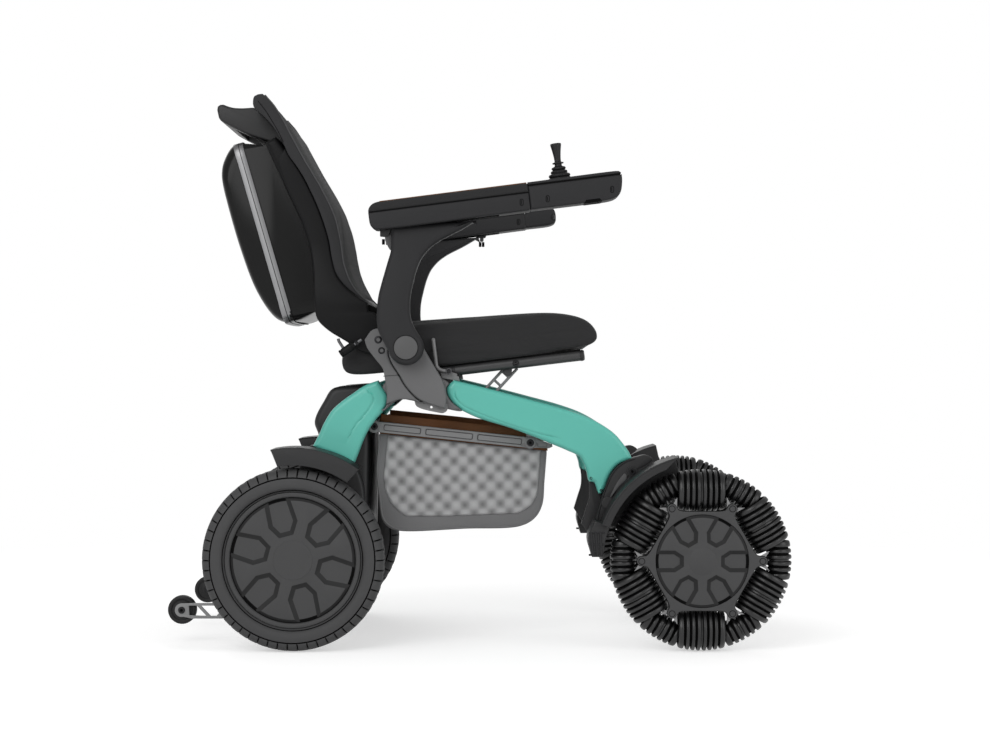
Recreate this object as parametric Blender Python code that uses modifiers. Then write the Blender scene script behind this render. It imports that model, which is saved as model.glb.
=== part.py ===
"""All-terrain power wheelchair with omni front wheels, as separate named pieces.

+X is forward, +Y is the chair's left, +Z is up, and the floor is at Z = 0. Sizes are in metres.
Outlines are drawn in the side plane, as (x, z) in millimetres from the anchor that each names.
"""
from math import atan2, cos, degrees, hypot, pi, radians, sin, sqrt

import bmesh
import bpy
from mathutils import Matrix, Vector

MM = 0.001

# Clearances
SEAT_GAP = 0.0003
RUNNING_GAP = 0.0005
SIDE_PLAY = 0.0012

# Rear wheels
REAR_AXLE_X = -0.316
REAR_WHEEL_R = 0.159
TYRE_WIDTH = 0.070
RIM_R = 0.118
RIM_WIDTH = 0.050
RIM_DISC_T = 0.020
POCKET_COUNT = 6
POCKET_DEPTH = 0.0035
WHEEL_SEGMENTS = 30
SHAFT_R = 0.012

# Front omni wheels
FRONT_AXLE_X = 0.392
FRONT_WHEEL_R = 0.158
LARGE_ROLLER_R = 0.0375
LARGE_ROLLER_HALF = 0.0405
SMALL_ROLLER_R = 0.0226
SMALL_ROLLER_HALF = 0.034
SMALL_ROLLER_NOSE_R = 0.0165
ROLLER_PAIRS = 6
ROLLER_SHAFT_R = 0.0045
RIB_DEPTH = 0.0045
WEB_T = 0.003
WEB_WIDTH = 0.013
EYE_R = 0.0095
ROLLER_CUP_R = 0.029
ROLLER_CUP_DEPTH = 0.016
HUB_CORE_R = 0.052
HUB_FLAT_R = 0.086
HUB_PIN_PITCH_R = 0.099
HUB_PIN_R = 0.008
HUB_PLATE_T = 0.005
HUB_CAP_R = 0.078
HUB_HALF_W = TYRE_WIDTH / 2
HUB_POCKET_DEPTH = 0.0026
STUB_R = 0.010

# Frame planes, measured out from the middle of the chair
FRAME_IN = 0.187
FRAME_T = 0.040
FRAME_OUT = FRAME_IN + FRAME_T
CHEEK_STEP = 0.0005
CHEEK_T = 0.022
CHEEK_IN = FRAME_OUT + CHEEK_STEP
CHEEK_OUT = CHEEK_IN + CHEEK_T
RAIL_T = 0.0155
RAIL_OUT = FRAME_IN - RUNNING_GAP
RAIL_IN = RAIL_OUT - RAIL_T
FRAME_ROUND = 0.006

# Wheels stand clear of the frame's outer face
WHEEL_GAP = 0.018
HALF_TRACK = FRAME_OUT + WHEEL_GAP + TYRE_WIDTH / 2

# Anchors in the side plane
BEAM_REAR = (-0.053, 0.447)
ARCH_TOP = (-0.160, 0.450)
ARM_PIVOT = (-0.121, 0.527)
BACK_PIVOT = (-0.170, 0.530)
SEAT_PIVOT = (-0.125, 0.458)
RAIL_REAR = (-0.181, 0.387)
RAIL_FRONT = (0.097, 0.358)

# Frame tubes and pins
CROSS_TUBE_R = 0.016
CROSS_BAR_R = 0.009
PIVOT_PIN_R = 0.006

# Armrests
ARM_IN = CHEEK_OUT + RUNNING_GAP
ARM_T = 0.038
PAD_OVERLAP = 0.0095
PAD_IN = CHEEK_OUT - PAD_OVERLAP
PAD_WIDTH = 0.068
PAD_SLOPE = radians(7.2)
PAD_REAR = (-0.051, 0.204)
CASING_LENGTH = 0.270
CASING_HEIGHT = 0.031
PAD_T = 0.0164
ARM_BOSS_R = 0.0307
ARM_CAP_R = 0.0207

# Controller
HOUSING_LENGTH = 0.163
HOUSING_HEIGHT = 0.048
TONGUE_LENGTH = 0.110
TONGUE_HEIGHT = 0.014
TONGUE_WIDTH = 0.030
STICK_BASE = 0.058
BOOT_R = 0.022
BOOT_H = 0.019
STICK_R = 0.0045
STICK_H = 0.064
BUTTON_R = 0.007

# Seat
EAR_T = 0.008
EAR_PLAY = 0.0025
EAR_OUT = FRAME_OUT - EAR_PLAY
EAR_IN = EAR_OUT - EAR_T
CUSHION_PLAY = 0.0015
SEAT_HALF_W = EAR_IN - CUSHION_PLAY
CUSHION_SAG = -0.0028
SEAT_RAIL_R = 0.0095
SEAT_RAIL_Y = SEAT_HALF_W - 0.020
SEAT_EYE_IN = SEAT_RAIL_Y - 0.045
SEAT_EYE_T = 0.010
SEAT_RAIL_REAR = (-0.048, 0.4855)
SEAT_RAIL_FRONT = (0.190, 0.5140)
LEVER_R = 0.004
PROP_Y = SEAT_RAIL_Y - 0.018
PROP_BAR_R = 0.0026
PROP_PEG_R = 0.004

# Backrest
BACK_PLAY = 0.0035
BACK_HALF_W = EAR_IN - BACK_PLAY
SPINE_HALF_W = 0.120
BACK_PAD_GAP = 0.0032
CASE_HALF_W = BACK_HALF_W - 0.045
HANDLE_HALF_W = SPINE_HALF_W + 0.015
LOCK_SEAT = (-0.030, 0.012)
LOCK_TILT = radians(35)

# Lower frame, bag, drive unit and anti-tip wheels
BAG_HALF_W = RAIL_IN - SEAT_GAP
BAG_WALL = 0.004
AXLE_TUBE_R = 0.024
MOTOR_R = 0.050
BOX_HALF_W = FRAME_IN - 0.022
TIP_WHEEL_R = 0.0255
TIP_WHEEL_W = 0.018
TIP_AXLE = (-0.5241, 0.060)
TIP_ARM_IN = FRAME_IN - 0.025
TIP_ARM_T = 0.005

# Fenders
FENDER_R = FRONT_WHEEL_R + 0.0265
FENDER_T = 0.0035
FENDER_OVERHANG = 0.003
FENDER_OUT = HALF_TRACK + TYRE_WIDTH / 2 + FENDER_OVERHANG
REAR_FENDER_R = REAR_WHEEL_R + 0.0365
REAR_FENDER_SKIRT_R = REAR_WHEEL_R + 0.0055

REAR_AXLE = (REAR_AXLE_X, REAR_WHEEL_R)
FRONT_AXLE = (FRONT_AXLE_X, FRONT_WHEEL_R)
FORK_BOLT = (FRONT_AXLE_X - 0.170, FRONT_WHEEL_R + 0.117)
ARCH_FOOT = (REAR_AXLE_X + 0.067, REAR_WHEEL_R + 0.176)

SIDES = {"r": -1, "l": 1}


def clear_scene():
    """Remove what the scene holds."""
    for obj in list(bpy.data.objects):
        bpy.data.objects.remove(obj, do_unlink=True)


def new_collection(name):
    collection = bpy.data.collections.new(name)
    bpy.context.scene.collection.children.link(collection)
    return collection


clear_scene()
PARTS = new_collection("power_wheelchair")
CUTTERS = new_collection("cutters")


def material(name, colour, roughness, metallic=0.0):
    """A Principled material in one plain colour."""
    mat = bpy.data.materials.new(name)
    mat.use_nodes = True
    shader = mat.node_tree.nodes["Principled BSDF"]
    shader.inputs["Base Color"].default_value = (*colour, 1.0)
    shader.inputs["Roughness"].default_value = roughness
    shader.inputs["Metallic"].default_value = metallic
    mat.diffuse_color = (*colour, 1.0)
    return mat


TYRE = material("tyre_rubber", (0.060, 0.060, 0.062), 0.75)
ROLLER = material("roller_rubber", (0.020, 0.020, 0.021), 0.55)
WHEEL_PLASTIC = material("wheel_plastic", (0.055, 0.055, 0.057), 0.50)
TEAL_PAINT = material("teal_paint", (0.145, 0.490, 0.430), 0.38)
CAST_GREY = material("cast_grey", (0.140, 0.140, 0.142), 0.45, 0.30)
SATIN_GREY = material("satin_grey", (0.260, 0.260, 0.262), 0.42, 0.50)
BLACK_PLASTIC = material("black_plastic", (0.030, 0.030, 0.031), 0.50)
SEAT_FABRIC = material("seat_fabric", (0.026, 0.026, 0.027), 0.85)
BLACK_TUBE = material("black_tube", (0.035, 0.035, 0.037), 0.40, 0.40)
CASE_SHELL = material("case_shell", (0.018, 0.018, 0.019), 0.25)
BAG_MESH = material("bag_mesh", (0.330, 0.330, 0.335), 0.70)
DARK_STEEL = material("dark_steel", (0.120, 0.120, 0.125), 0.35, 0.80)


def shift(anchor, points):
    """Points given in millimetres from an anchor, in metres."""
    return [(anchor[0] + x * MM, anchor[1] + z * MM) for x, z in points]


def chord(start, end, points):
    """Points given as a share of the run from start to end and a height over it in millimetres."""
    run = Vector((end[0] - start[0], end[1] - start[1]))
    up = Vector((-run.y, run.x)).normalized()
    return [tuple(Vector(start) + run * share + up * (height * MM)) for share, height in points]


def arc(centre, radius, start_deg, end_deg, count):
    """Points along an arc, from start to end."""
    step = (end_deg - start_deg) / (count - 1)
    angles = [radians(start_deg + step * i) for i in range(count)]
    return [(centre[0] + radius * cos(a), centre[1] + radius * sin(a)) for a in angles]


def tilted(origin, angle, points):
    """Points in metres along and across a slope, brought to the side plane."""
    c, s = cos(angle), sin(angle)
    return [(origin[0] + u * c - v * s, origin[1] + u * s + v * c) for u, v in points]


def beside(points, gap):
    """An open line moved to its left by a gap, corner by corner."""
    moved = []
    for i, point in enumerate(points):
        before = Vector(points[max(i - 1, 0)])
        after = Vector(points[min(i + 1, len(points) - 1)])
        here = Vector(point)
        first = (here - before) if i else (after - here)
        second = (after - here) if i < len(points) - 1 else first
        normal_a = Vector((-first.y, first.x)).normalized()
        normal_b = Vector((-second.y, second.x)).normalized()
        middle = (normal_a + normal_b).normalized()
        moved.append(tuple(here + middle * (gap / max(middle.dot(normal_a), 0.5))))
    return moved


def add_object(name, mesh, mat=None, smooth=35):
    """Put a mesh in the parts collection."""
    obj = bpy.data.objects.new(name, mesh)
    PARTS.objects.link(obj)
    if mat:
        mesh.materials.clear()
        mesh.materials.append(mat)
    mesh.shade_smooth()
    mesh.set_sharp_from_angle(angle=radians(smooth))
    return obj


def close_outward(bm):
    """Turn every face of a closed mesh outwards."""
    bmesh.ops.recalc_face_normals(bm, faces=bm.faces)
    if bm.calc_volume(signed=True) < 0:
        bmesh.ops.reverse_faces(bm, faces=bm.faces)


def from_bmesh(name, bm, mat=None):
    mesh = bpy.data.meshes.new(name)
    close_outward(bm)
    bm.to_mesh(mesh)
    bm.free()
    return add_object(name, mesh, mat)


def curve_to_mesh(name, curve_data, matrix, mat=None):
    """Turn a curve into a closed mesh object, with its caps welded."""
    curve = bpy.data.objects.new(name + "_curve", curve_data)
    CUTTERS.objects.link(curve)
    curve.matrix_world = matrix
    bpy.context.view_layer.update()
    graph = bpy.context.evaluated_depsgraph_get()
    mesh = bpy.data.meshes.new_from_object(curve.evaluated_get(graph))
    bm = bmesh.new()
    bm.from_mesh(mesh)
    bmesh.ops.remove_doubles(bm, verts=bm.verts, dist=0.00002)
    bmesh.ops.dissolve_limit(bm, angle_limit=radians(0.5), verts=bm.verts, edges=bm.edges)
    close_outward(bm)
    bm.to_mesh(mesh)
    bm.free()
    mesh.transform(matrix)
    bpy.data.objects.remove(curve, do_unlink=True)
    obj = add_object(name, mesh, mat)
    return obj


def prism(name, outline, y_a, y_b, mat=None, bevel=0.0, holes=()):
    """A flat outline in the side plane, with any holes, carried from y_a to y_b, with eased edges."""
    low, high = sorted((y_a, y_b))
    data = bpy.data.curves.new(name, "CURVE")
    data.dimensions = "2D"
    data.fill_mode = "BOTH"
    data.extrude = (high - low) / 2
    for loop in (outline, *holes):
        spline = data.splines.new("POLY")
        spline.points.add(len(loop) - 1)
        for point, (x, z) in zip(spline.points, loop):
            point.co = (x, z, 0.0, 1.0)
        spline.use_cyclic_u = True
    matrix = Matrix.Translation((0.0, (low + high) / 2, 0.0)) @ Matrix.Rotation(pi / 2, 4, "X")
    obj = curve_to_mesh(name, data, matrix, mat)
    if bevel:
        ease(obj, bevel)
    return obj


def ease(obj, width, angle=40):
    """Ease an object's sharp edges."""
    mod = obj.modifiers.new("ease", "BEVEL")
    mod.width = width
    mod.segments = 1
    mod.limit_method = "ANGLE"
    mod.angle_limit = radians(angle)
    mod.use_clamp_overlap = True
    return obj


def box(name, low, high, mat=None, bevel=0.0, slope=0.0, pivot=(0.0, 0.0)):
    """A box between two corners, which may be turned in the side plane about a pivot."""
    bm = bmesh.new()
    size = Vector(high) - Vector(low)
    centre = (Vector(high) + Vector(low)) / 2
    matrix = Matrix.Translation(centre) @ Matrix.Diagonal((*size, 1.0))
    bmesh.ops.create_cube(bm, size=1.0, matrix=matrix)
    if slope:
        origin = Vector((pivot[0], 0.0, pivot[1]))
        bmesh.ops.rotate(bm, cent=origin, matrix=Matrix.Rotation(-slope, 3, "Y"), verts=bm.verts)
    obj = from_bmesh(name, bm, mat)
    if bevel:
        ease(obj, bevel)
    return obj


def rod(name, start, end, radius, sides=12, mat=None, end_radius=None):
    """A round bar between two points."""
    start, end = Vector(start), Vector(end)
    turn = Vector((0, 0, 1)).rotation_difference(end - start).to_matrix().to_4x4()
    bm = bmesh.new()
    bmesh.ops.create_cone(bm, cap_ends=True, segments=sides, radius1=radius,
                          radius2=radius if end_radius is None else end_radius,
                          depth=(end - start).length,
                          matrix=Matrix.Translation((start + end) / 2) @ turn)
    return from_bmesh(name, bm, mat)


def disc(name, centre, y_a, y_b, radius, sides=24, mat=None):
    """A round bar across the chair."""
    return rod(name, (centre[0], y_a, centre[1]), (centre[0], y_b, centre[1]), radius, sides, mat)


def tube(name, points, radius, mat=None, resolution=1):
    """A bent round bar through the given points."""
    data = bpy.data.curves.new(name, "CURVE")
    data.dimensions = "3D"
    data.bevel_depth = radius
    data.bevel_resolution = resolution
    data.use_fill_caps = True
    spline = data.splines.new("POLY")
    spline.points.add(len(points) - 1)
    for point, place in zip(spline.points, points):
        point.co = (*place, 1.0)
    return curve_to_mesh(name, data, Matrix.Identity(4), mat)


def turned(name, profile, origin, axis, out, segments, mat=None, ring=False):
    """A turned piece. The profile is (radius, height), down its outer side.

    Its flats, not its corners, lie at the true radius, and one flat faces along out.
    """
    grow = 1.0 / cos(pi / segments)
    phase = pi / segments
    bm = bmesh.new()
    verts = [bm.verts.new((r * grow * cos(phase), r * grow * sin(phase), h)) for r, h in profile]
    for a, b in zip(verts, verts[1:]):
        bm.edges.new((a, b))
    if ring:
        bm.edges.new((verts[-1], verts[0]))
    mesh = bpy.data.meshes.new(name)
    bm.to_mesh(mesh)
    bm.free()
    obj = bpy.data.objects.new(name, mesh)
    PARTS.objects.link(obj)
    if mat:
        mesh.materials.append(mat)
    z_axis = Vector(axis).normalized()
    x_axis = Vector(out).normalized()
    y_axis = z_axis.cross(x_axis)
    frame = Matrix((x_axis, y_axis, z_axis)).transposed().to_4x4()
    obj.matrix_world = Matrix.Translation(Vector(origin)) @ frame
    screw = obj.modifiers.new("turn", "SCREW")
    screw.axis = "Z"
    screw.angle = 2 * pi
    screw.steps = segments
    screw.render_steps = segments
    screw.use_merge_vertices = True
    screw.merge_threshold = 0.00001
    screw.use_smooth_shade = True
    return obj


def tool(obj):
    """Move an object to the cutters, out of the model."""
    PARTS.objects.unlink(obj)
    CUTTERS.objects.link(obj)
    obj.hide_render = True
    obj.display_type = "WIRE"
    return obj


def boolean(obj, other, operation):
    tool(other)
    mod = obj.modifiers.new(operation.lower(), "BOOLEAN")
    mod.operation = operation
    mod.solver = "EXACT"
    mod.object = other
    return obj


def join(obj, *others):
    for other in others:
        boolean(obj, other, "UNION")
    return obj


def cut(obj, *others):
    for other in others:
        boolean(obj, other, "DIFFERENCE")
    return obj


def pivot(name, place, *objects):
    """An empty on a joint's axis, carrying the pieces that turn or slide there."""
    empty = bpy.data.objects.new(name, None)
    empty.empty_display_size = 0.03
    empty.location = place
    PARTS.objects.link(empty)
    bpy.context.view_layer.update()
    for obj in objects:
        world = obj.matrix_world.copy()
        obj.parent = empty
        obj.matrix_parent_inverse = empty.matrix_world.inverted()
        obj.matrix_world = world
    return empty


def lofted(name, sections, mat=None, levels=0, paired=False):
    """A closed skin over a row of outlines with equal counts, with optional subdivision.

    Paired outlines run up one side and back down the other, so their ends close in strips.
    """
    bm = bmesh.new()
    rings = [[bm.verts.new(p) for p in section] for section in sections]
    for first, second in zip(rings, rings[1:]):
        for i in range(len(first)):
            j = (i + 1) % len(first)
            bm.faces.new((first[i], first[j], second[j], second[i]))
    count = len(rings[0])
    for ring, flip in ((rings[0], True), (rings[-1], False)):
        if paired:
            caps = [(ring[i], ring[i + 1], ring[count - 2 - i], ring[count - 1 - i])
                    for i in range(count // 2 - 1)]
        else:
            caps = [tuple(ring)]
        for cap in caps:
            bm.faces.new(tuple(reversed(cap)) if flip else cap)
    obj = from_bmesh(name, bm, mat)
    if levels:
        mod = obj.modifiers.new("soft", "SUBSURF")
        mod.levels = levels
        mod.render_levels = levels
    return obj


def pocket_outline(inner, outer, half_mouth, half_end):
    """A U-shaped pocket along +x: open at its outer end, with an angled inner end."""
    return [(inner, -half_end), (outer, -half_mouth), (outer, half_mouth), (inner, half_end)]


def pocket_cutters(name, centre, side, face_y, depth, angle_0, shape):
    """The six pocket tools in a wheel's outer face, with sloping walls."""
    tools = []
    for k in range(POCKET_COUNT):
        angle = radians(angle_0 + 360 / POCKET_COUNT * k)
        outline = tilted(centre, angle, shape)
        piece = prism(f"{name}_pocket_{k}", outline, face_y - side * depth, face_y + side * 0.01)
        tools.append(piece)
    return tools


def rear_wheel(tag, side):
    """A tyre and the moulded disc inside it, on the motor's shaft."""
    origin = (REAR_AXLE[0], side * HALF_TRACK, REAR_AXLE[1])
    outward = (0, side, 0)
    down = (0, 0, -1)
    half = TYRE_WIDTH / 2
    bead = RIM_R + SEAT_GAP
    half_section = [(REAR_WHEEL_R, half * 0.56), (REAR_WHEEL_R - 0.009, half * 0.90),
                    (REAR_WHEEL_R - 0.024, half), (bead, half * 0.80)]
    lower = [(r, -h) for r, h in half_section]
    section = list(reversed(half_section)) + lower
    turned(f"rear_tyre_{tag}", section, origin, outward, down, WHEEL_SEGMENTS, TYRE, ring=True)

    edge = RIM_WIDTH / 2
    disc_back = edge - RIM_DISC_T
    ring_in = RIM_R - 0.012
    profile = [(0, edge - 0.0015), (ring_in - 0.002, edge - 0.0015), (ring_in, edge + 0.0015), (RIM_R, edge),
               (RIM_R, -edge), (RIM_R - 0.010, -edge), (RIM_R - 0.012, disc_back), (0.036, disc_back),
               (0.033, -edge - 0.004), (0, -edge - 0.004)]
    rim = turned(f"rear_rim_{tag}", profile, origin, outward, down, WHEEL_SEGMENTS, WHEEL_PLASTIC)
    face = side * (HALF_TRACK + edge - 0.0015)
    shape = pocket_outline(0.0425, ring_in - 0.0065, 0.0255, 0.0125)
    cut(rim, *pocket_cutters(f"rear_rim_{tag}", REAR_AXLE, side, face, POCKET_DEPTH, -15, shape))
    bore = disc(f"rear_bore_{tag}", REAR_AXLE, side * (HALF_TRACK - edge - 0.02),
                side * (HALF_TRACK - edge + 0.018), (SHAFT_R + RUNNING_GAP) / cos(pi / 12), 12)
    cut(rim, bore)
    pivot(f"rear_wheel_{tag}_axis", origin, bpy.data.objects[f"rear_tyre_{tag}"], rim)


def spool_profile(radius_at, half, ribs, groove, shaft, end_cap):
    """A ribbed roller's outline: two barrels with the bearing groove between them, mirrored about it."""
    pitch = (half - groove) / (ribs - 0.4)
    points = [(0.0, shaft), (groove, shaft)]
    for k in range(ribs):
        crest = groove + pitch * k
        points.append((crest, radius_at(crest)))
        if k < ribs - 1:
            valley = crest + pitch * 0.5
            points.append((valley, radius_at(valley) - RIB_DEPTH))
    points += end_cap
    mirrored = [(-along, r) for along, r in points[1:]]
    return [(r, along) for along, r in reversed(points[1:])] + [(r, along) for along, r in mirrored]


def barrel(pitch_r):
    """A roller's radius, so that the wheel's rim stays a circle."""
    return lambda t: sqrt(FRONT_WHEEL_R ** 2 - t ** 2) - pitch_r


LARGE_PITCH_R = FRONT_WHEEL_R - LARGE_ROLLER_R
SMALL_PITCH_R = FRONT_WHEEL_R - SMALL_ROLLER_R
GROOVE_HALF = WEB_T / 2 + SIDE_PLAY


def large_roller_cap():
    """The hollow end of a large roller, which the small roller's nose runs in."""
    face = LARGE_ROLLER_HALF
    floor = face - ROLLER_CUP_DEPTH
    return [(face, ROLLER_CUP_R), (floor, ROLLER_CUP_R * 0.60), (floor, 0.0)]


def small_roller_cap():
    """The flat nose of a small roller."""
    return [(SMALL_ROLLER_HALF, SMALL_ROLLER_NOSE_R), (SMALL_ROLLER_HALF, 0.0)]


def front_wheel(tag, side):
    """An omni wheel: a hub with twelve webs, each with an eye round a roller's shaft."""
    centre_y = side * HALF_TRACK
    origin = Vector((FRONT_AXLE[0], centre_y, FRONT_AXLE[1]))
    outward = (0, side, 0)
    half = HUB_HALF_W
    core = [(0, 0.0085), (HUB_CORE_R, 0.0085), (HUB_CORE_R, -0.0085), (0.030, -half), (0, -half)]
    hub = turned(f"front_hub_{tag}", core, origin, outward, (0, 0, -1), 12, WHEEL_PLASTIC)

    plate_out = centre_y + side * (half - 0.003)
    plate_in = plate_out - side * HUB_PLATE_T
    star = []
    for k in range(ROLLER_PAIRS):
        at = 360 / ROLLER_PAIRS * k
        tip = (FRONT_AXLE[0] + HUB_PIN_PITCH_R * cos(radians(at)),
               FRONT_AXLE[1] + HUB_PIN_PITCH_R * sin(radians(at)))
        star += arc(tip, HUB_PIN_R, at - 65, at + 65, 4)
        half_flat = 0.034
        star += tilted(FRONT_AXLE, radians(at + 180 / ROLLER_PAIRS - 90),
                       [(half_flat, HUB_FLAT_R), (-half_flat, HUB_FLAT_R)])
    plate = prism(f"front_star_{tag}", star, plate_in, plate_out)
    cap = disc(f"front_cap_{tag}", FRONT_AXLE, plate_in, centre_y + side * half, HUB_CAP_R, 32)
    neck = disc(f"front_neck_{tag}", FRONT_AXLE, centre_y, plate_in + side * 0.001, HUB_CORE_R - 0.006, 12)
    join(hub, neck, plate, cap)
    shape = pocket_outline(0.031, HUB_CAP_R - 0.0055, 0.0185, 0.008)
    cut(hub, *pocket_cutters(f"front_hub_{tag}", FRONT_AXLE, side, centre_y + side * half,
                             HUB_POCKET_DEPTH, 0, shape))

    rollers = []
    for k in range(2 * ROLLER_PAIRS):
        large = k % 2 == 1
        angle = radians(180 / ROLLER_PAIRS * k)
        radial = Vector((cos(angle), 0.0, sin(angle)))
        tangent = Vector((-sin(angle), 0.0, cos(angle)))
        pitch_r = LARGE_PITCH_R if large else SMALL_PITCH_R
        place = origin + radial * pitch_r
        low = (-WEB_T / 2, -WEB_WIDTH / 2, HUB_CORE_R - 0.006)
        high = (WEB_T / 2, WEB_WIDTH / 2, pitch_r + EYE_R)
        web = box(f"web_{tag}_{k}", low, high)
        frame = Matrix((tangent, Vector((0, -1, 0)), radial)).transposed().to_4x4()
        web.data.transform(Matrix.Translation(origin) @ frame)
        join(hub, web)
        hole = rod(f"eye_bore_{tag}_{k}", place - tangent * WEB_T, place + tangent * WEB_T,
                   (ROLLER_SHAFT_R / cos(pi / 8) + RUNNING_GAP) / cos(pi / 6), 6)
        cut(hub, hole)
        name = f"{'large' if large else 'small'}_roller_{tag}_{k // 2 + 1}"
        if large:
            profile = spool_profile(barrel(pitch_r), LARGE_ROLLER_HALF, 3, GROOVE_HALF,
                                    ROLLER_SHAFT_R, large_roller_cap())
        else:
            profile = spool_profile(barrel(pitch_r), SMALL_ROLLER_HALF, 2, GROOVE_HALF,
                                    ROLLER_SHAFT_R, small_roller_cap())
        roller = turned(name, profile, place, tangent, radial, 8, ROLLER)
        rollers.append((roller, place))
    bore = disc(f"front_bore_{tag}", FRONT_AXLE, centre_y - side * (half + 0.01),
                centre_y - side * (half - 0.030), (STUB_R + RUNNING_GAP) / cos(pi / 12), 12)
    cut(hub, bore)
    axle = pivot(f"front_wheel_{tag}_axis", origin, hub)
    for roller, place in rollers:
        pin = pivot(roller.name + "_axis", place, roller)
        world = pin.matrix_world.copy()
        pin.parent = axle
        pin.matrix_parent_inverse = axle.matrix_world.inverted()
        pin.matrix_world = world


BEAM_FACE = [(0.126, -11), (0.050, -7), (0.010, 0), (-0.012, 9), (-0.010, 17), (0.000, 27)]
BEAM_REST = [(0.147, 43), (0.414, 70), (0.600, 88), (0.730, 97), (0.827, 99), (0.900, 97), (0.960, 91),
             (1.012, 84), (1.050, 76), (1.015, 50), (1.018, 24), (1.026, 6), (1.012, -8), (0.960, 3),
             (0.910, 17), (0.855, 25), (0.800, 29), (0.731, 28), (0.620, 22), (0.409, 9), (0.221, -7)]
ARCH_FACE = [(0.318, 17), (0.203, 18), (0.118, 16), (0.055, 12), (0.012, 4), (-0.020, -9), (-0.050, -22)]
ARCH_REST = [(0.092, -35), (0.256, -43), (0.417, -50), (0.575, -54), (0.770, -51), (0.911, -46),
             (1.070, -42), (1.030, -20), (0.985, 0), (0.937, 35), (0.795, 29), (0.658, 23), (0.500, 18)]


def front_beam(tag, side):
    """The painted beam from the cast bracket to the front fork, with the prop's peg inside it."""
    outline = chord(BEAM_REAR, FORK_BOLT, BEAM_FACE + BEAM_REST)
    beam = prism(f"front_beam_{tag}", outline, side * FRAME_IN, side * FRAME_OUT, TEAL_PAINT, FRAME_ROUND)
    if side < 0:
        pin, foot = (Vector(point) for point in prop_points())
        rest = foot + (foot - pin).normalized() * (PROP_BAR_R + PROP_PEG_R + SEAT_GAP)
        peg_in = side * (PROP_Y - 0.006)
        peg = disc(f"prop_peg_{tag}", rest, side * (FRAME_IN + 0.004), peg_in, PROP_PEG_R, 10)
        join(beam, peg)


def rear_arch(tag, side):
    """The painted arch from the cast bracket down to the drive unit."""
    outline = chord(ARCH_TOP, ARCH_FOOT, ARCH_FACE + ARCH_REST)
    prism(f"rear_arch_{tag}", outline, side * FRAME_IN, side * FRAME_OUT, TEAL_PAINT, FRAME_ROUND)


def bracket_outlines():
    """The cast bracket's lower body, and its cheek that rises to the two pivots."""
    arch_face = beside(chord(ARCH_TOP, ARCH_FOOT, ARCH_FACE), -SEAT_GAP)[1:-1]
    beam_face = beside(chord(BEAM_REAR, FORK_BOLT, BEAM_FACE), SEAT_GAP)[:-1]
    underside = shift(ARM_PIVOT, [(-14, -91), (8, -93), (22, -97)])
    body = list(reversed(arch_face)) + underside + beam_face
    body += shift(ARM_PIVOT, [(60, -54), (20, -51), (-20, -49)])
    lock_face = tilted((BACK_PIVOT[0] + LOCK_SEAT[0], BACK_PIVOT[1] + LOCK_SEAT[1]), LOCK_TILT,
                       [(0, 0.008), (0, -0.008)])
    cheek = lock_face + shift(BACK_PIVOT, [(-22, -9), (-6, -23), (3, -31)])
    cheek += shift(ARCH_TOP, [(-5, 33), (-2, 18), (4, 2), (8, -10), (6, -21)])
    cheek += shift(ARM_PIVOT, [(-20, -93), (8, -95), (24, -99), (42, -104)])
    cheek += shift(BEAM_REAR, [(3, -24), (-1, 8), (-4, 22)])
    cheek += shift(ARM_PIVOT, [(51, -37), (31, 0), (26, 14), (8, 26), (-20, 24)])
    cheek += shift(BACK_PIVOT, [(14, 30), (-16, 29)])
    return body, cheek


def seat_bridge_frame():
    """The right and left cast brackets with the cross tube that the seat tilts on."""
    body, cheek = bracket_outlines()
    frame = disc("seat_bridge_frame", SEAT_PIVOT, -FRAME_IN - 0.010, FRAME_IN + 0.010,
                 CROSS_TUBE_R, 16, CAST_GREY)
    for tag, side in SIDES.items():
        lower = prism(f"bracket_body_{tag}", body, side * FRAME_IN, side * (CHEEK_IN + 0.006))
        upper = prism(f"bracket_cheek_{tag}", cheek, side * CHEEK_IN, side * CHEEK_OUT, bevel=0.003)
        back_pin = disc(f"back_pin_{tag}", BACK_PIVOT, side * (EAR_IN + 0.0005),
                        side * (CHEEK_IN + 0.004), PIVOT_PIN_R, 10)
        arm_pin = disc(f"arm_pin_{tag}", ARM_PIVOT, side * (CHEEK_OUT - 0.004),
                       side * (ARM_IN + ARM_T * 0.6), PIVOT_PIN_R + 0.002, 10)
        join(frame, lower, upper, back_pin, arm_pin)
    return frame


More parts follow.
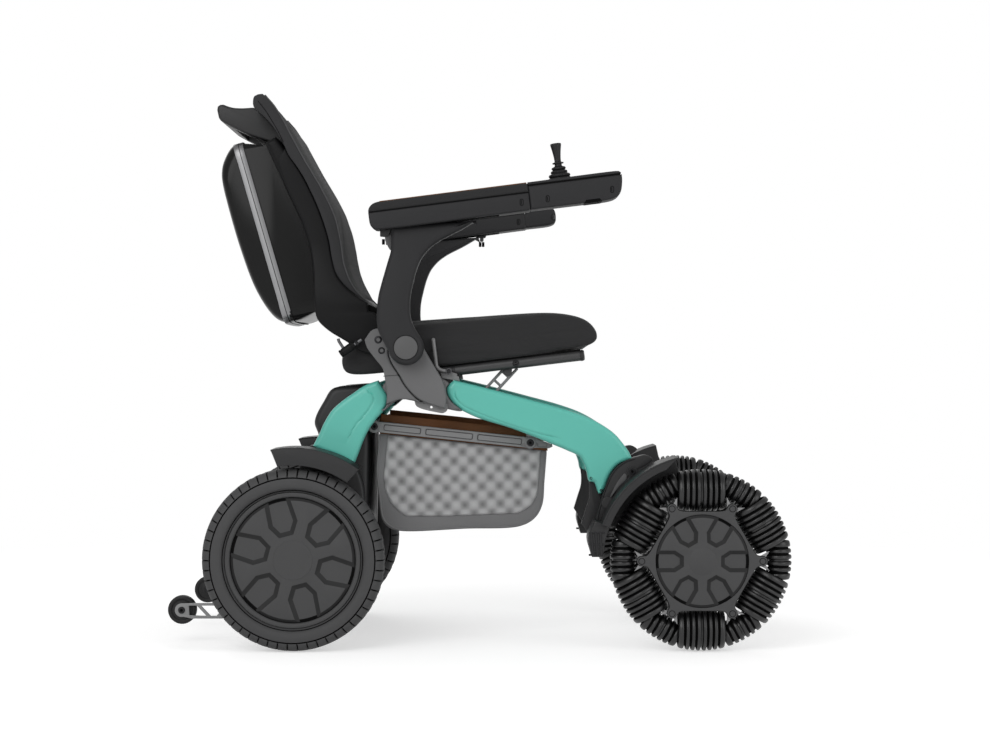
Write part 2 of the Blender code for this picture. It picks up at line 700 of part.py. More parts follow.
def lower_frame():
    """Two recessed side rails and their cross bars, between the arches and the beams."""
    slope = atan2(RAIL_FRONT[1] - RAIL_REAR[1], RAIL_FRONT[0] - RAIL_REAR[0])
    length = hypot(RAIL_FRONT[0] - RAIL_REAR[0], RAIL_FRONT[1] - RAIL_REAR[1])
    half = 0.0095
    boss = 0.0115
    outline = [(0.010, -half), (length - 0.009, -half)]
    outline += arc((length, 0), boss, -110, -40, 4)
    outline += [(length + 0.036, -0.006), (length + 0.040, 0.001), (length + 0.012, 0.008)]
    outline += arc((length, 0), boss, 60, 130, 4)
    outline += [(length - 0.012, half), (0.012, half)]
    outline += arc((0, 0), boss, 50, 310, 7)
    outline = tilted(RAIL_REAR, slope, outline)
    frame = disc("lower_frame", RAIL_REAR, -RAIL_IN - 0.006, RAIL_IN + 0.006, CROSS_BAR_R, 12, SATIN_GREY)
    join(frame, disc("front_cross_bar", RAIL_FRONT, -RAIL_IN - 0.006, RAIL_IN + 0.006, CROSS_BAR_R, 12))
    for tag, side in SIDES.items():
        rail = prism(f"side_rail_{tag}", outline, side * RAIL_IN, side * RAIL_OUT)
        join(frame, rail)
        thirds = [(0.016, 0.083), (0.092, 0.176), (0.185, length - 0.014)]
        for k, (start, end) in enumerate(thirds):
            recess = tilted(RAIL_REAR, slope, [(start, -0.0055), (end, -0.0055),
                                               (end, 0.0055), (start, 0.0055)])
            cut(frame, prism(f"rail_recess_{tag}_{k}", recess, side * (RAIL_OUT - 0.0025),
                             side * (RAIL_OUT + 0.005)))
    return frame


def front_fender(tag, side):
    """The front fork arm and axle stub with the fender, stay and mud flap that it carries."""
    inner = side * (FRAME_OUT + SEAT_GAP)
    plate = side * (FRAME_OUT + 0.0090)
    reach = degrees(atan2(FORK_BOLT[1] - FRONT_AXLE[1], FORK_BOLT[0] - FRONT_AXLE[0]))
    arm = arc(FRONT_AXLE, 0.027, reach - 260, reach - 100, 9)
    arm += arc(FORK_BOLT, 0.016, reach - 60, reach + 60, 5)
    arm = list(reversed(arm))
    fork = prism(f"front_fender_{tag}", arm, inner, plate + side * 0.0005, BLACK_PLASTIC)
    stub = disc(f"front_stub_{tag}", FRONT_AXLE, side * (FRAME_OUT + 0.004),
                side * (HALF_TRACK - 0.010), STUB_R, 16)
    first, last = 103, 160
    band = arc(FRONT_AXLE, FENDER_R, first, last, 9) + arc(FRONT_AXLE, FENDER_R - FENDER_T, last, first, 9)
    band_ob = prism(f"fender_band_{tag}", band, inner, side * FENDER_OUT)
    wall = arc(FRONT_AXLE, FENDER_R - FENDER_T / 2, first, last, 9)
    wall += arc(FRONT_AXLE, FRONT_WHEEL_R - 0.028, last, first, 7)
    wall_ob = prism(f"fender_wall_{tag}", wall, inner, plate)
    stay = chord(BEAM_REAR, FORK_BOLT, [(1.050, 86), (1.022, 50), (1.024, 28), (1.032, 10), (1.026, -10),
                                        (1.060, -30), (1.085, -26), (1.060, 10), (1.060, 40), (1.078, 66),
                                        (1.085, 76), (1.070, 88)])
    stay_ob = prism(f"fender_stay_{tag}", stay, inner, plate - side * 0.001)
    end = arc(FRONT_AXLE, FENDER_R - FENDER_T / 2, last - 1, last, 2)[1]
    flap = shift(end, [(-13, 7), (14, -2), (6, -24), (1, -56), (-18, -56), (-25, -24)])
    flap_ob = prism(f"mud_flap_{tag}", flap, inner + side * 0.002, side * (FENDER_OUT - 0.012))
    join(fork, stub, wall_ob, band_ob, stay_ob, flap_ob)


def rear_fender(tag, side):
    """The hood over a rear tyre, bolted to the arch's outer face."""
    inner = side * (FRAME_OUT + SEAT_GAP)
    wall_in = side * (FRAME_OUT + 0.0045)
    first, last = 54, 101
    top = arc(REAR_AXLE, REAR_FENDER_R, first, last, 8)
    band = top + arc(REAR_AXLE, REAR_FENDER_R - FENDER_T, last, first, 8)
    hood = prism(f"rear_fender_{tag}", band, inner, side * FENDER_OUT, BLACK_PLASTIC)
    skirt = top + arc(REAR_AXLE, REAR_FENDER_SKIRT_R, last - 2, first + 1, 6)
    outer = prism(f"rear_skirt_{tag}", skirt, side * (FENDER_OUT - 0.0025), side * FENDER_OUT)
    inside = prism(f"rear_wall_{tag}", skirt, inner, wall_in)
    join(hood, outer, inside)


def drive_unit():
    """The rear axle tube, both gear motors with their housings, the power box and the anti-tip arms."""
    unit = disc("drive_unit", REAR_AXLE, -FRAME_IN - 0.012, FRAME_IN + 0.012, AXLE_TUBE_R, 14, BLACK_PLASTIC)
    case = shift(REAR_AXLE, [(26, 236), (44, 275), (56, 294), (95, 301), (116, 302), (122, 296),
                             (122, -25), (112, -36), (14, -36), (4, -24), (4, 50), (34, 205)])
    power_box = prism("power_box", case, -BOX_HALF_W, BOX_HALF_W, bevel=0.006)
    join(unit, power_box)
    foot = chord(ARCH_TOP, ARCH_FOOT, [(1.075, -46), (1.035, -20), (0.990, 1), (0.942, 36)])
    foot = [(x - 0.0003, z - 0.0005) for x, z in foot]
    for tag, side in SIDES.items():
        housing = foot + shift(REAR_AXLE, [(118, 118), (112, 60)])
        housing += arc(REAR_AXLE, MOTOR_R + 0.004, -10, -190, 8) + shift(REAR_AXLE, [(-40, 60), (0, 150)])
        housing = list(reversed(housing))
        gear = prism(f"gear_housing_{tag}", housing, side * (FRAME_IN - 0.004), side * FRAME_OUT)
        motor = disc(f"motor_{tag}", REAR_AXLE, side * 0.090, side * (FRAME_IN + 0.006), MOTOR_R, 16)
        shaft = disc(f"shaft_{tag}", REAR_AXLE, side * (FRAME_OUT - 0.010),
                     side * (HALF_TRACK - RIM_WIDTH / 2 + 0.014), SHAFT_R, 12)
        join(unit, motor, gear, shaft, *anti_tip_arm(tag, side))
    return unit


def anti_tip_arm(tag, side):
    """A truss arm behind the motor, with the pin of its small wheel."""
    near = side * TIP_ARM_IN
    far = side * (TIP_ARM_IN + TIP_ARM_T)
    start = (TIP_AXLE[0] + 0.016, TIP_AXLE[1])
    length = REAR_AXLE_X - 0.010 - start[0]
    rise = 0.018
    half = 0.0145
    bar = 0.0048
    outline = arc(TIP_AXLE, 0.012, 70, 290, 7)
    outline += [(start[0], start[1] - half), (start[0] + length, start[1] - half + rise),
                (start[0] + length + 0.020, start[1] - half + rise + 0.004),
                (start[0] + length + 0.024, REAR_AXLE[1] - 0.038),
                (start[0] + length - 0.002, REAR_AXLE[1] - 0.038),
                (start[0] + length - 0.004, start[1] + half + rise), (start[0], start[1] + half)]
    bays = 3
    step = (length - 0.008) / bays
    holes = []
    for k in range(bays):
        left = start[0] + 0.004 + step * k
        tilt = rise / length
        corners = [(left, -half + bar), (left + step - 0.009, -half + bar), (left, half - bar)]
        mirror = [(left + step - 0.003, half - bar), (left + 0.006, half - bar),
                  (left + step - 0.003, -half + bar)]
        for loop in (corners, mirror):
            holes.append([(x, start[1] + z + (x - start[0]) * tilt) for x, z in loop])
    arm = prism(f"tip_arm_{tag}", outline, near, far, holes=holes)
    wheel_in = TIP_ARM_IN + TIP_ARM_T + RUNNING_GAP
    head_in = wheel_in + TIP_WHEEL_W + RUNNING_GAP
    pin = disc(f"tip_pin_{tag}", TIP_AXLE, near + side * 0.001, side * (head_in + 0.001), 0.005, 10)
    head = disc(f"tip_pin_head_{tag}", TIP_AXLE, side * head_in, side * (head_in + 0.003), 0.008, 10)
    return arm, pin, head


def anti_tip_wheel(tag, side):
    """A small solid wheel on the arm's pin."""
    middle = TIP_ARM_IN + TIP_ARM_T + RUNNING_GAP + TIP_WHEEL_W / 2
    origin = (TIP_AXLE[0], side * middle, TIP_AXLE[1])
    half = TIP_WHEEL_W / 2
    bore = 0.005 / cos(pi / 10) + RUNNING_GAP
    profile = [(bore, half), (TIP_WHEEL_R - 0.003, half), (TIP_WHEEL_R, half - 0.003),
               (TIP_WHEEL_R, -half), (bore, -half)]
    wheel = turned(f"anti_tip_wheel_{tag}", profile, origin, (0, side, 0), (0, 0, -1), 18,
                   WHEEL_PLASTIC, ring=True)
    pivot(f"anti_tip_{tag}_axis", origin, wheel)


def rail_point(share, drop=0.0):
    """A place along the seat rail, dropped below its centre line."""
    x = SEAT_RAIL_REAR[0] + (SEAT_RAIL_FRONT[0] - SEAT_RAIL_REAR[0]) * share
    z = SEAT_RAIL_REAR[1] + (SEAT_RAIL_FRONT[1] - SEAT_RAIL_REAR[1]) * share
    return x, z - drop


def prop_points():
    """The prop's pin under the rail, and its foot behind the beam."""
    pin = rail_point(0.44, SEAT_RAIL_R + 0.004)
    return pin, (pin[0] - 0.046, pin[1] - 0.050)


def seat_frame():
    """Two rails and three cross bars, with eyes round the cross tube, pins and the prop's lugs."""
    frame = None
    for tag, side in SIDES.items():
        y = side * SEAT_RAIL_Y
        rear, front = rail_point(-0.04), rail_point(0.985)
        name = "seat_frame" if frame is None else f"seat_rail_{tag}"
        rail = rod(name, (rear[0], y, rear[1]), (front[0], y, front[1]), SEAT_RAIL_R, 10, BLACK_TUBE)
        frame = rail if frame is None else join(frame, rail)
    for k, share in enumerate((0.03, 0.52, 0.93)):
        bar = disc(f"seat_bar_{k}", rail_point(share, 0.001), -SEAT_RAIL_Y, SEAT_RAIL_Y, 0.0075, 8)
        join(frame, bar)
    for tag, side in SIDES.items():
        bar = rail_point(0.03, 0.001)
        link = arc(SEAT_PIVOT, 0.023, 60, 300, 7) + [(bar[0], bar[1] - 0.007), (bar[0] + 0.004, bar[1]),
                                                   (bar[0], bar[1] + 0.006)]
        eye = prism(f"seat_eye_{tag}", link, side * SEAT_EYE_IN, side * (SEAT_EYE_IN + SEAT_EYE_T))
        join(frame, eye)
        cut(frame, disc(f"seat_eye_bore_{tag}", SEAT_PIVOT, side * (SEAT_EYE_IN - SEAT_EYE_T),
                        side * (SEAT_EYE_IN + 2 * SEAT_EYE_T),
                        (CROSS_TUBE_R + RUNNING_GAP) / cos(pi / 16), 16))
    rear = rail_point(0.0)
    pin_end = EAR_OUT
    join(frame, disc("lever_pin", rear, -SEAT_RAIL_Y, -pin_end, 0.004, 10))
    pin = prop_points()[0]
    for k, y in enumerate((-PROP_Y - 0.0085, -PROP_Y + 0.0055)):
        lug = [(pin[0] - 0.006, pin[1] - 0.005), (pin[0] + 0.006, pin[1] - 0.005),
               (pin[0] + 0.008, pin[1] + 0.016), (pin[0] - 0.008, pin[1] + 0.016)]
        join(frame, prism(f"prop_lug_{k}", lug, y, y + 0.003))
    top_strip = box("prop_strip", (pin[0] - 0.010, -SEAT_RAIL_Y, pin[1] + 0.008),
                    (pin[0] + 0.010, -PROP_Y + 0.010, pin[1] + 0.013))
    join(frame, top_strip)
    join(frame, disc("prop_pin", pin, -PROP_Y - 0.007, -PROP_Y + 0.007, 0.0025, 8))
    return frame


def seat_prop():
    """The ladder-shaped prop: two bars and two rungs under an eye."""
    pin, foot = prop_points()
    run = Vector((foot[0] - pin[0], foot[1] - pin[1]))
    across = Vector((-run.y, run.x)).normalized() * 0.0086
    bars = []
    for k, sign in enumerate((-1, 1)):
        start = Vector(pin) + across * sign + run * 0.06
        end = Vector(foot) + across * sign
        bars.append(rod(f"prop_bar_{k}", (start.x, -PROP_Y, start.y), (end.x, -PROP_Y, end.y), PROP_BAR_R, 6))
    eye = disc("seat_prop", pin, -PROP_Y - 0.0045, -PROP_Y + 0.0015, 0.0055, 10, SATIN_GREY)
    prop = eye
    for bar in bars:
        join(prop, bar)
    for k, share in enumerate((0.09, 0.40, 0.70, 1.0)):
        a = Vector(pin) + run * share - across
        b = Vector(pin) + run * share + across
        join(prop, rod(f"prop_rung_{k}", (a.x, -PROP_Y, a.y), (b.x, -PROP_Y, b.y), PROP_BAR_R * 0.9, 6))
    cut(prop, disc("prop_bore", pin, -PROP_Y - 0.012, -PROP_Y + 0.012, 0.0025 + RUNNING_GAP, 8))
    pivot("seat_prop_axis", (pin[0], -PROP_Y, pin[1]), prop)
    return prop


def seat_lever():
    """The bent lever beside the cushion, on a pin at the rail's rear end."""
    rear = rail_point(0.0)
    y = -(EAR_IN + EAR_OUT) / 2
    knee = (rear[0] - 0.021, rear[1] + 0.005)
    top = (rear[0] - 0.027, rear[1] + 0.056)
    path = [(top[0], y, top[1]), (knee[0], y, knee[1] + 0.003), (knee[0] + 0.003, y, knee[1]),
            (rear[0], y, rear[1])]
    lever = tube("seat_lever", path, LEVER_R - 0.0008, DARK_STEEL, 1)
    eye = disc("lever_eye", rear, -EAR_IN - 0.0002, -EAR_OUT + 0.0002, 0.0085, 14)
    join(lever, eye)
    bore = (0.004 + RUNNING_GAP) / cos(pi / 10)
    cut(lever, disc("lever_bore", rear, -EAR_IN + 0.01, -EAR_OUT - 0.01, bore, 10))
    pivot("seat_lever_axis", (rear[0], y, rear[1]), lever)
    return lever


def seat_cushion():
    """The crowned seat cushion, with drawn-in sides and a dished middle."""
    base = rail_point(0.0)
    lift = SEAT_RAIL_R + SEAT_GAP + CUSHION_SAG
    slope = atan2(SEAT_RAIL_FRONT[1] - SEAT_RAIL_REAR[1], SEAT_RAIL_FRONT[0] - SEAT_RAIL_REAR[0])
    under = [(-0.176, 0), (-0.060, 0), (0.110, 0), (0.232, 0)]
    upper = [(0.264, 0.014), (0.264, 0.036), (0.238, 0.054), (0.170, 0.064), (0.060, 0.074),
             (-0.070, 0.083), (-0.155, 0.068), (-0.192, 0.046), (-0.192, 0.016)]
    stations = [(-1.0, 0.60, 0.30), (-0.92, 0.96, 0.0), (-0.50, 1.02, 0.0), (0.0, 0.95, 0.0),
                (0.50, 1.02, 0.0), (0.92, 0.96, 0.0), (1.0, 0.60, 0.30)]
    sections = []
    for across, rise, tuck in stations:
        ring = []
        for u, v in under + upper:
            v = v * rise + (tuck * 0.030 if v == 0 else 0.0)
            u = 0.038 + (u - 0.038) * (1.0 - tuck * 0.12)
            x, z = tilted((base[0], base[1] + lift), slope, [(u, v)])[0]
            ring.append((x, across * SEAT_HALF_W, z))
        sections.append(ring)
    return lofted("seat_cushion", sections, SEAT_FABRIC, levels=1)


BACK_PAIRS = [((-9, 76), (-22, 72)), ((-34, 117), (-54, 110)), ((-47, 180), (-70, 172)),
              ((-70, 245), (-90, 247)), ((-110, 314), (-128, 322)), ((-161, 397), (-174, 403)),
              ((-214, 464), (-208, 450))]
BACK_SEAM = [seam for front, seam in BACK_PAIRS]
BACK_REAR = [(-219, 452), (-214, 430), (-189, 394), (-165, 352), (-132, 296), (-105, 244), (-87, 178),
             (-79, 128), (-66, 100), (-46, 78)]


SPINE_REAR = [(-115, 62), (-119, 92), (-122, 140), (-127, 174), (-141, 219), (-164, 269), (-191, 328),
              (-206, 361)]


def backrest_cushion():
    """The long padded back, crowned between its side edges."""
    front = [Vector(point) for point in shift(BACK_PIVOT, [pair[0] for pair in BACK_PAIRS])]
    seam = [Vector(point) for point in shift(BACK_PIVOT, BACK_SEAM)]
    sections = []
    for across, crown in ((-1.0, 0.40), (-0.90, 0.95), (-0.55, 1.15), (0.0, 0.92), (0.55, 1.15), (0.90, 0.95),
                          (1.0, 0.40)):
        points = [back + (face - back) * crown for face, back in zip(front, seam)] + list(reversed(seam))
        sections.append([(p.x, across * BACK_HALF_W, p.y) for p in points])
    return lofted("backrest_cushion", sections, SEAT_FABRIC, levels=1, paired=True)


def backrest_shell():
    """The moulded back shell with its spine, pivot ears and looped push handle."""
    seam = beside(shift(BACK_PIVOT, BACK_SEAM), BACK_PAD_GAP)
    outline = seam + shift(BACK_PIVOT, BACK_REAR)
    shell = prism("backrest_shell", outline, -BACK_HALF_W, BACK_HALF_W, BLACK_PLASTIC)
    spine = shift(BACK_PIVOT, [(-70, 120), (-64, 100)] + SPINE_REAR + [(-188, 372), (-150, 315), (-110, 240),
                                                                       (-90, 170)])
    spine_ob = prism("back_spine", spine, -SPINE_HALF_W, SPINE_HALF_W)
    join(shell, spine_ob)
    ear = shift(BACK_PIVOT, [(-92, 180), (-80, 128), (-84, 70), (-80, 36), (-72, 14), (-34, -8), (0, -14),
                             (14, 0), (8, 22), (-18, 62), (-34, 98), (-52, 132), (-62, 172)])
    for tag, side in SIDES.items():
        plate = prism(f"back_ear_{tag}", ear, side * EAR_IN, side * EAR_OUT)
        tie_outline = shift(BACK_PIVOT, [(-86, 178), (-80, 150), (-78, 130), (-68, 132), (-77, 172)])
        tie = prism(f"back_tie_{tag}", tie_outline, side * (BACK_HALF_W - 0.012), side * (EAR_IN + 0.002))
        join(shell, plate, tie)
        cut(shell, disc(f"back_bore_{tag}", BACK_PIVOT, side * (EAR_IN - 0.01), side * (EAR_OUT + 0.01),
                        (PIVOT_PIN_R + RUNNING_GAP) / cos(pi / 10), 10))
    wing = shift(BACK_PIVOT, [(-206, 428), (-235, 433), (-254, 431), (-277, 433), (-288, 438),
                              (-300, 428), (-297, 416), (-294, 414), (-255, 380), (-200, 366), (-176, 366)])
    handle = prism("push_handle", wing, -HANDLE_HALF_W, HANDLE_HALF_W, bevel=0.005)
    slot = shift(BACK_PIVOT, [(-232, 450), (-268, 450), (-268, 350), (-232, 340)])
    cut(handle, prism("handle_slot", slot, -HANDLE_HALF_W + 0.030, HANDLE_HALF_W - 0.030))
    join(shell, handle)
    pivot("backrest_axis", (BACK_PIVOT[0], 0.0, BACK_PIVOT[1]), shell)
    return shell


CASE_REAR = [(-249, 366), (-268, 362), (-285, 334), (-289, 312), (-287, 292), (-277, 251), (-256, 179),
             (-229, 106), (-206, 67), (-190, 50), (-176, 44), (-150, 46)]


def hard_case():
    """The rounded storage case on the back, standing on the spine."""
    front = beside(shift(BACK_PIVOT, SPINE_REAR), SEAT_GAP)
    outline = front + shift(BACK_PIVOT, CASE_REAR)
    centre = Vector(BACK_PIVOT) + Vector((-0.190, 0.210))
    sections = []
    for across, grow in ((-1.0, 0.86), (-0.94, 0.95), (-0.80, 1.0), (0.80, 1.0), (0.94, 0.95), (1.0, 0.86)):
        ring = []
        for k, (x, z) in enumerate(outline):
            on_back = k < len(front)
            keep = 1.0 if on_back else grow
            ring.append((centre.x + (x - centre.x) * keep, across * CASE_HALF_W,
                         centre.y + (z - centre.y) * keep))
        sections.append(ring)
    return lofted("hard_case", sections, CASE_SHELL)


def recline_lock():
    """The plunger handle that locks the recline, in the cheek's rear edge on the right."""
    y = -(CHEEK_IN + CHEEK_OUT) / 2
    axis = Vector((cos(LOCK_TILT), 0.0, sin(LOCK_TILT)))
    seat = Vector((BACK_PIVOT[0] + LOCK_SEAT[0], y, BACK_PIVOT[1] + LOCK_SEAT[1])) - axis * SEAT_GAP
    grip_a = seat - axis * 0.046
    grip_b = seat - axis * 0.016
    shaft = rod("recline_lock", grip_b - axis * 0.004, seat, 0.0032, 10, DARK_STEEL)
    grip = rod("lock_grip", grip_a, grip_b, 0.0062, 12)
    bend = grip_a + axis * 0.010
    rise = Vector((-0.011, 0.0, 0.018))
    hook = bend + rise + Vector((-0.001, 0.0, 0.004))
    handle = tube("lock_rod", [bend, bend + rise, hook], 0.0022, None, 1)
    lock = join(shaft, grip, handle)
    pivot("recline_lock_axis", seat, lock)
    return lock


def armrest(tag, side):
    """An armrest: its curved upright with the pad's casing, and the pad on top."""
    near, far = side * ARM_IN, side * (ARM_IN + ARM_T)
    upright = arc(ARM_PIVOT, ARM_BOSS_R, 215, 355, 7)
    upright += shift(ARM_PIVOT, [(27, 14), (9, 48), (7, 84), (21, 143), (42, 175), (60, 189), (91, 204),
                                 (122, 222), (-26, 212), (-26, 169), (-36, 135), (-48, 90), (-51, 48),
                                 (-48, 29), (-39, 5)])
    arm = prism(f"armrest_arm_{tag}", upright, near, far, BLACK_PLASTIC, 0.004)
    origin = (ARM_PIVOT[0] + PAD_REAR[0], ARM_PIVOT[1] + PAD_REAR[1])
    low_y, high_y = sorted((side * PAD_IN, side * (PAD_IN + PAD_WIDTH)))
    casing_outline = [(0.002, 0.0), (CASING_LENGTH, 0.0), (CASING_LENGTH, CASING_HEIGHT),
                      (-0.008, CASING_HEIGHT), (-0.011, 0.020), (-0.008, 0.008)]
    casing_loop = tilted(origin, PAD_SLOPE, casing_outline)
    casing = prism(f"arm_casing_{tag}", casing_loop, low_y, high_y, bevel=0.004)
    cap = disc(f"arm_cap_{tag}", ARM_PIVOT, far - side * 0.004, far + side * 0.003, ARM_CAP_R, 20)
    join(arm, casing, cap)
    cut(arm, disc(f"arm_bore_{tag}", ARM_PIVOT, near - side * 0.01, side * (ARM_IN + ARM_T * 0.6 + 0.001),
                  (PIVOT_PIN_R + 0.002 + RUNNING_GAP) / cos(pi / 10), 10))
    middle = side * (PAD_IN + PAD_WIDTH / 2)
    if side < 0:
        channel_low = 0.016 - TONGUE_HEIGHT / 2 - RUNNING_GAP
        channel_high = 0.016 + TONGUE_HEIGHT / 2 + RUNNING_GAP
        half = TONGUE_WIDTH / 2 + RUNNING_GAP
        channel_end = CASING_LENGTH - TONGUE_LENGTH - 0.004
        channel = [(channel_end, channel_low), (CASING_LENGTH + 0.01, channel_low),
                   (CASING_LENGTH + 0.01, channel_high), (channel_end, channel_high)]
        cut(arm, prism("tongue_channel", tilted(origin, PAD_SLOPE, channel), middle - half, middle + half))
    else:
        end = [(CASING_LENGTH - 0.004, 0.001), (CASING_LENGTH + 0.050, 0.002), (CASING_LENGTH + 0.060, 0.012),
               (CASING_LENGTH + 0.060, 0.026), (CASING_LENGTH + 0.052, 0.036),
               (CASING_LENGTH + 0.0015, 0.040), (CASING_LENGTH + 0.0015, 0.030),
               (CASING_LENGTH - 0.004, 0.030)]
        end = tilted(origin, PAD_SLOPE, end)
        join(arm, prism("arm_end_cap", end, low_y + 0.002, high_y - 0.002, bevel=0.003))
    base = CASING_HEIGHT + SEAT_GAP
    top = base + PAD_T
    pad_outline = [(-0.009, base), (CASING_LENGTH, base), (CASING_LENGTH, top - 0.001),
                   (CASING_LENGTH - 0.030, top), (0.020, top), (-0.002, top - 0.002), (-0.011, top - 0.009)]
    pad_outline = tilted(origin, PAD_SLOPE, pad_outline)
    pad = prism(f"armrest_pad_{tag}", pad_outline, low_y, high_y, SEAT_FABRIC, 0.005)
    pivot(f"armrest_{tag}_axis", (ARM_PIVOT[0], side * ARM_IN, ARM_PIVOT[1]), arm, pad)


def housing_frame():
    """Where the control housing meets the right casing: its origin, and its middle plane."""
    origin = (ARM_PIVOT[0] + PAD_REAR[0], ARM_PIVOT[1] + PAD_REAR[1])
    start = tilted(origin, PAD_SLOPE, [(CASING_LENGTH, 0.0)])[0]
    return start, -(PAD_IN + PAD_WIDTH / 2)


def control_housing():
    """The controller's housing with the tongue that slides in the right casing."""
    start, middle = housing_frame()
    half = PAD_WIDTH / 2 - 0.001
    length, height = HOUSING_LENGTH, HOUSING_HEIGHT
    outline = [(SEAT_GAP, 0.001), (0.085, 0.0005), (0.140, 0.002), (0.155, 0.008), (length - 0.001, 0.016),
               (length, 0.030), (length - 0.003, 0.042), (length - 0.012, height), (0.060, height),
               (SEAT_GAP, height)]
    body = prism("control_housing", tilted(start, PAD_SLOPE, outline), middle - half, middle + half,
                 BLACK_PLASTIC, 0.004)
    mid = 0.016
    tongue = [(-TONGUE_LENGTH, mid - TONGUE_HEIGHT / 2), (0.010, mid - TONGUE_HEIGHT / 2),
              (0.010, mid + TONGUE_HEIGHT / 2), (-TONGUE_LENGTH, mid + TONGUE_HEIGHT / 2)]
    join(body, prism("tongue", tilted(start, PAD_SLOPE, tongue), middle - TONGUE_WIDTH / 2,
                     middle + TONGUE_WIDTH / 2))
    port = [(0.092, -0.01), (0.110, -0.01), (0.110, 0.006), (0.092, 0.006)]
    cut(body, prism("port_recess", tilted(start, PAD_SLOPE, port), middle - 0.006, middle + 0.006))
    up = Vector((-sin(PAD_SLOPE), 0.0, cos(PAD_SLOPE)))

    def on_top(along, rise=0.0):
        x, z = tilted(start, PAD_SLOPE, [(along, height + rise)])[0]
        return Vector((x, middle, z))

    base = on_top(STICK_BASE)
    well_r = 0.0105
    cut(body, rod("stick_well", base - up * 0.013, base + up * 0.01, well_r, 14))
    button_at = on_top(0.134)
    well = (BUTTON_R / cos(pi / 12) + RUNNING_GAP) / cos(pi / 12)
    cut(body, rod("button_well", button_at - up * 0.006, button_at + up * 0.01, well, 12))

    forward = Vector((cos(PAD_SLOPE), 0.0, sin(PAD_SLOPE)))
    hole = STICK_R + 0.0006
    boot_profile = [(hole, BOOT_H), (0.009, BOOT_H), (0.0085, 0.0135), (0.0145, 0.0110), (0.0125, 0.0085),
                    (BOOT_R, 0.0045), (BOOT_R, SEAT_GAP), (hole, SEAT_GAP)]
    boot = turned("joystick_boot", boot_profile, base, up, forward, 10, BLACK_PLASTIC, ring=True)
    stick_profile = [(0, STICK_H), (0.0085, STICK_H), (0.0095, STICK_H - 0.003), (0.0066, STICK_H - 0.020),
                     (STICK_R, STICK_H - 0.026), (STICK_R, -0.006), (0.0052, -0.0065), (0.0052, -0.0115),
                     (0, -0.0115)]
    stick = turned("joystick_stick", stick_profile, base, up, forward, 10, BLACK_PLASTIC)
    button_profile = [(0, 0.0022), (BUTTON_R - 0.001, 0.0022), (BUTTON_R, 0.0012), (BUTTON_R, -0.0038),
                      (0, -0.0038)]
    button = turned("power_button", button_profile, button_at, up, forward, 12, DARK_STEEL)
    slide = pivot("control_slide_axis", (start[0], middle, start[1]), body)
    gimbal = pivot("joystick_axis", base, boot, stick)
    press = pivot("power_button_axis", button_at, button)
    for empty in (gimbal, press):
        world = empty.matrix_world.copy()
        empty.parent = slide
        empty.matrix_parent_inverse = slide.matrix_world.inverted()
        empty.matrix_world = world
    return body


def storage_bag():
    """The open-topped bag that hangs in the lower frame."""
    left_top = (RAIL_REAR[0] + CROSS_BAR_R + 0.0006, RAIL_REAR[1] + 0.012)
    right_top = (RAIL_FRONT[0] - CROSS_BAR_R - 0.0006, RAIL_FRONT[1] + 0.012)
    outline = [left_top, right_top, (right_top[0], RAIL_FRONT[1] - 0.011),
               (RAIL_FRONT[0] + 0.030, RAIL_FRONT[1] - 0.014), (RAIL_FRONT[0] + 0.022, 0.245),
               (RAIL_FRONT[0] + 0.009, 0.222), (RAIL_FRONT[0] - 0.017, 0.207), (-0.134, 0.199),
               (-0.157, 0.205), (-0.168, 0.219), (-0.178, 0.304), (-0.174, RAIL_REAR[1] - 0.013),
               (left_top[0], RAIL_REAR[1] - 0.012)]
    bag = prism("storage_bag", outline, -BAG_HALF_W, BAG_HALF_W, BAG_MESH, 0.003)
    wall = BAG_WALL
    hollow = [(left_top[0] + wall, left_top[1] + 0.03), (right_top[0] - wall, right_top[1] + 0.03),
              (right_top[0] - wall, 0.230), (RAIL_FRONT[0] - 0.022, 0.207 + wall + 0.004),
              (-0.134, 0.199 + wall), (-0.155, 0.212), (-0.163, 0.224), (left_top[0] + wall, 0.304)]
    cut(bag, prism("bag_hollow", hollow, -BAG_HALF_W + wall, BAG_HALF_W - wall))
    return bag


for tag, side in SIDES.items():
    rear_wheel(tag, side)
    front_wheel(tag, side)
    front_beam(tag, side)
    rear_arch(tag, side)
    front_fender(tag, side)
    rear_fender(tag, side)
    anti_tip_wheel(tag, side)
    armrest(tag, side)
seat_bridge_frame()
lower_frame()
drive_unit()
seat = seat_frame()
lever = seat_lever()
prop = seat_prop()
cushion = seat_cushion()
back_cushion = backrest_cushion()
backrest_shell()
hard_case()
recline_lock()
control_housing()
storage_bag()
pivot("seat_tilt_axis", (SEAT_PIVOT[0], 0.0, SEAT_PIVOT[1]), seat, cushion)
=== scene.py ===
"""Looks of the all-terrain power wheelchair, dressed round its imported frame.

Laid out as an add-on and run as a script. +X is forward, +Y is the chair's left, +Z is up, in metres.
Outlines lie in the side plane as (x, z). Most are given in millimetres from a named anchor.
"""
from math import asin, atan2, cos, degrees, hypot, pi, radians, sin, sqrt

import bmesh
import bpy
import numpy as np
from mathutils import Matrix, Vector
from mathutils.geometry import tessellate_polygon


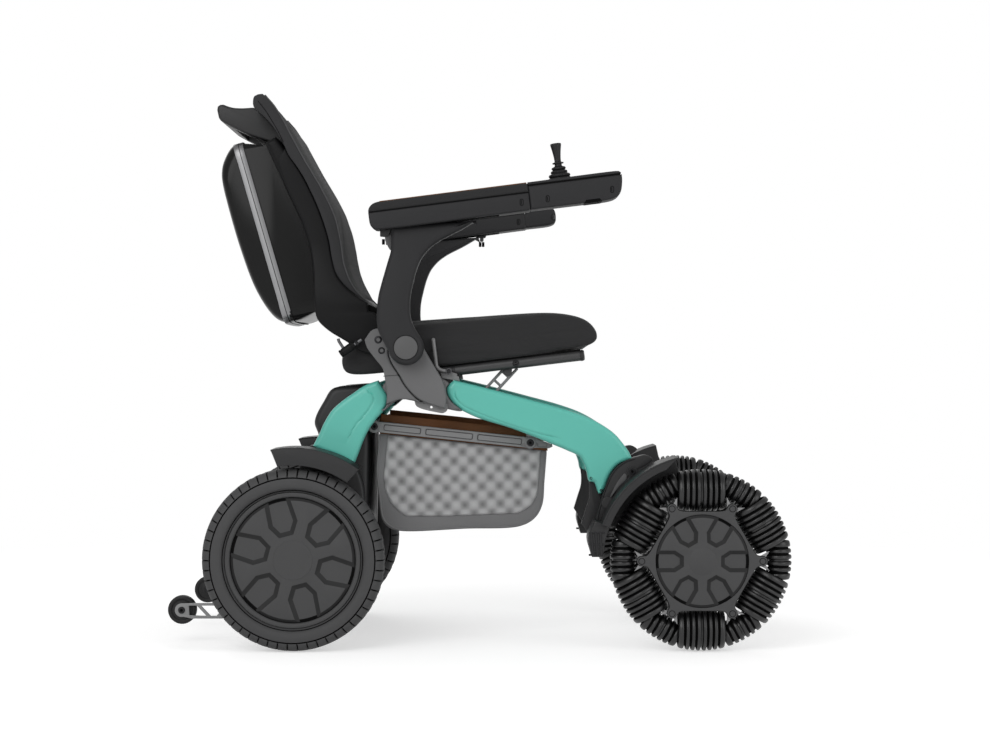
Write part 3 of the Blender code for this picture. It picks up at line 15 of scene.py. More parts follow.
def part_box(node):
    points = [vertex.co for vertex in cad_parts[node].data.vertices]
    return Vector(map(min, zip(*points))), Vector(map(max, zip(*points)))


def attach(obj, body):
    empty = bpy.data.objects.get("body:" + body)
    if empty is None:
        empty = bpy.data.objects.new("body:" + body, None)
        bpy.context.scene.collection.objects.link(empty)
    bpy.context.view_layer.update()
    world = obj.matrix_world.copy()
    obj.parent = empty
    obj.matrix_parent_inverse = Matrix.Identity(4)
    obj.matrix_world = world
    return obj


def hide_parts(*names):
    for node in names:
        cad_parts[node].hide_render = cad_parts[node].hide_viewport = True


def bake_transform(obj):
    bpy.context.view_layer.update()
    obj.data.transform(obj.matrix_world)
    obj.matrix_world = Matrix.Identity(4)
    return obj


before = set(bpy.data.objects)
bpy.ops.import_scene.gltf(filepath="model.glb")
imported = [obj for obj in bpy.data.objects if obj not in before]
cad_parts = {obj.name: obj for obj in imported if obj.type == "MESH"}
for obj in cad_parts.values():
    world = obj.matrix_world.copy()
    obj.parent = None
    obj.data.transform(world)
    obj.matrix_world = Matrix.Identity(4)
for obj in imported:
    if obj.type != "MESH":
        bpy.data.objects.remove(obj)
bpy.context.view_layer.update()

bl_info = {
    "name": "Power wheelchair looks",
    "version": (1, 0, 0),
    "blender": (4, 5, 0),
    "location": "View3D > Sidebar > Wheelchair",
    "description": "Dresses the packed frame of an all-terrain power wheelchair",
    "category": "Object",
}

MM = 0.001
SIDES = {"r": -1, "l": 1}

# Anchors in the side plane, as in the frame
REAR_AXLE = (-0.316, 0.159)
FRONT_AXLE = (0.392, 0.158)
BEAM_REAR = (-0.053, 0.447)
FORK_BOLT = (0.222, 0.275)
ARCH_TOP = (-0.160, 0.450)
ARCH_FOOT = (-0.249, 0.335)
ARM_PIVOT = (-0.121, 0.527)
BACK_PIVOT = (-0.170, 0.530)
SEAT_PIVOT = (-0.125, 0.458)
RAIL_REAR = (-0.181, 0.387)
RAIL_FRONT = (0.097, 0.358)
SEAT_RAIL_REAR = (-0.048, 0.4855)
SEAT_RAIL_FRONT = (0.190, 0.5140)
TIP_AXLE = (-0.5241, 0.060)
PAD_ORIGIN = (-0.172, 0.731)

# Planes, measured out from the middle of the chair
HALF_TRACK = 0.280
FRAME_IN = 0.187
FRAME_OUT = 0.227
CHEEK_OUT = 0.2495
ARM_IN = 0.250
ARM_OUT = 0.288
PAD_IN = 0.240
PAD_OUT = 0.308
PAD_MIDDLE = 0.274
FENDER_OUT = 0.318
RAIL_IN = 0.171
RAIL_OUT = 0.1865
BAG_HALF = 0.1705
SEAT_RAIL_Y = 0.195
EAR_IN = 0.2165
EAR_OUT = 0.2245
QUILT_SLOPE = 2.6
QUILT_PITCH = 0.0318
QUILT_PHASE = (4.86, 1.615)
PAD_SLOPE = radians(7.2)
LOCK_TILT = radians(35)


# Shader maths
class Value:
    """A number, colour or vector that a node gives. Arithmetic on it adds Math nodes."""

    def __init__(self, look, socket):
        self.look = look
        self.socket = socket

    def _math(self, operation, a, b):
        return self.look.node("ShaderNodeMath", {"operation": operation}, {0: a, 1: b})

    def __add__(self, other):
        return self._math("ADD", self, other)

    def __sub__(self, other):
        return self._math("SUBTRACT", self, other)

    def __rsub__(self, other):
        return self._math("SUBTRACT", other, self)

    def __mul__(self, other):
        return self._math("MULTIPLY", self, other)

    def __truediv__(self, other):
        return self._math("DIVIDE", self, other)

    def __pow__(self, other):
        return self._math("POWER", self, other)

    __radd__ = __add__
    __rmul__ = __mul__


class Look:
    """The node tree of a material with one Principled shader, or of the world."""

    def __init__(self, name, colour, roughness=0.5, metallic=0.0, world=False, **constants):
        self.name = name
        self.colour = (*colour[:3], 1.0)
        if world:
            self.material = bpy.data.worlds.new(name)
            bpy.context.scene.world = self.material
        else:
            self.material = bpy.data.materials.new("look_" + name)
            self.material.diffuse_color = self.colour
        self.material.use_nodes = True
        self.tree = self.material.node_tree
        self.shader = self.tree.nodes["Background" if world else "Principled BSDF"]
        if world:
            self.shader.inputs["Color"].default_value = self.colour
            return
        self.shader.inputs["Base Color"].default_value = self.colour
        self.shader.inputs["Roughness"].default_value = roughness
        self.shader.inputs["Metallic"].default_value = metallic
        self.shader.inputs["Specular IOR Level"].default_value = 0.3
        for socket, value in constants.items():
            self.shader.inputs[socket.replace("_", " ")].default_value = value

    def node(self, kind, settings=None, inputs=None, output=0):
        """A node of a kind: its settings are set first, then its sockets' values or links."""
        made = self.tree.nodes.new(kind)
        for key, value in (settings or {}).items():
            setattr(made, key, value)
        for key, value in (inputs or {}).items():
            if isinstance(value, Value):
                self.tree.links.new(value.socket, made.inputs[key])
            else:
                made.inputs[key].default_value = value
        return Value(self, made.outputs[output])

    def place(self, stretch=(1.0, 1.0, 1.0)):
        """Coordinates of the piece in metres, stretched."""
        spot = self.node("ShaderNodeTexCoord", output="Object")
        return self.node("ShaderNodeVectorMath", {"operation": "MULTIPLY"}, {0: spot, 1: stretch})

    def noise(self, scale, detail=2.0, stretch=(1.0, 1.0, 1.0)):
        """Soft noise from 0 to 1, with so many waves a metre."""
        return self.node("ShaderNodeTexNoise", None,
                         {"Vector": self.place(stretch), "Scale": scale, "Detail": detail})

    def waves(self, scale, axis, bend=0.0):
        """Parallel waves along an axis."""
        return self.node("ShaderNodeTexWave", {"wave_type": "BANDS", "bands_direction": axis},
                         {"Vector": self.place(), "Scale": scale, "Distortion": bend})

    def tint(self, mask, colour):
        """Turn the base colour towards another where the mask is 1."""
        mixed = self.node("ShaderNodeMix", {"data_type": "RGBA", "blend_type": "MIX"},
                          {0: mask, 6: self.colour, 7: (*colour[:3], 1.0)}, output=2)
        self.feed("Base Color", mixed)

    def along(self, x, y, z):
        """How far a point lies along a direction, in metres."""
        spot = self.node("ShaderNodeTexCoord", output="Object")
        return self.node("ShaderNodeVectorMath", {"operation": "DOT_PRODUCT"}, {0: spot, 1: (x, y, z)}, output=1)

    def feed(self, socket, value):
        self.tree.links.new(value.socket, self.shader.inputs[socket])

    def grain(self, height, strength, distance):
        """Raise the surface by a height of so many metres."""
        bump = self.node("ShaderNodeBump", None, {"Strength": strength, "Distance": distance, "Height": height})
        self.feed("Normal", bump)


def shade(colour, factor):
    """A colour made lighter or darker."""
    return tuple(min(1.0, channel * factor) for channel in colour[:3])


def moulded(name, colour, roughness, cell=2600.0, depth=0.00006, **constants):
    """Moulded plastic: a fine etched grain, with a slow change in gloss."""
    look = Look(name, colour, roughness, **constants)
    slow = look.noise(9.0)
    look.feed("Roughness", slow * 0.14 + (roughness - 0.07))
    look.tint(look.noise(26.0, 4.0) * 0.55, shade(colour, 1.22))
    look.grain(look.noise(cell, 2.0), 0.55, depth)
    return look


def painted(name, colour, roughness, flake=0.00002, **constants):
    """Sprayed enamel: almost flat, with a trace of orange peel under a clear coat."""
    look = Look(name, colour, roughness, **constants)
    look.tint(look.noise(5.0, 3.0) * 0.5, shade(colour, 0.90))
    look.feed("Roughness", look.noise(60.0, 3.0) * 0.10 + (roughness - 0.05))
    look.grain(look.noise(900.0, 1.0), 0.35, flake)
    return look


def cast(name, colour, roughness, **constants):
    """A powder-coated casting: sandy grain and slow mottling."""
    look = Look(name, colour, roughness, **constants)
    look.tint(look.noise(14.0, 5.0) * 0.8, shade(colour, 1.18))
    look.feed("Roughness", look.noise(120.0, 3.0) * 0.16 + (roughness - 0.08))
    look.grain(look.noise(1500.0, 3.0), 0.6, 0.00008)
    return look


def rubber(name, colour, roughness, dust, **constants):
    """Rubber: mould bloom in slow patches, and a dull fine grain."""
    look = Look(name, colour, roughness, **constants)
    bloom = look.noise(7.0, 5.0) * look.noise(60.0, 3.0)
    look.tint(bloom * 1.4, shade(colour, dust))
    look.feed("Roughness", look.noise(30.0, 4.0) * 0.18 + (roughness - 0.09))
    look.grain(look.noise(1100.0, 4.0), 0.5, 0.00012)
    return look


def woven(name, colour, roughness, threads=520.0, lift=0.00018, **constants):
    """Close-woven cover cloth: crossed threads, with soft rubbed patches."""
    look = Look(name, colour, roughness, **constants)
    warp = look.waves(threads, "X", 0.6)
    weft = look.waves(threads, "Y", 0.6)
    rise = look.waves(threads, "Z", 0.6)
    cloth = (warp * weft + weft * rise + rise * warp) / 3.0
    rub = look.noise(11.0, 5.0)
    look.tint(rub * 0.5 + cloth * 0.4, shade(colour, 1.6))
    look.feed("Roughness", rub * 0.16 + (roughness - 0.08))
    look.grain(cloth + look.noise(1700.0, 2.0) * 0.5, 0.6, lift)
    return look


def brushed(name, colour, roughness, **constants):
    """Metal with a short drawn grain."""
    look = Look(name, colour, roughness, 1.0, **constants)
    streaks = look.noise(90.0, 4.0, (1.0, 22.0, 6.0))
    look.feed("Roughness", streaks * 0.20 + (roughness - 0.10))
    look.tint(streaks * 0.5, shade(colour, 1.25))
    look.grain(streaks, 0.3, 0.00003)
    return look


def netting(name, colour, dark, roughness, pitch):
    """Quilted spacer mesh: fine round openings, and painted highlight on the crowns with painted shade in the stitched
    valleys.
    """
    look = Look(name, colour, roughness)
    cells = look.node("ShaderNodeTexVoronoi", {"feature": "F1"},
                      {"Vector": look.place(), "Scale": 620.0, "Randomness": 0.25})
    slope, turns = radians(QUILT_SLOPE), 2 * pi / pitch
    rows = [look.node("ShaderNodeMath", {"operation": "COSINE"}, {0: look.along(x * turns, 0.0, z * turns) + phase})
            for x, z, phase in ((cos(slope), sin(slope), QUILT_PHASE[0]), (-sin(slope), cos(slope), QUILT_PHASE[1]))]
    # The quilting's lattice lightens the crowns and darkens the valleys as painted highlight and shade; the darkening
    # round the openings is the mesh's own pattern.
    crown = rows[0] * rows[1] * 0.5 + 0.5
    look.tint((1.0 - crown) ** 1.4 * 0.80 + (1.0 - cells * 1.2) * 0.18, dark)
    look.grain(cells, 0.7, 0.0004)
    return look


def hide(name, colour, roughness):
    """Leather with a pebbled grain and darker creases."""
    look = Look(name, colour, roughness)
    pebble = look.node("ShaderNodeTexVoronoi", {"feature": "DISTANCE_TO_EDGE"},
                       {"Vector": look.place(), "Scale": 700.0})
    look.tint(look.noise(18.0, 5.0) * 0.8, shade(colour, 0.55))
    look.feed("Roughness", look.noise(70.0, 3.0) * 0.2 + (roughness - 0.1))
    look.grain(pebble, 0.6, 0.0003)
    return look


def gloss(name, colour, roughness):
    """A polished shell under a clear coat."""
    look = Look(name, colour, roughness, Coat_Weight=0.20, Coat_Roughness=0.14, Specular_IOR_Level=0.05)
    look.tint(look.noise(8.0, 3.0) * 0.5, shade(colour, 1.3))
    look.feed("Roughness", look.noise(40.0, 3.0) * 0.08 + (roughness - 0.04))
    look.grain(look.noise(700.0, 2.0), 0.25, 0.00002)
    return look


MADE = {}


def make_finishes(colours):
    """Every finish on the chair, from the colours in the settings."""
    c = colours
    looks = [
        rubber("tyre_rubber", c.tyre, 0.68, 1.3),
        rubber("roller_rubber", c.roller, 0.36, 1.5, Specular_IOR_Level=0.55),
        rubber("soft_rubber", shade(c.roller, 1.6), 0.5, 1.4),
        moulded("wheel_plastic", c.wheel, 0.58, 1900.0, 0.00008),
        # Darker copy of the wheel plastic: painted shade on the pocket walls.
        moulded("wheel_painted_shade", shade(c.wheel, 0.32), 0.66, 1900.0, 0.00008),
        painted("teal_paint", c.teal, 0.40, Coat_Weight=0.25, Coat_Roughness=0.2),
        cast("cast_grey", c.casting, 0.50),
        painted("satin_grey", c.satin, 0.46, 0.00003, metallic=0.2),
        painted("recess_grey", shade(c.satin, 1.10), 0.5, 0.00003),
        painted("web_grey", shade(c.satin, 1.25), 0.42, 0.00003, metallic=0.3),
        moulded("black_plastic", c.plastic, 0.48, Specular_IOR_Level=0.38),
        # Lighter grey plastic: the own colour of arms, shell and controls, and painted highlight on the front fender's
        # rib, lip and flap ribs.
        moulded("grey_plastic_and_edge_highlight", shade(c.plastic, 1.70), 0.54, 2300.0, 0.00005, Specular_IOR_Level=0.18),
        # Darker copy of the black plastic: painted shade on the shell's set-back middle; the ears and the lock's grip
        # take it too.
        moulded("dark_plastic_and_shell_shade", shade(c.plastic, 0.48), 0.46, Specular_IOR_Level=0.12),
        moulded("cap_grey", c.cap, 0.58),
        # Near black: the own colour of joints, knobs and lamps, and painted shade in slits, grooves, sockets and recess
        # walls.
        moulded("black_and_painted_shade", (0.002, 0.002, 0.002), 0.85, Specular_IOR_Level=0.1),
        woven("seat_fabric", c.fabric, 0.85, Sheen_Weight=0.05, Sheen_Roughness=0.5),
        # Light copy of the seat fabric: painted highlight along the back shell's seam edge.
        woven("seam_highlight", shade(c.fabric, 3.2), 0.72, 900.0, 0.0001),
        painted("black_tube", c.tube, 0.40, Specular_IOR_Level=0.5),
        gloss("case_shell", c.case, 0.30),
        netting("bag_mesh", c.mesh, shade(c.mesh, 0.30), 0.85, QUILT_PITCH),
        woven("bag_trim", c.trim, 0.78, 760.0, 0.0002),
        brushed("dark_steel", c.steel, 0.38),
        brushed("bolt_black", shade(c.steel, 0.30), 0.42),
        brushed("band_silver", c.silver, 0.42),
        hide("strap_brown", c.leather, 0.60),
    ]
    for look in looks:
        MADE[look.name] = look.material


# Lines in the side plane
def shift(anchor, points):
    """Points given in millimetres from an anchor, in metres."""
    return [(anchor[0] + x * MM, anchor[1] + z * MM) for x, z in points]


def at_mm(points):
    """Points given in millimetres, in metres."""
    return shift((0.0, 0.0), points)


def chord(start, end, points):
    """Points given as a share of the run from start to end and a height over it in millimetres."""
    run = Vector((end[0] - start[0], end[1] - start[1]))
    up = Vector((-run.y, run.x)).normalized()
    return [tuple(Vector(start) + run * share + up * (height * MM)) for share, height in points]


def arc(centre, radius, start_deg, end_deg, count):
    """Points along an arc, from start to end."""
    step = (end_deg - start_deg) / (count - 1)
    angles = [radians(start_deg + step * i) for i in range(count)]
    return [(centre[0] + radius * cos(a), centre[1] + radius * sin(a)) for a in angles]


def tilted(origin, angle, points):
    """Points in metres along and across a slope, brought to the side plane."""
    c, s = cos(angle), sin(angle)
    return [(origin[0] + u * c - v * s, origin[1] + u * s + v * c) for u, v in points]


def beside(points, gap):
    """An open line moved to its left by a gap."""
    moved = []
    for i, point in enumerate(points):
        before = Vector(points[max(i - 1, 0)])
        after = Vector(points[min(i + 1, len(points) - 1)])
        run = (after - before).normalized()
        moved.append((point[0] - run.y * gap, point[1] + run.x * gap))
    return moved


def curve_point(p0, p1, p2, p3, t):
    """A point between p1 and p2 on the centripetal curve through four points."""
    knots = [0.0]
    for a, b in ((p0, p1), (p1, p2), (p2, p3)):
        knots.append(knots[-1] + max((b - a).length, 1e-9) ** 0.5)
    t = knots[1] + (knots[2] - knots[1]) * t

    def lerp(a, b, ta, tb):
        return a * ((tb - t) / (tb - ta)) + b * ((t - ta) / (tb - ta))

    a1 = lerp(p0, p1, knots[0], knots[1])
    a2 = lerp(p1, p2, knots[1], knots[2])
    a3 = lerp(p2, p3, knots[2], knots[3])
    return lerp(lerp(a1, a2, knots[0], knots[2]), lerp(a2, a3, knots[1], knots[3]), knots[1], knots[2])


def smooth_line(points, step=0.004):
    """A smooth open line through the points, in two or three dimensions."""
    pts = [Vector(p) for p in points]
    out = []
    for i in range(len(pts) - 1):
        p1, p2 = pts[i], pts[i + 1]
        p0 = pts[i - 1] if i else p1 * 2 - p2
        p3 = pts[i + 2] if i + 2 < len(pts) else p2 * 2 - p1
        count = max(1, round((p2 - p1).length / step))
        out += [curve_point(p0, p1, p2, p3, k / count) for k in range(count)]
    return [tuple(p) for p in out + [pts[-1]]]


def smooth_loop(points, step=0.004, corners=()):
    """A smooth closed line through the points, kept sharp at the corners numbered."""
    count = len(points)
    if corners:
        marks = sorted(corners)
        out = []
        for k, first in enumerate(marks):
            last = marks[(k + 1) % len(marks)]
            span = (last - first) % count or count
            out += smooth_line([points[(first + i) % count] for i in range(span + 1)], step)[:-1]
        return out
    pts = [Vector(p) for p in points]
    out = []
    for i in range(count):
        p0, p1, p2, p3 = (pts[(i + k) % count] for k in (-1, 0, 1, 2))
        parts = max(1, round((p2 - p1).length / step))
        out += [tuple(curve_point(p0, p1, p2, p3, k / parts)) for k in range(parts)]
    return out


def inset(loop, gap):
    """A closed loop moved inwards by a gap. Where it is too narrow, points stop at its middle."""
    pts = np.array(loop, float)
    ahead = np.roll(pts, -1, 0) - pts
    area = np.sum(pts[:, 0] * np.roll(pts[:, 1], -1) - pts[:, 1] * np.roll(pts[:, 0], -1))
    normal = np.stack([-ahead[:, 1], ahead[:, 0]], 1) * np.sign(area)
    normal /= np.maximum(np.linalg.norm(normal, axis=1, keepdims=True), 1e-12)
    middle = normal + np.roll(normal, 1, 0)
    middle /= np.maximum(np.linalg.norm(middle, axis=1, keepdims=True), 1e-9)
    move = middle * (gap / np.maximum(np.sum(middle * normal, 1), 0.45))[:, None]
    want = abs(gap)
    factor = np.ones(len(pts))
    for _ in range(6):
        away = line_distance(pts + move * factor[:, None], loop, True)[0]
        short = away < want * factor * 0.93
        if not short.any():
            break
        factor[short] *= 0.62
    moved = pts + move * factor[:, None]
    late = np.nonzero(factor < 1.0)[0]
    for _ in range(10 if len(late) else 0):
        away, _, near = line_distance(moved[late], loop, True)
        push = (moved[late] - near) / np.maximum(away, 1e-9)[:, None]
        moved[late] += push * np.clip((want - away) * 0.5, 0.0, want * 0.15)[:, None]
    return [tuple(p) for p in moved]


def clockwise(loop):
    """A closed loop run clockwise, as a hole is."""
    pts = np.array(loop)
    turn = np.sum(pts[:, 0] * np.roll(pts[:, 1], -1) - pts[:, 1] * np.roll(pts[:, 0], -1))
    return list(reversed(loop)) if turn > 0 else loop


def firm(points, shares):
    """More points on each side of a closed loop, so that a smooth line keeps its corners tight."""
    return [tuple(Vector(a).lerp(Vector(b), t)) for a, b in zip(points, points[1:] + points[:1]) for t in shares]


def spread(line, count, ends=True):
    """So many points along a line, closer together near its ends."""
    pts = np.array(line, float)
    walk = np.concatenate([[0.0], np.cumsum(np.linalg.norm(np.diff(pts, axis=0), axis=1))])
    share = np.linspace(0.0, 1.0, count)
    if ends:
        share = 0.35 * share + 0.65 * (0.5 - 0.5 * np.cos(share * pi))
    place = share * walk[-1]
    return np.stack([np.interp(place, walk, pts[:, k]) for k in range(pts.shape[1])], 1)


def line_distance(points, line, closed=False):
    """How far each point lies from a line, with the share along it and the nearest place on it."""
    line = np.array(line, float)
    if closed:
        line = np.vstack([line, line[:1]])
    best = np.full(len(points), 1e9)
    share = np.zeros(len(points))
    place = np.zeros((len(points), line.shape[1]))
    for k in range(len(line) - 1):
        a, b = line[k], line[k + 1]
        run = b - a
        t = np.clip(((points - a) @ run) / max(run @ run, 1e-12), 0.0, 1.0)
        spot = a + t[:, None] * run
        gap = np.linalg.norm(points - spot, axis=1)
        near = gap < best
        best[near] = gap[near]
        share[near] = (k + t[near]) / (len(line) - 1)
        place[near] = spot[near]
    return best, share, place


# Solid pieces
def add(name, bm, finish, smooth=38, second=None):
    """A closed mesh turned outwards, as an object with its finish.

    second names another finish, for the faces that a test on their middle picks out.
    """
    bmesh.ops.recalc_face_normals(bm, faces=bm.faces)
    if bm.calc_volume(signed=True) < 0:
        bmesh.ops.reverse_faces(bm, faces=bm.faces)
    if second:
        for face in bm.faces:
            face.material_index = int(second[1](face.calc_center_median()))
    mesh = bpy.data.meshes.new(name)
    bm.to_mesh(mesh)
    bm.free()
    for look in [finish] + ([second[0]] if second else []):
        mesh.materials.append(MADE[look])
    mesh.shade_smooth()
    mesh.set_sharp_from_angle(angle=radians(smooth))
    obj = bpy.data.objects.new(name, mesh)
    bpy.context.scene.collection.objects.link(obj)
    obj["finish"] = finish
    return obj


def skin(name, rings, finish, around=False, smooth=38, second=None):
    """A skin over closed outlines with equal counts, capped, or joined end to end."""
    bm = bmesh.new()
    rows = [[bm.verts.new(tuple(p)) for p in ring] for ring in rings]
    pairs = list(zip(rows, rows[1:])) + ([(rows[-1], rows[0])] if around else [])
    for low, high in pairs:
        for i in range(len(low)):
            j = (i + 1) % len(low)
            bm.faces.new((low[i], low[j], high[j], high[i]))
    if not around:
        bm.faces.new(list(reversed(rows[0])))
        bm.faces.new(rows[-1])
    return add(name, bm, finish, smooth, second)


def edge_steps(radius):
    """The quarter round of an edge in four steps, as (inset, drop) from the rim to the face."""
    return [(radius * (1 - cos(pi / 8 * k)), radius * (1 - sin(pi / 8 * k))) for k in range(5)]


def plate(name, outline, y_in, y_out, finish, edge=0.002, back=None, holes=(), smooth=38):
    """A flat outline carried across the chair, with rounded edges and any holes."""
    back = edge if back is None else back
    way = 1.0 if y_out > y_in else -1.0
    near = [(gap, y_out - way * drop) for gap, drop in edge_steps(edge)] if edge else [(0.0, y_out)]
    far = [(gap, y_in + way * drop) for gap, drop in edge_steps(back)] if back else [(0.0, y_in)]
    bm = bmesh.new()
    loops = [(outline, 1.0)] + [(hole, -1.0) for hole in holes]
    ends = []
    for loop, sign in loops:
        rows = []
        rims = {}
        for radius in {edge, back} - {0.0}:
            rims[radius] = inset(loop, radius * sign)
        for radius, steps in ((back, list(reversed(far))), (edge, near)):
            for gap, y in steps:
                ring = loop
                if gap:
                    part = gap / radius
                    ring = [(x + (u - x) * part, z + (v - z) * part) for (x, z), (u, v) in zip(loop, rims[radius])]
                rows.append([bm.verts.new((x, y, z)) for x, z in ring])
        for first, second in zip(rows, rows[1:]):
            for i in range(len(first)):
                j = (i + 1) % len(first)
                bm.faces.new((first[i], first[j], second[j], second[i]))
        ends.append((rows[0], rows[-1]))
    for k in (0, 1):
        rings = [pair[k] for pair in ends]
        if len(rings) == 1:
            bm.faces.new(rings[0])
            continue
        flat = [v for ring in rings for v in ring]
        for tri in tessellate_polygon([[Vector((v.co.x, v.co.z, 0.0)) for v in ring] for ring in rings]):
            if len(set(tri)) == 3:
                bm.faces.new([flat[i] for i in tri])
    return add(name, bm, finish, smooth)


def axis_frame(axis, out=None):
    """A turn that brings +Z to an axis, and +X to out."""
    z_axis = Vector(axis).normalized()
    x_axis = Vector(out) if out is not None else z_axis.orthogonal()
    x_axis = (x_axis - z_axis * x_axis.dot(z_axis)).normalized()
    return Matrix((x_axis, z_axis.cross(x_axis), z_axis)).transposed()


def turned(name, profile, origin, axis, finish, count=64, around=False, out=None, smooth=38, second=None):
    """A turned piece from (radius, height) points. A radius of 0 closes an end."""
    turn = axis_frame(axis, out)
    bm = bmesh.new()
    columns = []
    for r, h in profile:
        if r <= 1e-7:
            columns.append([bm.verts.new(Vector(origin) + turn @ Vector((0, 0, h)))] * count)
            continue
        columns.append([bm.verts.new(Vector(origin) + turn @ Vector((r * cos(2 * pi * k / count),
                                                                     r * sin(2 * pi * k / count), h)))
                        for k in range(count)])
    pairs = list(zip(columns, columns[1:])) + ([(columns[-1], columns[0])] if around else [])
    for low, high in pairs:
        for i in range(count):
            j = (i + 1) % count
            face = []
            for vert in (low[i], low[j], high[j], high[i]):
                if vert not in face:
                    face.append(vert)
            if len(face) > 2:
                bm.faces.new(face)
    return add(name, bm, finish, smooth, second)


def rod(name, start, end, radius, finish, count=24, edge=0.0006):
    """A round bar between two points, with eased ends."""
    start, end = Vector(start), Vector(end)
    length = (end - start).length
    profile = [(0, 0), (radius - edge, 0), (radius, edge), (radius, length - edge), (radius - edge, length),
               (0, length)]
    return turned(name, profile, start, end - start, finish, count)


def across(name, centre, y_a, y_b, radius, finish, count=40):
    """A round bar across the chair."""
    return rod(name, (centre[0], y_a, centre[1]), (centre[0], y_b, centre[1]), radius, finish, count, 0.0008)


def tube(name, points, radius, finish, count=20, step=0.004, bent=True):
    """A bent round bar through points, with flat ends."""
    line = smooth_line(points, step) if bent else points
    line = [Vector(p) for p in line]
    rings = []
    across_dir = None
    for i, place in enumerate(line):
        run = (line[min(i + 1, len(line) - 1)] - line[max(i - 1, 0)]).normalized()
        if across_dir is None:
            across_dir = run.orthogonal().normalized()
        across_dir = (across_dir - run * across_dir.dot(run)).normalized()
        up = run.cross(across_dir)
        rings.append([place + across_dir * (radius * cos(2 * pi * k / count)) + up * (radius * sin(2 * pi * k / count))
                      for k in range(count)])
    return skin(name, rings, finish)


def block(name, low, high, finish, edge=0.0015):
    """A box with rounded edges."""
    bm = bmesh.new()
    size = Vector(high) - Vector(low)
    centre = (Vector(high) + Vector(low)) / 2
    bmesh.ops.create_cube(bm, size=1.0, matrix=Matrix.Translation(centre) @ Matrix.Diagonal((*size, 1.0)))
    bmesh.ops.bevel(bm, geom=list(bm.edges), offset=edge, segments=3, profile=0.5, affect="EDGES")
    return add(name, bm, finish)


def socket_bolt(name, place, axis, radius, proud=0.0022):
    """A round bolt head with a six-sided socket, whose hollow is near black as painted shade."""
    origin = Vector(place)
    way = Vector(axis).normalized()
    rim = radius * 0.50
    head = turned(name, [(0, -0.002), (radius * 0.94, -0.002), (radius, -0.0014), (radius, proud * 0.62),
                         (radius * 0.84, proud), (rim * 1.12, proud), (rim, proud * 0.80), (rim * 0.98, proud * 0.25),
                         (0, proud * 0.25)], origin, way, "bolt_black", 30)
    # The socket is a near-black hexagon: painted shade in its hollow.
    socket = turned(name + "_socket", [(0, proud * 0.2), (rim * 0.86, proud * 0.2), (rim * 0.86, proud * 0.34),
                                       (0, proud * 0.34)], origin, way, "black_and_painted_shade", 6)
    return merge(head, socket)


def merge(first, *others):
    """Join meshes into the first object, keeping each one's finish."""
    mesh = first.data
    bm = bmesh.new()
    bm.from_mesh(mesh)
    for other in others:
        other.data.transform(first.matrix_world.inverted() @ other.matrix_world)
        offset = []
        for mat in other.data.materials:
            if mat.name not in [m.name for m in mesh.materials]:
                mesh.materials.append(mat)
            offset.append([m.name for m in mesh.materials].index(mat.name))
        start = len(bm.faces)
        bm.from_mesh(other.data)
        bm.faces.ensure_lookup_table()
        for face in bm.faces[start:]:
            face.material_index = offset[face.material_index]
        bpy.data.objects.remove(other, do_unlink=True)
    bm.to_mesh(mesh)
    bm.free()
    return first


def mount(body, *objects, node=None):
    """Let pieces ride on a body. The first stands for the CAD node, if one is named."""
    for obj in objects:
        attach(obj, body)
    if node:
        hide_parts(node)
    return objects[0]


def patch(name, left, top, right, bottom, y_in, y_out, finish, edge=0.006, relief=None, size=(90, 30)):
    """A body between four side lines, as two gridded faces with rounded edges.

    left and right run from bottom to top, bottom and top from left to right.
    relief gives how far the outer face stands out at each point, in metres.
    """
    nu, nv = size
    lo, hi = spread(bottom, nu), spread(top, nu)
    le, ri = spread(left, nv), spread(right, nv)
    u = np.linspace(0, 1, nu)[:, None, None]
    v = np.linspace(0, 1, nv)[None, :, None]
    grid = ((1 - v) * lo[:, None] + v * hi[:, None] + (1 - u) * le[None] + u * ri[None]
            - (1 - u) * (1 - v) * lo[0] - u * (1 - v) * lo[-1] - (1 - u) * v * hi[0] - u * v * hi[-1])
    rim = np.vstack([lo, ri[1:], hi[::-1][1:], le[::-1][1:-1]])
    flat = grid.reshape(-1, 2)
    depth = line_distance(flat, rim, True)[0]
    t = np.clip(depth / edge, 0.0, 1.0)
    drop = edge * (1.0 - np.sqrt(np.maximum(1.0 - (1.0 - t) ** 2, 0.0)))
    way = 1.0 if y_out > y_in else -1.0
    rise = relief(flat) * np.clip(depth / (edge * 1.5), 0.0, 1.0) if relief else 0.0
    outer = y_out - way * drop + way * rise
    inner = y_in + way * drop
    bm = bmesh.new()
    sheets = []
    for ys in (outer, inner):
        sheets.append([[bm.verts.new((flat[i * nv + j][0], ys[i * nv + j], flat[i * nv + j][1]))
                        for j in range(nv)] for i in range(nu)])
    for sheet in sheets:
        for i in range(nu - 1):
            for j in range(nv - 1):
                bm.faces.new((sheet[i][j], sheet[i + 1][j], sheet[i + 1][j + 1], sheet[i][j + 1]))
    loops = []
    for sheet in sheets:
        loops.append([sheet[i][0] for i in range(nu)] + [sheet[-1][j] for j in range(1, nv)]
                     + [sheet[i][-1] for i in range(nu - 2, -1, -1)] + [sheet[0][j] for j in range(nv - 2, 0, -1)])
    for i in range(len(loops[0])):
        j = (i + 1) % len(loops[0])
        bm.faces.new((loops[0][i], loops[0][j], loops[1][j], loops[1][i]))
    return add(name, bm, finish, 50)


# Wheels
LARGE_PITCH = 0.1205
SMALL_PITCH = 0.1354
STAR_TIP = 0.1045


def roller_place(k):
    """Whether roller k of a front wheel is large, its distance from the axle, and the ways out and along."""
    a = radians(30 * k)
    large = k % 2 == 1
    return large, LARGE_PITCH if large else SMALL_PITCH, Vector((cos(a), 0, sin(a))), Vector((-sin(a), 0, cos(a)))


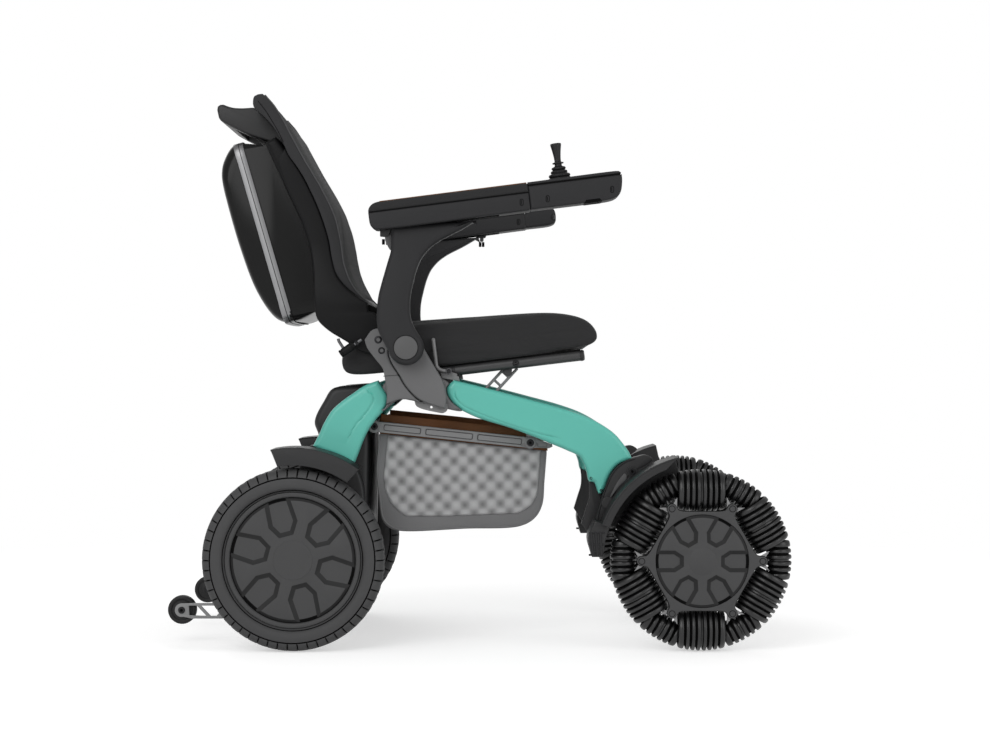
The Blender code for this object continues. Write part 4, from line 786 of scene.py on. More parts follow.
def tread_ring(name, side, settings):
    """The rear tyre: a sidewall with its two rings, and rows of blocks parted by narrow slits; the rings and slits are
    near black as painted shade.
    """
    radius = settings.tyre_radius
    outer = [(0.1183, 26.0), (0.1206, 29.6), (0.1212, 28.6), (0.1224, 28.8), (0.1236, 31.6), (0.1275, 34.0),
             (0.1330, 34.9), (0.1400, 34.6), (0.1416, 34.0), (0.1423, 31.6), (0.1433, 31.4), (0.1440, 33.4)]
    blocks = [(0.1454, 33.5), (0.1494, 31.9), (0.1530, 28.9), (0.1562, 23.6), (0.1578, 17.5), (0.1584, 11.2)]
    groove = [(0.1560, 10.4), (0.1560, 8.9)]
    middle = [(0.1586, 8.2), (0.1590, 0.0)]
    half = [(r, h, "side") for r, h in outer] + [(r, h, "row") for r, h in blocks]
    half += [(r, h, "side") for r, h in groove] + [(r, h, "mid") for r, h in middle]
    section = half + [(r, -h, kind) for r, h, kind in reversed(half[:-1])]
    shares = (0.0, 0.060, 0.078, 0.28, 0.50, 0.72, 0.922, 0.940)
    count = settings.tread_blocks
    origin = Vector((REAR_AXLE[0], side * HALF_TRACK, REAR_AXLE[1]))
    rings = []
    for block in range(count):
        for k, share in enumerate(shares):
            angle = 2 * pi * (block + share) / count
            slit = k in (0, 1, 7)
            mid_slit = 0.40 < share < 0.60
            ring = []
            for r, h, kind in section:
                if kind == "row" and slit:
                    r, h = r - 0.0034, h * 0.94
                if kind == "mid" and mid_slit:
                    r -= 0.0026
                r *= radius / 0.159
                ring.append(origin + Vector((r * cos(angle), side * h * MM, r * sin(angle))))
            rings.append(ring)

    # Faces in the sidewall's two ring grooves and in the tread's slits take the near-black finish: painted shade.
    def shaded(p):
        r = hypot(p.x - origin.x, p.z - origin.z) * 0.159 / radius
        share = (atan2(p.z - origin.z, p.x - origin.x) / (2 * pi) * count) % 1.0
        return 0.1417 < r < 0.1438 or 0.1208 < r < 0.1226 or (r > 0.1445 and min(share, 1 - share) < 0.058
                                                              and abs(p.y - origin.y) > 0.0105)

    return skin(name, rings, "tyre_rubber", around=True, smooth=42, second=("black_and_painted_shade", shaded))


def notch(radius, half_mouth, knee, half_knee, inner, half_inner):
    """One side of a pocket in a wheel disc's rim, from the rim to the pocket's inner end and back."""
    mouth = sqrt(radius ** 2 - half_mouth ** 2)
    return [(mouth, -half_mouth), (knee, -half_knee), (inner, -half_inner),
            (inner, half_inner), (knee, half_knee), (mouth, half_mouth)]


def notched_disc(name, centre, side, face, floor, radius, start_deg, pocket, wall, finish):
    """A raised disc with six pockets let into its rim, and sloping walls down to the floor, coloured darker as painted
    shade.
    """
    outline = []
    turn = 60.0
    half_angle = degrees(asin(pocket[-1][1] / radius))
    for k in range(6):
        at = start_deg + turn * k
        corners = tilted(centre, radians(at), pocket)
        for a, b in zip(corners, corners[1:]):
            outline += [tuple(Vector(a).lerp(Vector(b), t / 4)) for t in range(4)]
        outline.append(corners[-1])
        outline += arc(centre, radius, at + half_angle, at + turn - half_angle, 12)[1:-1]
    rings = []
    for gap, height in ((-wall, floor), (-0.0003, face - 0.0004), (0.0, face - 0.0001), (0.0004, face)):
        loop = inset(outline, gap)
        rings.append([(x, side * height, z) for x, z in loop])
    # The wall faces, between the floor and the face, take the darker wheel finish as painted shade.
    low = sorted((floor + 0.0002, face - 0.0006))
    return skin(name, rings, finish, smooth=30, second=("wheel_painted_shade", lambda p: low[0] < abs(p.y) < low[1]))


def rear_rim(name, side):
    """The moulded disc wheel: a raised face with six pockets inside a rounded lip."""
    origin = (REAR_AXLE[0], side * HALF_TRACK, REAR_AXLE[1])
    profile = [(0, 19.6), (0.1074, 19.6), (0.1078, 20.0), (0.1100, 25.0), (0.1108, 25.8), (0.1118, 26.2),
               (0.1160, 26.4), (0.1170, 26.2), (0.1176, 25.4), (0.1178, 23.0), (0.1180, 22.0), (0.1180, -24.0),
               (0.1172, -25.0), (0.1090, -25.0), (0.1080, -24.0), (0.1060, 5.0), (0.0400, 5.0), (0.0360, 3.0),
               (0.0330, -28.0), (0.0320, -29.0), (0.0150, -29.0), (0.0130, -28.0), (0.0130, -10.0), (0, -10.0)]
    profile = [(r, h * MM) for r, h in profile]
    rim = turned(name, profile, origin, (0, side, 0), "wheel_plastic", 120)
    pocket = notch(0.1030, 0.0236, 0.064, 0.0262, 0.0425, 0.0130)
    face = HALF_TRACK + 0.0236
    raised = notched_disc(name + "_face", REAR_AXLE, side, face, face - 0.0039, 0.1030, -15.0, pocket, 0.0080,
                          "wheel_plastic")
    # A near-black ring at the foot of the lip: painted shade in the groove.
    dip = at_mm([(103.4, 19), (108, 19), (109, 23.2), (108.4, 23.2), (107.6, 19.8), (103.4, 19.8)])
    groove = turned(name + "_groove", dip, origin, (0, side, 0), "black_and_painted_shade", 90, around=True)
    cap = turned(name + "_cap", at_mm([(0, 0.4), (33.8, 0.4), (34.3, 0), (34.8, -1), (0, -1)]),
                 (REAR_AXLE[0], side * face, REAR_AXLE[1]), (0, side, 0), "wheel_plastic", 90)
    return merge(rim, raised, groove, cap)


def rib_profile(pitch_r, half, groove, pitch, deep):
    """Half of a ribbed roller, as (radius, along): round-topped ribs with deep grooves between them."""
    wheel_r = FRONT_AXLE[1]
    points = [(0.0045, 0.0), (0.0045, groove), (0.010, groove)]
    count = round((half - groove) / pitch)
    step = (half - groove) / count
    for k in range(count):
        start = groove + step * k
        width = step if k == count - 1 else step * 0.68
        points += [(-deep, start), (-deep * 0.32, start + width * 0.03), (-deep * 0.10, start + width * 0.14),
                   (0.0, start + width * 0.32), (0.0, start + width * 0.68), (-deep * 0.10, start + width * 0.86),
                   (-deep * 0.32, start + width * 0.97), (-deep, start + width)]
    return points[:3] + [(sqrt(wheel_r ** 2 - along ** 2) - pitch_r + drop, along) for drop, along in points[3:]]


def ribbed_roller(name, centre, tangent, radial, large, settings):
    """A roller of two ribbed rubber barrels on a shaft, barrelled so that the wheel's rim is round; its groove bottoms
    are near black as painted shade.
    """
    pitch_r, deep = (LARGE_PITCH, 0.0056) if large else (SMALL_PITCH, 0.0042)
    if large:
        half = rib_profile(pitch_r, 0.0405, 0.0019, settings.rib_pitch, deep)
        half += at_mm([(28.4, 39.7), (17.8, 24.8), (16, 24.5), (0, 24.5)])
    else:
        half = rib_profile(pitch_r, 0.0340, 0.0019, settings.rib_pitch, deep)
        half += at_mm([(14, 34), (6.6, 34), (6.2, 33.4), (0, 33.4)])
    profile = list(reversed(half[1:])) + [(r, -along) for r, along in half[1:]]

    # Faces deep in the grooves between the ribs take the near-black finish: painted shade.
    def groove_shade(p):
        along = (p - centre).dot(tangent)
        r = (p - centre - tangent * along).length
        return r < sqrt(FRONT_AXLE[1] ** 2 - along ** 2) - pitch_r - deep * 0.60

    return turned(name, profile, centre, tangent, "roller_rubber", 36, out=radial, smooth=50,
                  second=("black_and_painted_shade", groove_shade))


def front_hub(name, side):
    """The omni wheel's hub: webs with eyes, the star plate with its pins, and the capped middle."""
    centre_y = side * HALF_TRACK
    origin = Vector((FRONT_AXLE[0], centre_y, FRONT_AXLE[1]))
    core = at_mm([(0, 27), (44, 27), (46, 25), (46, 11), (50, 8.5), (52, 7), (52, -7), (50, -8.5), (33, -11),
                  (31, -33), (29, -35), (0, -35)])
    hub = turned(name, core, origin, (0, side, 0), "wheel_plastic", 72)
    star = []
    for k in range(6):
        at = 60 * k
        tip = (FRONT_AXLE[0] + STAR_TIP * cos(radians(at)), FRONT_AXLE[1] + STAR_TIP * sin(radians(at)))
        star += arc(tip, 0.0082, at - 72, at + 72, 9)
        near = tilted(FRONT_AXLE, radians(at + 30 - 90), at_mm([(39.5, 87.4), (34, 86.2), (20, 85.8), (0, 85.8),
                                                                (-20, 85.8), (-34, 86.2), (-39.5, 87.4)]))
        star += near
    star = smooth_loop(star, 0.004)
    edge_in = centre_y + side * 0.0262
    ring_hole = list(reversed(arc(FRONT_AXLE, 0.0806, 0, 355, 72)))
    plate_out, plate_in = centre_y + side * 0.0318, centre_y + side * 0.0270
    pieces = [plate(name + "_star", star, plate_in, plate_out, "wheel_plastic", 0.0009, holes=[ring_hole])]
    pieces += [
        turned(name + "_floor", at_mm([(0, 25), (82, 25), (82, 29.2), (0, 29.2)]),
               origin, (0, side, 0), "wheel_plastic", 72),
        # A near-black sheet just outside the star's edge, and a near-black ring in the groove: painted shade.
        plate(name + "_edge", inset(star, -0.0009), edge_in, plate_in, "black_and_painted_shade", 0.0, holes=[ring_hole]),
        turned(name + "_groove", at_mm([(75.6, 28.8), (80, 28.8), (80.6, 31.6), (80, 31.6), (79.6, 29.6),
                                        (75.6, 29.6)]),
               origin, (0, side, 0), "black_and_painted_shade", 90, around=True),
    ]
    pocket = notch(0.0752, 0.0190, 0.0470, 0.0190, 0.0318, 0.0092)
    face = HALF_TRACK + 0.0348
    pieces += [
        notched_disc(name + "_face", FRONT_AXLE, side, face, face - 0.0052, 0.0752, 0.0, pocket, 0.0070,
                     "wheel_plastic"),
        turned(name + "_cap", at_mm([(0, 0.2), (23.6, 0.2), (24, 0), (24.3, -1), (0, -1)]),
               (FRONT_AXLE[0], side * face, FRONT_AXLE[1]), (0, side, 0), "wheel_plastic", 72),
    ]
    for k in range(6):
        a = radians(60 * k)
        pin = origin + Vector((cos(a), 0, sin(a))) * STAR_TIP + Vector((0, side * 0.0318, 0))
        pieces += [
            # A near-black ring round each pin: painted shade.
            turned(f"{name}_ring_{k}", at_mm([(0, 0.2), (5.8, 0.2), (5.8, -2), (0, -2)]), pin,
                   (0, side, 0), "black_and_painted_shade", 24),
            turned(f"{name}_pin_{k}", at_mm([(0, 1), (4.4, 1), (4.8, 0.6), (5, -1), (0, -1)]), pin,
                   (0, side, 0), "wheel_plastic", 24),
        ]
        wing = at_mm([(0, 92), (5.5, 94.5), (10.8, 104.5), (17.5, 116.5), (6, 110), (0, 109)])
        wing += [(-t, r) for t, r in wing[-2:0:-1]]
        pieces.append(plate(f"{name}_wing_{k}", tilted(FRONT_AXLE, a - pi / 2, wing), centre_y + side * 0.0242,
                            centre_y + side * 0.0258, "web_grey", 0.0003))
        post = [pin + Vector((0, -side * 0.004, 0)), pin + Vector((0, -side * 0.056, 0))]
        pieces.append(rod(f"{name}_post_{k}", post[0], post[1], 0.0050, "web_grey", 16))
    for k in range(12):
        large, pitch_r, radial, tangent = roller_place(k)
        outline = [(-0.0120, 0.046), (0.0120, 0.046), (0.0085, 0.070), (0.0070, pitch_r - 0.012)]
        outline += [(0.0082 * cos(radians(b)), pitch_r + 0.0082 * sin(radians(b))) for b in range(-30, 211, 20)]
        outline += [(-0.0070, pitch_r - 0.012), (-0.0085, 0.070)]
        outline = smooth_loop(outline, 0.005, corners=(0, 1))
        rings = []
        for along, gap in ((-0.0014, 0.0006), (-0.0010, 0.0), (0.0010, 0.0), (0.0014, 0.0006)):
            loop = inset(outline, gap) if gap else outline
            rings.append([origin + tangent * along + Vector((0, w, 0)) + radial * r for w, r in loop])
        pieces.append(skin(f"{name}_web_{k}", rings, "web_grey"))
        reach = FRONT_AXLE[1] - pitch_r - (0.0056 if large else 0.0044)
        disc = [(0, 0.0015), (reach, 0.0015), (reach, -0.0015), (0, -0.0015)]
        pieces.append(turned(f"{name}_disc_{k}", disc, origin + radial * pitch_r, tangent, "roller_rubber", 48))
    return merge(hub, *pieces)


def small_wheel(name, side):
    """A small solid anti-tip wheel with a dished face and a bolt."""
    middle = side * 0.1765
    profile = [(0.0054, 8.6), (0.0120, 8.6), (0.0128, 8.0), (0.0150, 7.4), (0.0176, 7.6), (0.0186, 8.6), (0.0200, 9.0),
               (0.0226, 9.0), (0.0246, 8.0), (0.0254, 6.0), (0.0255, 0.0)]
    profile += [(r, -h) for r, h in reversed(profile[:-1])]
    return turned(name, [(r, h * MM) for r, h in profile], (TIP_AXLE[0], middle, TIP_AXLE[1]), (0, side, 0),
                  "soft_rubber", 60, around=True)


# Frame castings
BEAM_FACE = [(0.126, -11), (0.050, -7), (0.010, 0), (-0.012, 9), (-0.010, 17), (0.000, 27)]
BEAM_TOP = [(0.000, 27), (0.147, 43), (0.414, 70), (0.600, 88), (0.730, 97), (0.827, 99), (0.900, 97), (0.960, 91),
            (1.020, 83), (1.050, 76)]
BEAM_END = [(0.996, -7), (1.0075, -5), (1.0095, 6), (1.001, 19), (0.995, 32), (0.996, 44), (1.004, 55), (1.026, 66),
            (1.050, 76)]
BEAM_LOW = [(0.126, -11), (0.221, -7), (0.409, 9), (0.620, 22), (0.731, 28), (0.800, 30), (0.844, 23), (0.879, 14),
            (0.905, 5), (0.918, 2), (0.930, 4), (0.944, 5), (0.967, 0), (0.985, -5), (0.996, -7)]
BEAM_CREASE = [(0.029, 17), (0.060, 4), (0.11, -1), (0.206, 2), (0.396, 15), (0.567, 30), (0.634, 38), (0.67, 42)]
ARCH_FACE = [(0.318, 17), (0.203, 18), (0.118, 16), (0.055, 12), (0.012, 4), (-0.020, -9), (-0.050, -22)]
ARCH_BACK = [(-0.050, -22), (0.092, -35), (0.256, -43), (0.417, -50), (0.575, -54), (0.770, -51), (0.911, -46),
             (1.070, -42)]
ARCH_END = [(0.937, 35), (0.985, 0), (1.030, -20), (1.070, -42)]
ARCH_INNER = [(0.318, 17), (0.500, 18), (0.658, 23), (0.795, 29), (0.937, 35)]
ARCH_CREASE = [(0.100, -30), (0.123, -28), (0.134, -15), (0.174, -8), (0.26, -5), (0.412, -5), (0.554, -6),
               (0.684, -3), (0.80, 2)]


CREASE_STEP = 0.0015
CREASE_WIDTH = 0.0020


def crease(line, high_side):
    """A relief: the panel on one side of a line stands proud, with a fine groove at its foot."""
    line = np.array(smooth_line(line, 0.004))

    def relief(points):
        away, share, _ = line_distance(points, line)
        index = np.clip((share * (len(line) - 1)).astype(int), 0, len(line) - 2)
        run = line[index + 1] - line[index]
        offset = points - line[index]
        hand = run[:, 0] * offset[:, 1] - run[:, 1] * offset[:, 0]
        over = np.where(hand * high_side > 0, 1.0, -1.0) * away
        fade = np.clip((1.0 - share) / 0.10, 0.0, 1.0) * np.clip(share / 0.06, 0.0, 1.0)
        panel = CREASE_STEP * (0.5 + 0.5 * np.tanh(over / CREASE_WIDTH)) * np.exp(-np.maximum(over, 0.0) / 0.020)
        groove = -1.1 * CREASE_STEP * np.exp(-((over / CREASE_WIDTH + 0.8) / 0.55) ** 2)
        return (panel + groove) * fade

    return relief


def beam(name, side):
    """The painted beam, from the casting down to the front fork."""
    lines = [smooth_line(chord(BEAM_REAR, FORK_BOLT, points), 0.003)
             for points in (BEAM_FACE, BEAM_TOP, BEAM_END, BEAM_LOW)]
    relief = crease(chord(BEAM_REAR, FORK_BOLT, BEAM_CREASE), 1.0)
    body = patch(name, *lines, side * FRAME_IN, side * FRAME_OUT, "teal_paint", 0.0085, relief, (170, 54))
    bolts = [socket_bolt(f"{name}_bolt_{k}", (x * MM, side * (FRAME_OUT - 0.0022), z * MM), (0, side, 0), 0.0026)
             for k, (x, z) in enumerate(((221.5, 275.5), (203.5, 297.0)))]
    return merge(body, *bolts)


def arch(name, side):
    """The painted arch, from the casting down to the drive unit."""
    lines = [smooth_line(chord(ARCH_TOP, ARCH_FOOT, points), 0.003)
             for points in (ARCH_FACE, ARCH_BACK, ARCH_END, ARCH_INNER)]
    relief = crease(chord(ARCH_TOP, ARCH_FOOT, ARCH_CREASE), -1.0)
    return patch(name, *lines, side * FRAME_IN, side * FRAME_OUT, "teal_paint", 0.0085, relief, (110, 54))


def bridge(name):
    """The two castings that carry the seat, back and arms, and the cross tube between them."""
    parts = [across(name, SEAT_PIVOT, -FRAME_IN - 0.004, FRAME_IN + 0.004, 0.0158, "black_tube", 48)]
    lower = beside(chord(ARCH_TOP, ARCH_FOOT, ARCH_FACE), -0.0005)[-2:0:-1]
    lower += shift(ARM_PIVOT, [(-14, -91), (8, -93)])
    lower += beside(chord(BEAM_REAR, FORK_BOLT, BEAM_FACE), 0.0005)[:-1]
    lower += shift(ARM_PIVOT, [(60, -54), (20, -51), (-20, -49)])
    front = at_mm([(-149, 504), (-133, 477), (-123, 460), (-102, 438), (-81, 428), (-54, 420), (-51, 436), (-57, 467),
                   (-70, 490), (-91, 526), (-100, 545), (-124, 554), (-146, 541), (-153, 520)])
    rear = at_mm([(-195, 541), (-191, 528), (-176, 507), (-163, 490), (-160, 476), (-157, 456), (-156, 442),
                  (-157, 428), (-133, 436), (-112, 435), (-92, 430), (-104.5, 437.5), (-124.5, 459.6), (-134.6, 477),
                  (-150.5, 504), (-154, 521), (-147, 545), (-156, 556), (-168, 561), (-182, 558)])
    tab = at_mm([(-108, 434), (-104, 424), (-67, 413), (-57, 412), (-50, 417), (-50, 428), (-80, 436)])
    tab_hole = arc((-0.0780, 0.4225), 0.0021, 360, 24, 15)
    for tag, side in SIDES.items():
        parts += [
            plate(f"{name}_core_{tag}", smooth_loop(lower, 0.006), side * FRAME_IN, side * 0.2300,
                  "cast_grey", 0.004, 0.002),
            plate(f"{name}_front_{tag}", smooth_loop(front, 0.004, corners=(5,)), side * 0.2276,
                  side * CHEEK_OUT, "cast_grey", 0.0042, 0.001),
            plate(f"{name}_rear_{tag}", smooth_loop(rear, 0.004, corners=(0, 7, 10)), side * 0.2276,
                  side * (CHEEK_OUT - 0.0012), "cast_grey", 0.0030, 0.001),
            plate(f"{name}_split_{tag}", at_mm([(-162, 476.6), (-133.5, 478.6), (-133.5, 479.4),
                                                (-162, 477.6)]),
                  side * 0.2300, side * (CHEEK_OUT - 0.0010), "black_and_painted_shade", 0.0),
            plate(f"{name}_tab_{tag}", smooth_loop(tab, 0.004, corners=(0, 5)), side * 0.2310,
                  side * 0.2345, "satin_grey", 0.0006, holes=[tab_hole]),
        ]
        for k, (x, z, r) in enumerate(((-165, 522, 6.2), (-171, 541, 6.8))):
            spot = (x * MM, side * (CHEEK_OUT - 0.0024), z * MM)
            parts.append(socket_bolt(f"{name}_bolt_{tag}_{k}", spot, (0, side, 0), r * MM))
        parts.append(across(f"{name}_back_pin_{tag}", BACK_PIVOT, side * (EAR_IN + 0.0008), side * 0.2310, 0.0059,
                            "bolt_black", 24))
    return merge(*parts)


def slot_loop(x_a, x_b, z_a, z_b, radius, slope, origin):
    """A rounded oblong along a slope."""
    corners = []
    for x, z, turn in ((x_b - radius, z_b - radius, 0), (x_a + radius, z_b - radius, 90),
                       (x_a + radius, z_a + radius, 180), (x_b - radius, z_a + radius, 270)):
        corners += arc((x, z), radius, turn, turn + 90, 5)
    return tilted(origin, slope, corners)


def side_rails(name):
    """The two recessed side rails, their bosses and bolts, and the cross bars."""
    slope = atan2(RAIL_FRONT[1] - RAIL_REAR[1], RAIL_FRONT[0] - RAIL_REAR[0])
    length = hypot(RAIL_FRONT[0] - RAIL_REAR[0], RAIL_FRONT[1] - RAIL_REAR[1])
    outline = [(0.010, -0.0095), (length - 0.009, -0.0095)] + arc((length, 0), 0.0115, -110, -40, 6)
    outline += [(length + 0.034, -0.0065), (length + 0.040, -0.0030), (length + 0.039, 0.001), (length + 0.014, 0.007)]
    outline += arc((length, 0), 0.0115, 50, 130, 8) + [(length - 0.012, 0.0095), (0.012, 0.0095)]
    outline = tilted(RAIL_REAR, slope, outline + arc((0, 0), 0.0115, 50, 310, 20))
    parts = [across(name, RAIL_REAR, -RAIL_IN, RAIL_IN, 0.0089, "black_tube", 32),
             across(name + "_front", RAIL_FRONT, -RAIL_IN, RAIL_IN, 0.0089, "black_tube", 32)]
    spans = [(0.0165, 0.0835), (0.0915, 0.1765), (0.1845, length - 0.0150)]
    holes = [list(reversed(slot_loop(a, b, -0.0057, 0.0057, 0.0030, slope, RAIL_REAR))) for a, b in spans]
    holes.append(list(reversed(slot_loop(length + 0.0135, length + 0.0300, -0.0050, 0.0020, 0.0018, slope, RAIL_REAR))))
    for tag, side in SIDES.items():
        parts += [
            plate(f"{name}_back_{tag}", outline, side * RAIL_IN, side * 0.1840, "recess_grey", 0.0003),
            plate(f"{name}_lip_{tag}", outline, side * 0.1838, side * RAIL_OUT, "satin_grey", 0.0009,
                  0.0003, holes=holes),
        ]
        # Near-black rings inside each slot's edge: painted shade on the recess walls.
        for k, (a, b) in enumerate(spans):
            line = slot_loop(a + 0.0006, b - 0.0006, -0.0051, 0.0051, 0.0026, slope, RAIL_REAR)
            inner = list(reversed(slot_loop(a + 0.0013, b - 0.0013, -0.0044, 0.0044, 0.0022, slope, RAIL_REAR)))
            parts.append(plate(f"{name}_line_{tag}_{k}", line, side * 0.1838, side * 0.1844, "black_and_painted_shade", 0.0,
                               holes=[inner]))
        for k, spot in enumerate((RAIL_REAR, RAIL_FRONT)):
            place = (spot[0], side * RAIL_OUT, spot[1])
            parts += [
                turned(f"{name}_boss_{tag}_{k}", at_mm([(0, -4), (10, -4), (10, 0), (9.4, 0.8), (7.6, 0.8),
                                                        (7.2, 0.4), (0, 0.4)]),
                       place, (0, side, 0), "satin_grey", 40),
                socket_bolt(f"{name}_bolt_{tag}_{k}", place, (0, side, 0), 0.0064),
            ]
    return merge(*parts)


def truss(name, side):
    """An anti-tip arm: a flat bar pierced with triangles, and the small wheel's pin."""
    start = (TIP_AXLE[0] + 0.088, TIP_AXLE[1])
    length = REAR_AXLE[0] - 0.010 - start[0]
    rise, half, bar = 0.002, 0.0150, 0.0062
    outline = [(start[0], start[1] - half), (start[0] + length, start[1] - half + rise),
                (start[0] + length + 0.020, start[1] - half + rise + 0.004),
                (start[0] + length + 0.024, REAR_AXLE[1] - 0.038), (start[0] + length - 0.002, REAR_AXLE[1] - 0.038),
                (start[0] + length - 0.004, start[1] + half + rise), (start[0], start[1] + half)]
    step = (length - 0.008) / 3
    top, low = half - bar, bar - half
    holes = []
    for k in range(3):
        left = start[0] + 0.004 + step * k
        right = left + step - 0.003
        for loop in ([(left, low), (right - 0.007, low), (left, top)],
                     [(right, top), (left + 0.007, top), (right, low)]):
            pts = [(x, start[1] + z + (x - start[0]) * rise / length) for x, z in loop]
            holes.append(clockwise(smooth_loop(firm(pts, (0.0, 0.08, 0.5, 0.92)), 0.003)))
    arm = plate(name, outline, side * 0.162, side * 0.167, "web_grey", 0.0006, holes=holes)
    pin = across(name + "_pin", TIP_AXLE, side * 0.1655, side * 0.1880, 0.0050, "bolt_black", 24)
    brace = shift(TIP_AXLE, [(18, -15), (104, -15), (104, 13), (14, 12.6)])
    brace = arc(TIP_AXLE, 0.0122, 80, 285, 18) + brace
    gaps = [[(13, 8), (14, -9), (44, -10), (27, 8)], [(35, 8), (78, 8), (62, -10), (52, -10)],
            [(86, 8), (99, 8), (99, -10), (72, -10)]]
    gaps = [clockwise(smooth_loop(shift(TIP_AXLE, firm(gap, (0.0, 0.1, 0.9))), 0.003)) for gap in gaps]
    outer = plate(name + "_brace", brace, side * 0.1868, side * 0.1898, "web_grey", 0.0006, holes=gaps)
    ties = [rod(f"{name}_tie_{k}", (TIP_AXLE[0] + 0.100, side * 0.1640, TIP_AXLE[1] + z),
                (TIP_AXLE[0] + 0.100, side * 0.1890, TIP_AXLE[1] + z), 0.0028, "web_grey", 16) for k, z in
            enumerate((-0.0125, 0.0105))]
    head = socket_bolt(name + "_head", (TIP_AXLE[0], side * 0.1898, TIP_AXLE[1]), (0, side, 0), 0.0062)
    return merge(arm, pin, outer, *ties, head)


def drive(name):
    """The power box, the gear motors and their housings, the axle tube and the anti-tip arms."""
    case = shift(REAR_AXLE, [(26, 236), (44, 275), (58, 295), (95, 301), (116, 302), (122, 290),
                             (122, -20), (112, -36), (14, -36), (4, -26), (4, 50), (34, 205)])
    outline = smooth_loop(case, 0.005, corners=(4, 6, 8))
    parts = [plate(name, outline, -0.165, 0.165, "black_plastic", 0.0110)]
    seam = inset(outline, -0.0004)
    parts += [
        plate(name + "_seam", seam, -0.1006, -0.0994, "black_and_painted_shade", 0.0),
        plate(name + "_seam_l", seam, 0.0994, 0.1006, "black_and_painted_shade", 0.0),
        across(name + "_axle", REAR_AXLE, -FRAME_IN, FRAME_IN, 0.0238, "black_tube", 48),
    ]
    foot = chord(ARCH_TOP, ARCH_FOOT, [(1.075, -46), (1.035, -20), (0.990, 1), (0.942, 36)])
    for tag, side in SIDES.items():
        housing = foot + shift(REAR_AXLE, [(118, 118), (112, 60)]) + arc(REAR_AXLE, 0.0538, -10, -190, 16)
        housing += shift(REAR_AXLE, [(-40, 60), (0, 150)])
        parts += [
            plate(f"{name}_gear_{tag}", smooth_loop(housing[::-1], 0.005), side * 0.184, side * FRAME_OUT,
                  "black_plastic", 0.005),
            turned(f"{name}_motor_{tag}", at_mm([(0, 0), (44, 0), (50, 6), (50, 90), (46, 94), (46, 100), (0, 100)]),
                   (REAR_AXLE[0], side * 0.090, REAR_AXLE[1]), (0, side, 0), "black_plastic", 60),
        ]
        fin = at_mm([(49, -1.2), (51.2, -1), (51.2, 1), (49, 1.2)])
        for k in range(6):
            spot = (REAR_AXLE[0], side * (0.104 + 0.011 * k), REAR_AXLE[1])
            parts.append(turned(f"{name}_fin_{tag}_{k}", fin, spot, (0, side, 0), "black_plastic", 60, around=True))
        parts += [
            across(f"{name}_shaft_{tag}", REAR_AXLE, side * 0.217, side * 0.2690, 0.0119, "dark_steel", 32),
            truss(f"{name}_arm_{tag}", side),
        ]
    return merge(*parts)


def rear_hood(name, side):
    """The hood over a rear tyre, with a turned-down skirt and a rolled lip."""
    inner, outer = side * 0.2275, side * FENDER_OUT
    top = arc(REAR_AXLE, 0.1953, 54, 101, 40)
    under = arc(REAR_AXLE, 0.1922, 101, 54, 40)
    skirt_top = arc(REAR_AXLE, 0.1955, 54, 101, 40)
    skirt = skirt_top + smooth_line(arc(REAR_AXLE, 0.1650, 99, 55, 12), 0.006)
    parts = [plate(name, top + under, inner, outer, "black_plastic", 0.0010),
             plate(name + "_skirt", skirt, side * 0.3140, outer, "black_plastic", 0.0026, 0.0008),
             plate(name + "_wall", skirt, inner, side * 0.2318, "black_plastic", 0.0012)]
    lip = [(x, side * 0.3166, z) for x, z in arc(REAR_AXLE, 0.1660, 56, 98, 30)]
    parts.append(tube(name + "_lip", lip, 0.0013, "black_plastic", 10, bent=False))
    return merge(*parts)


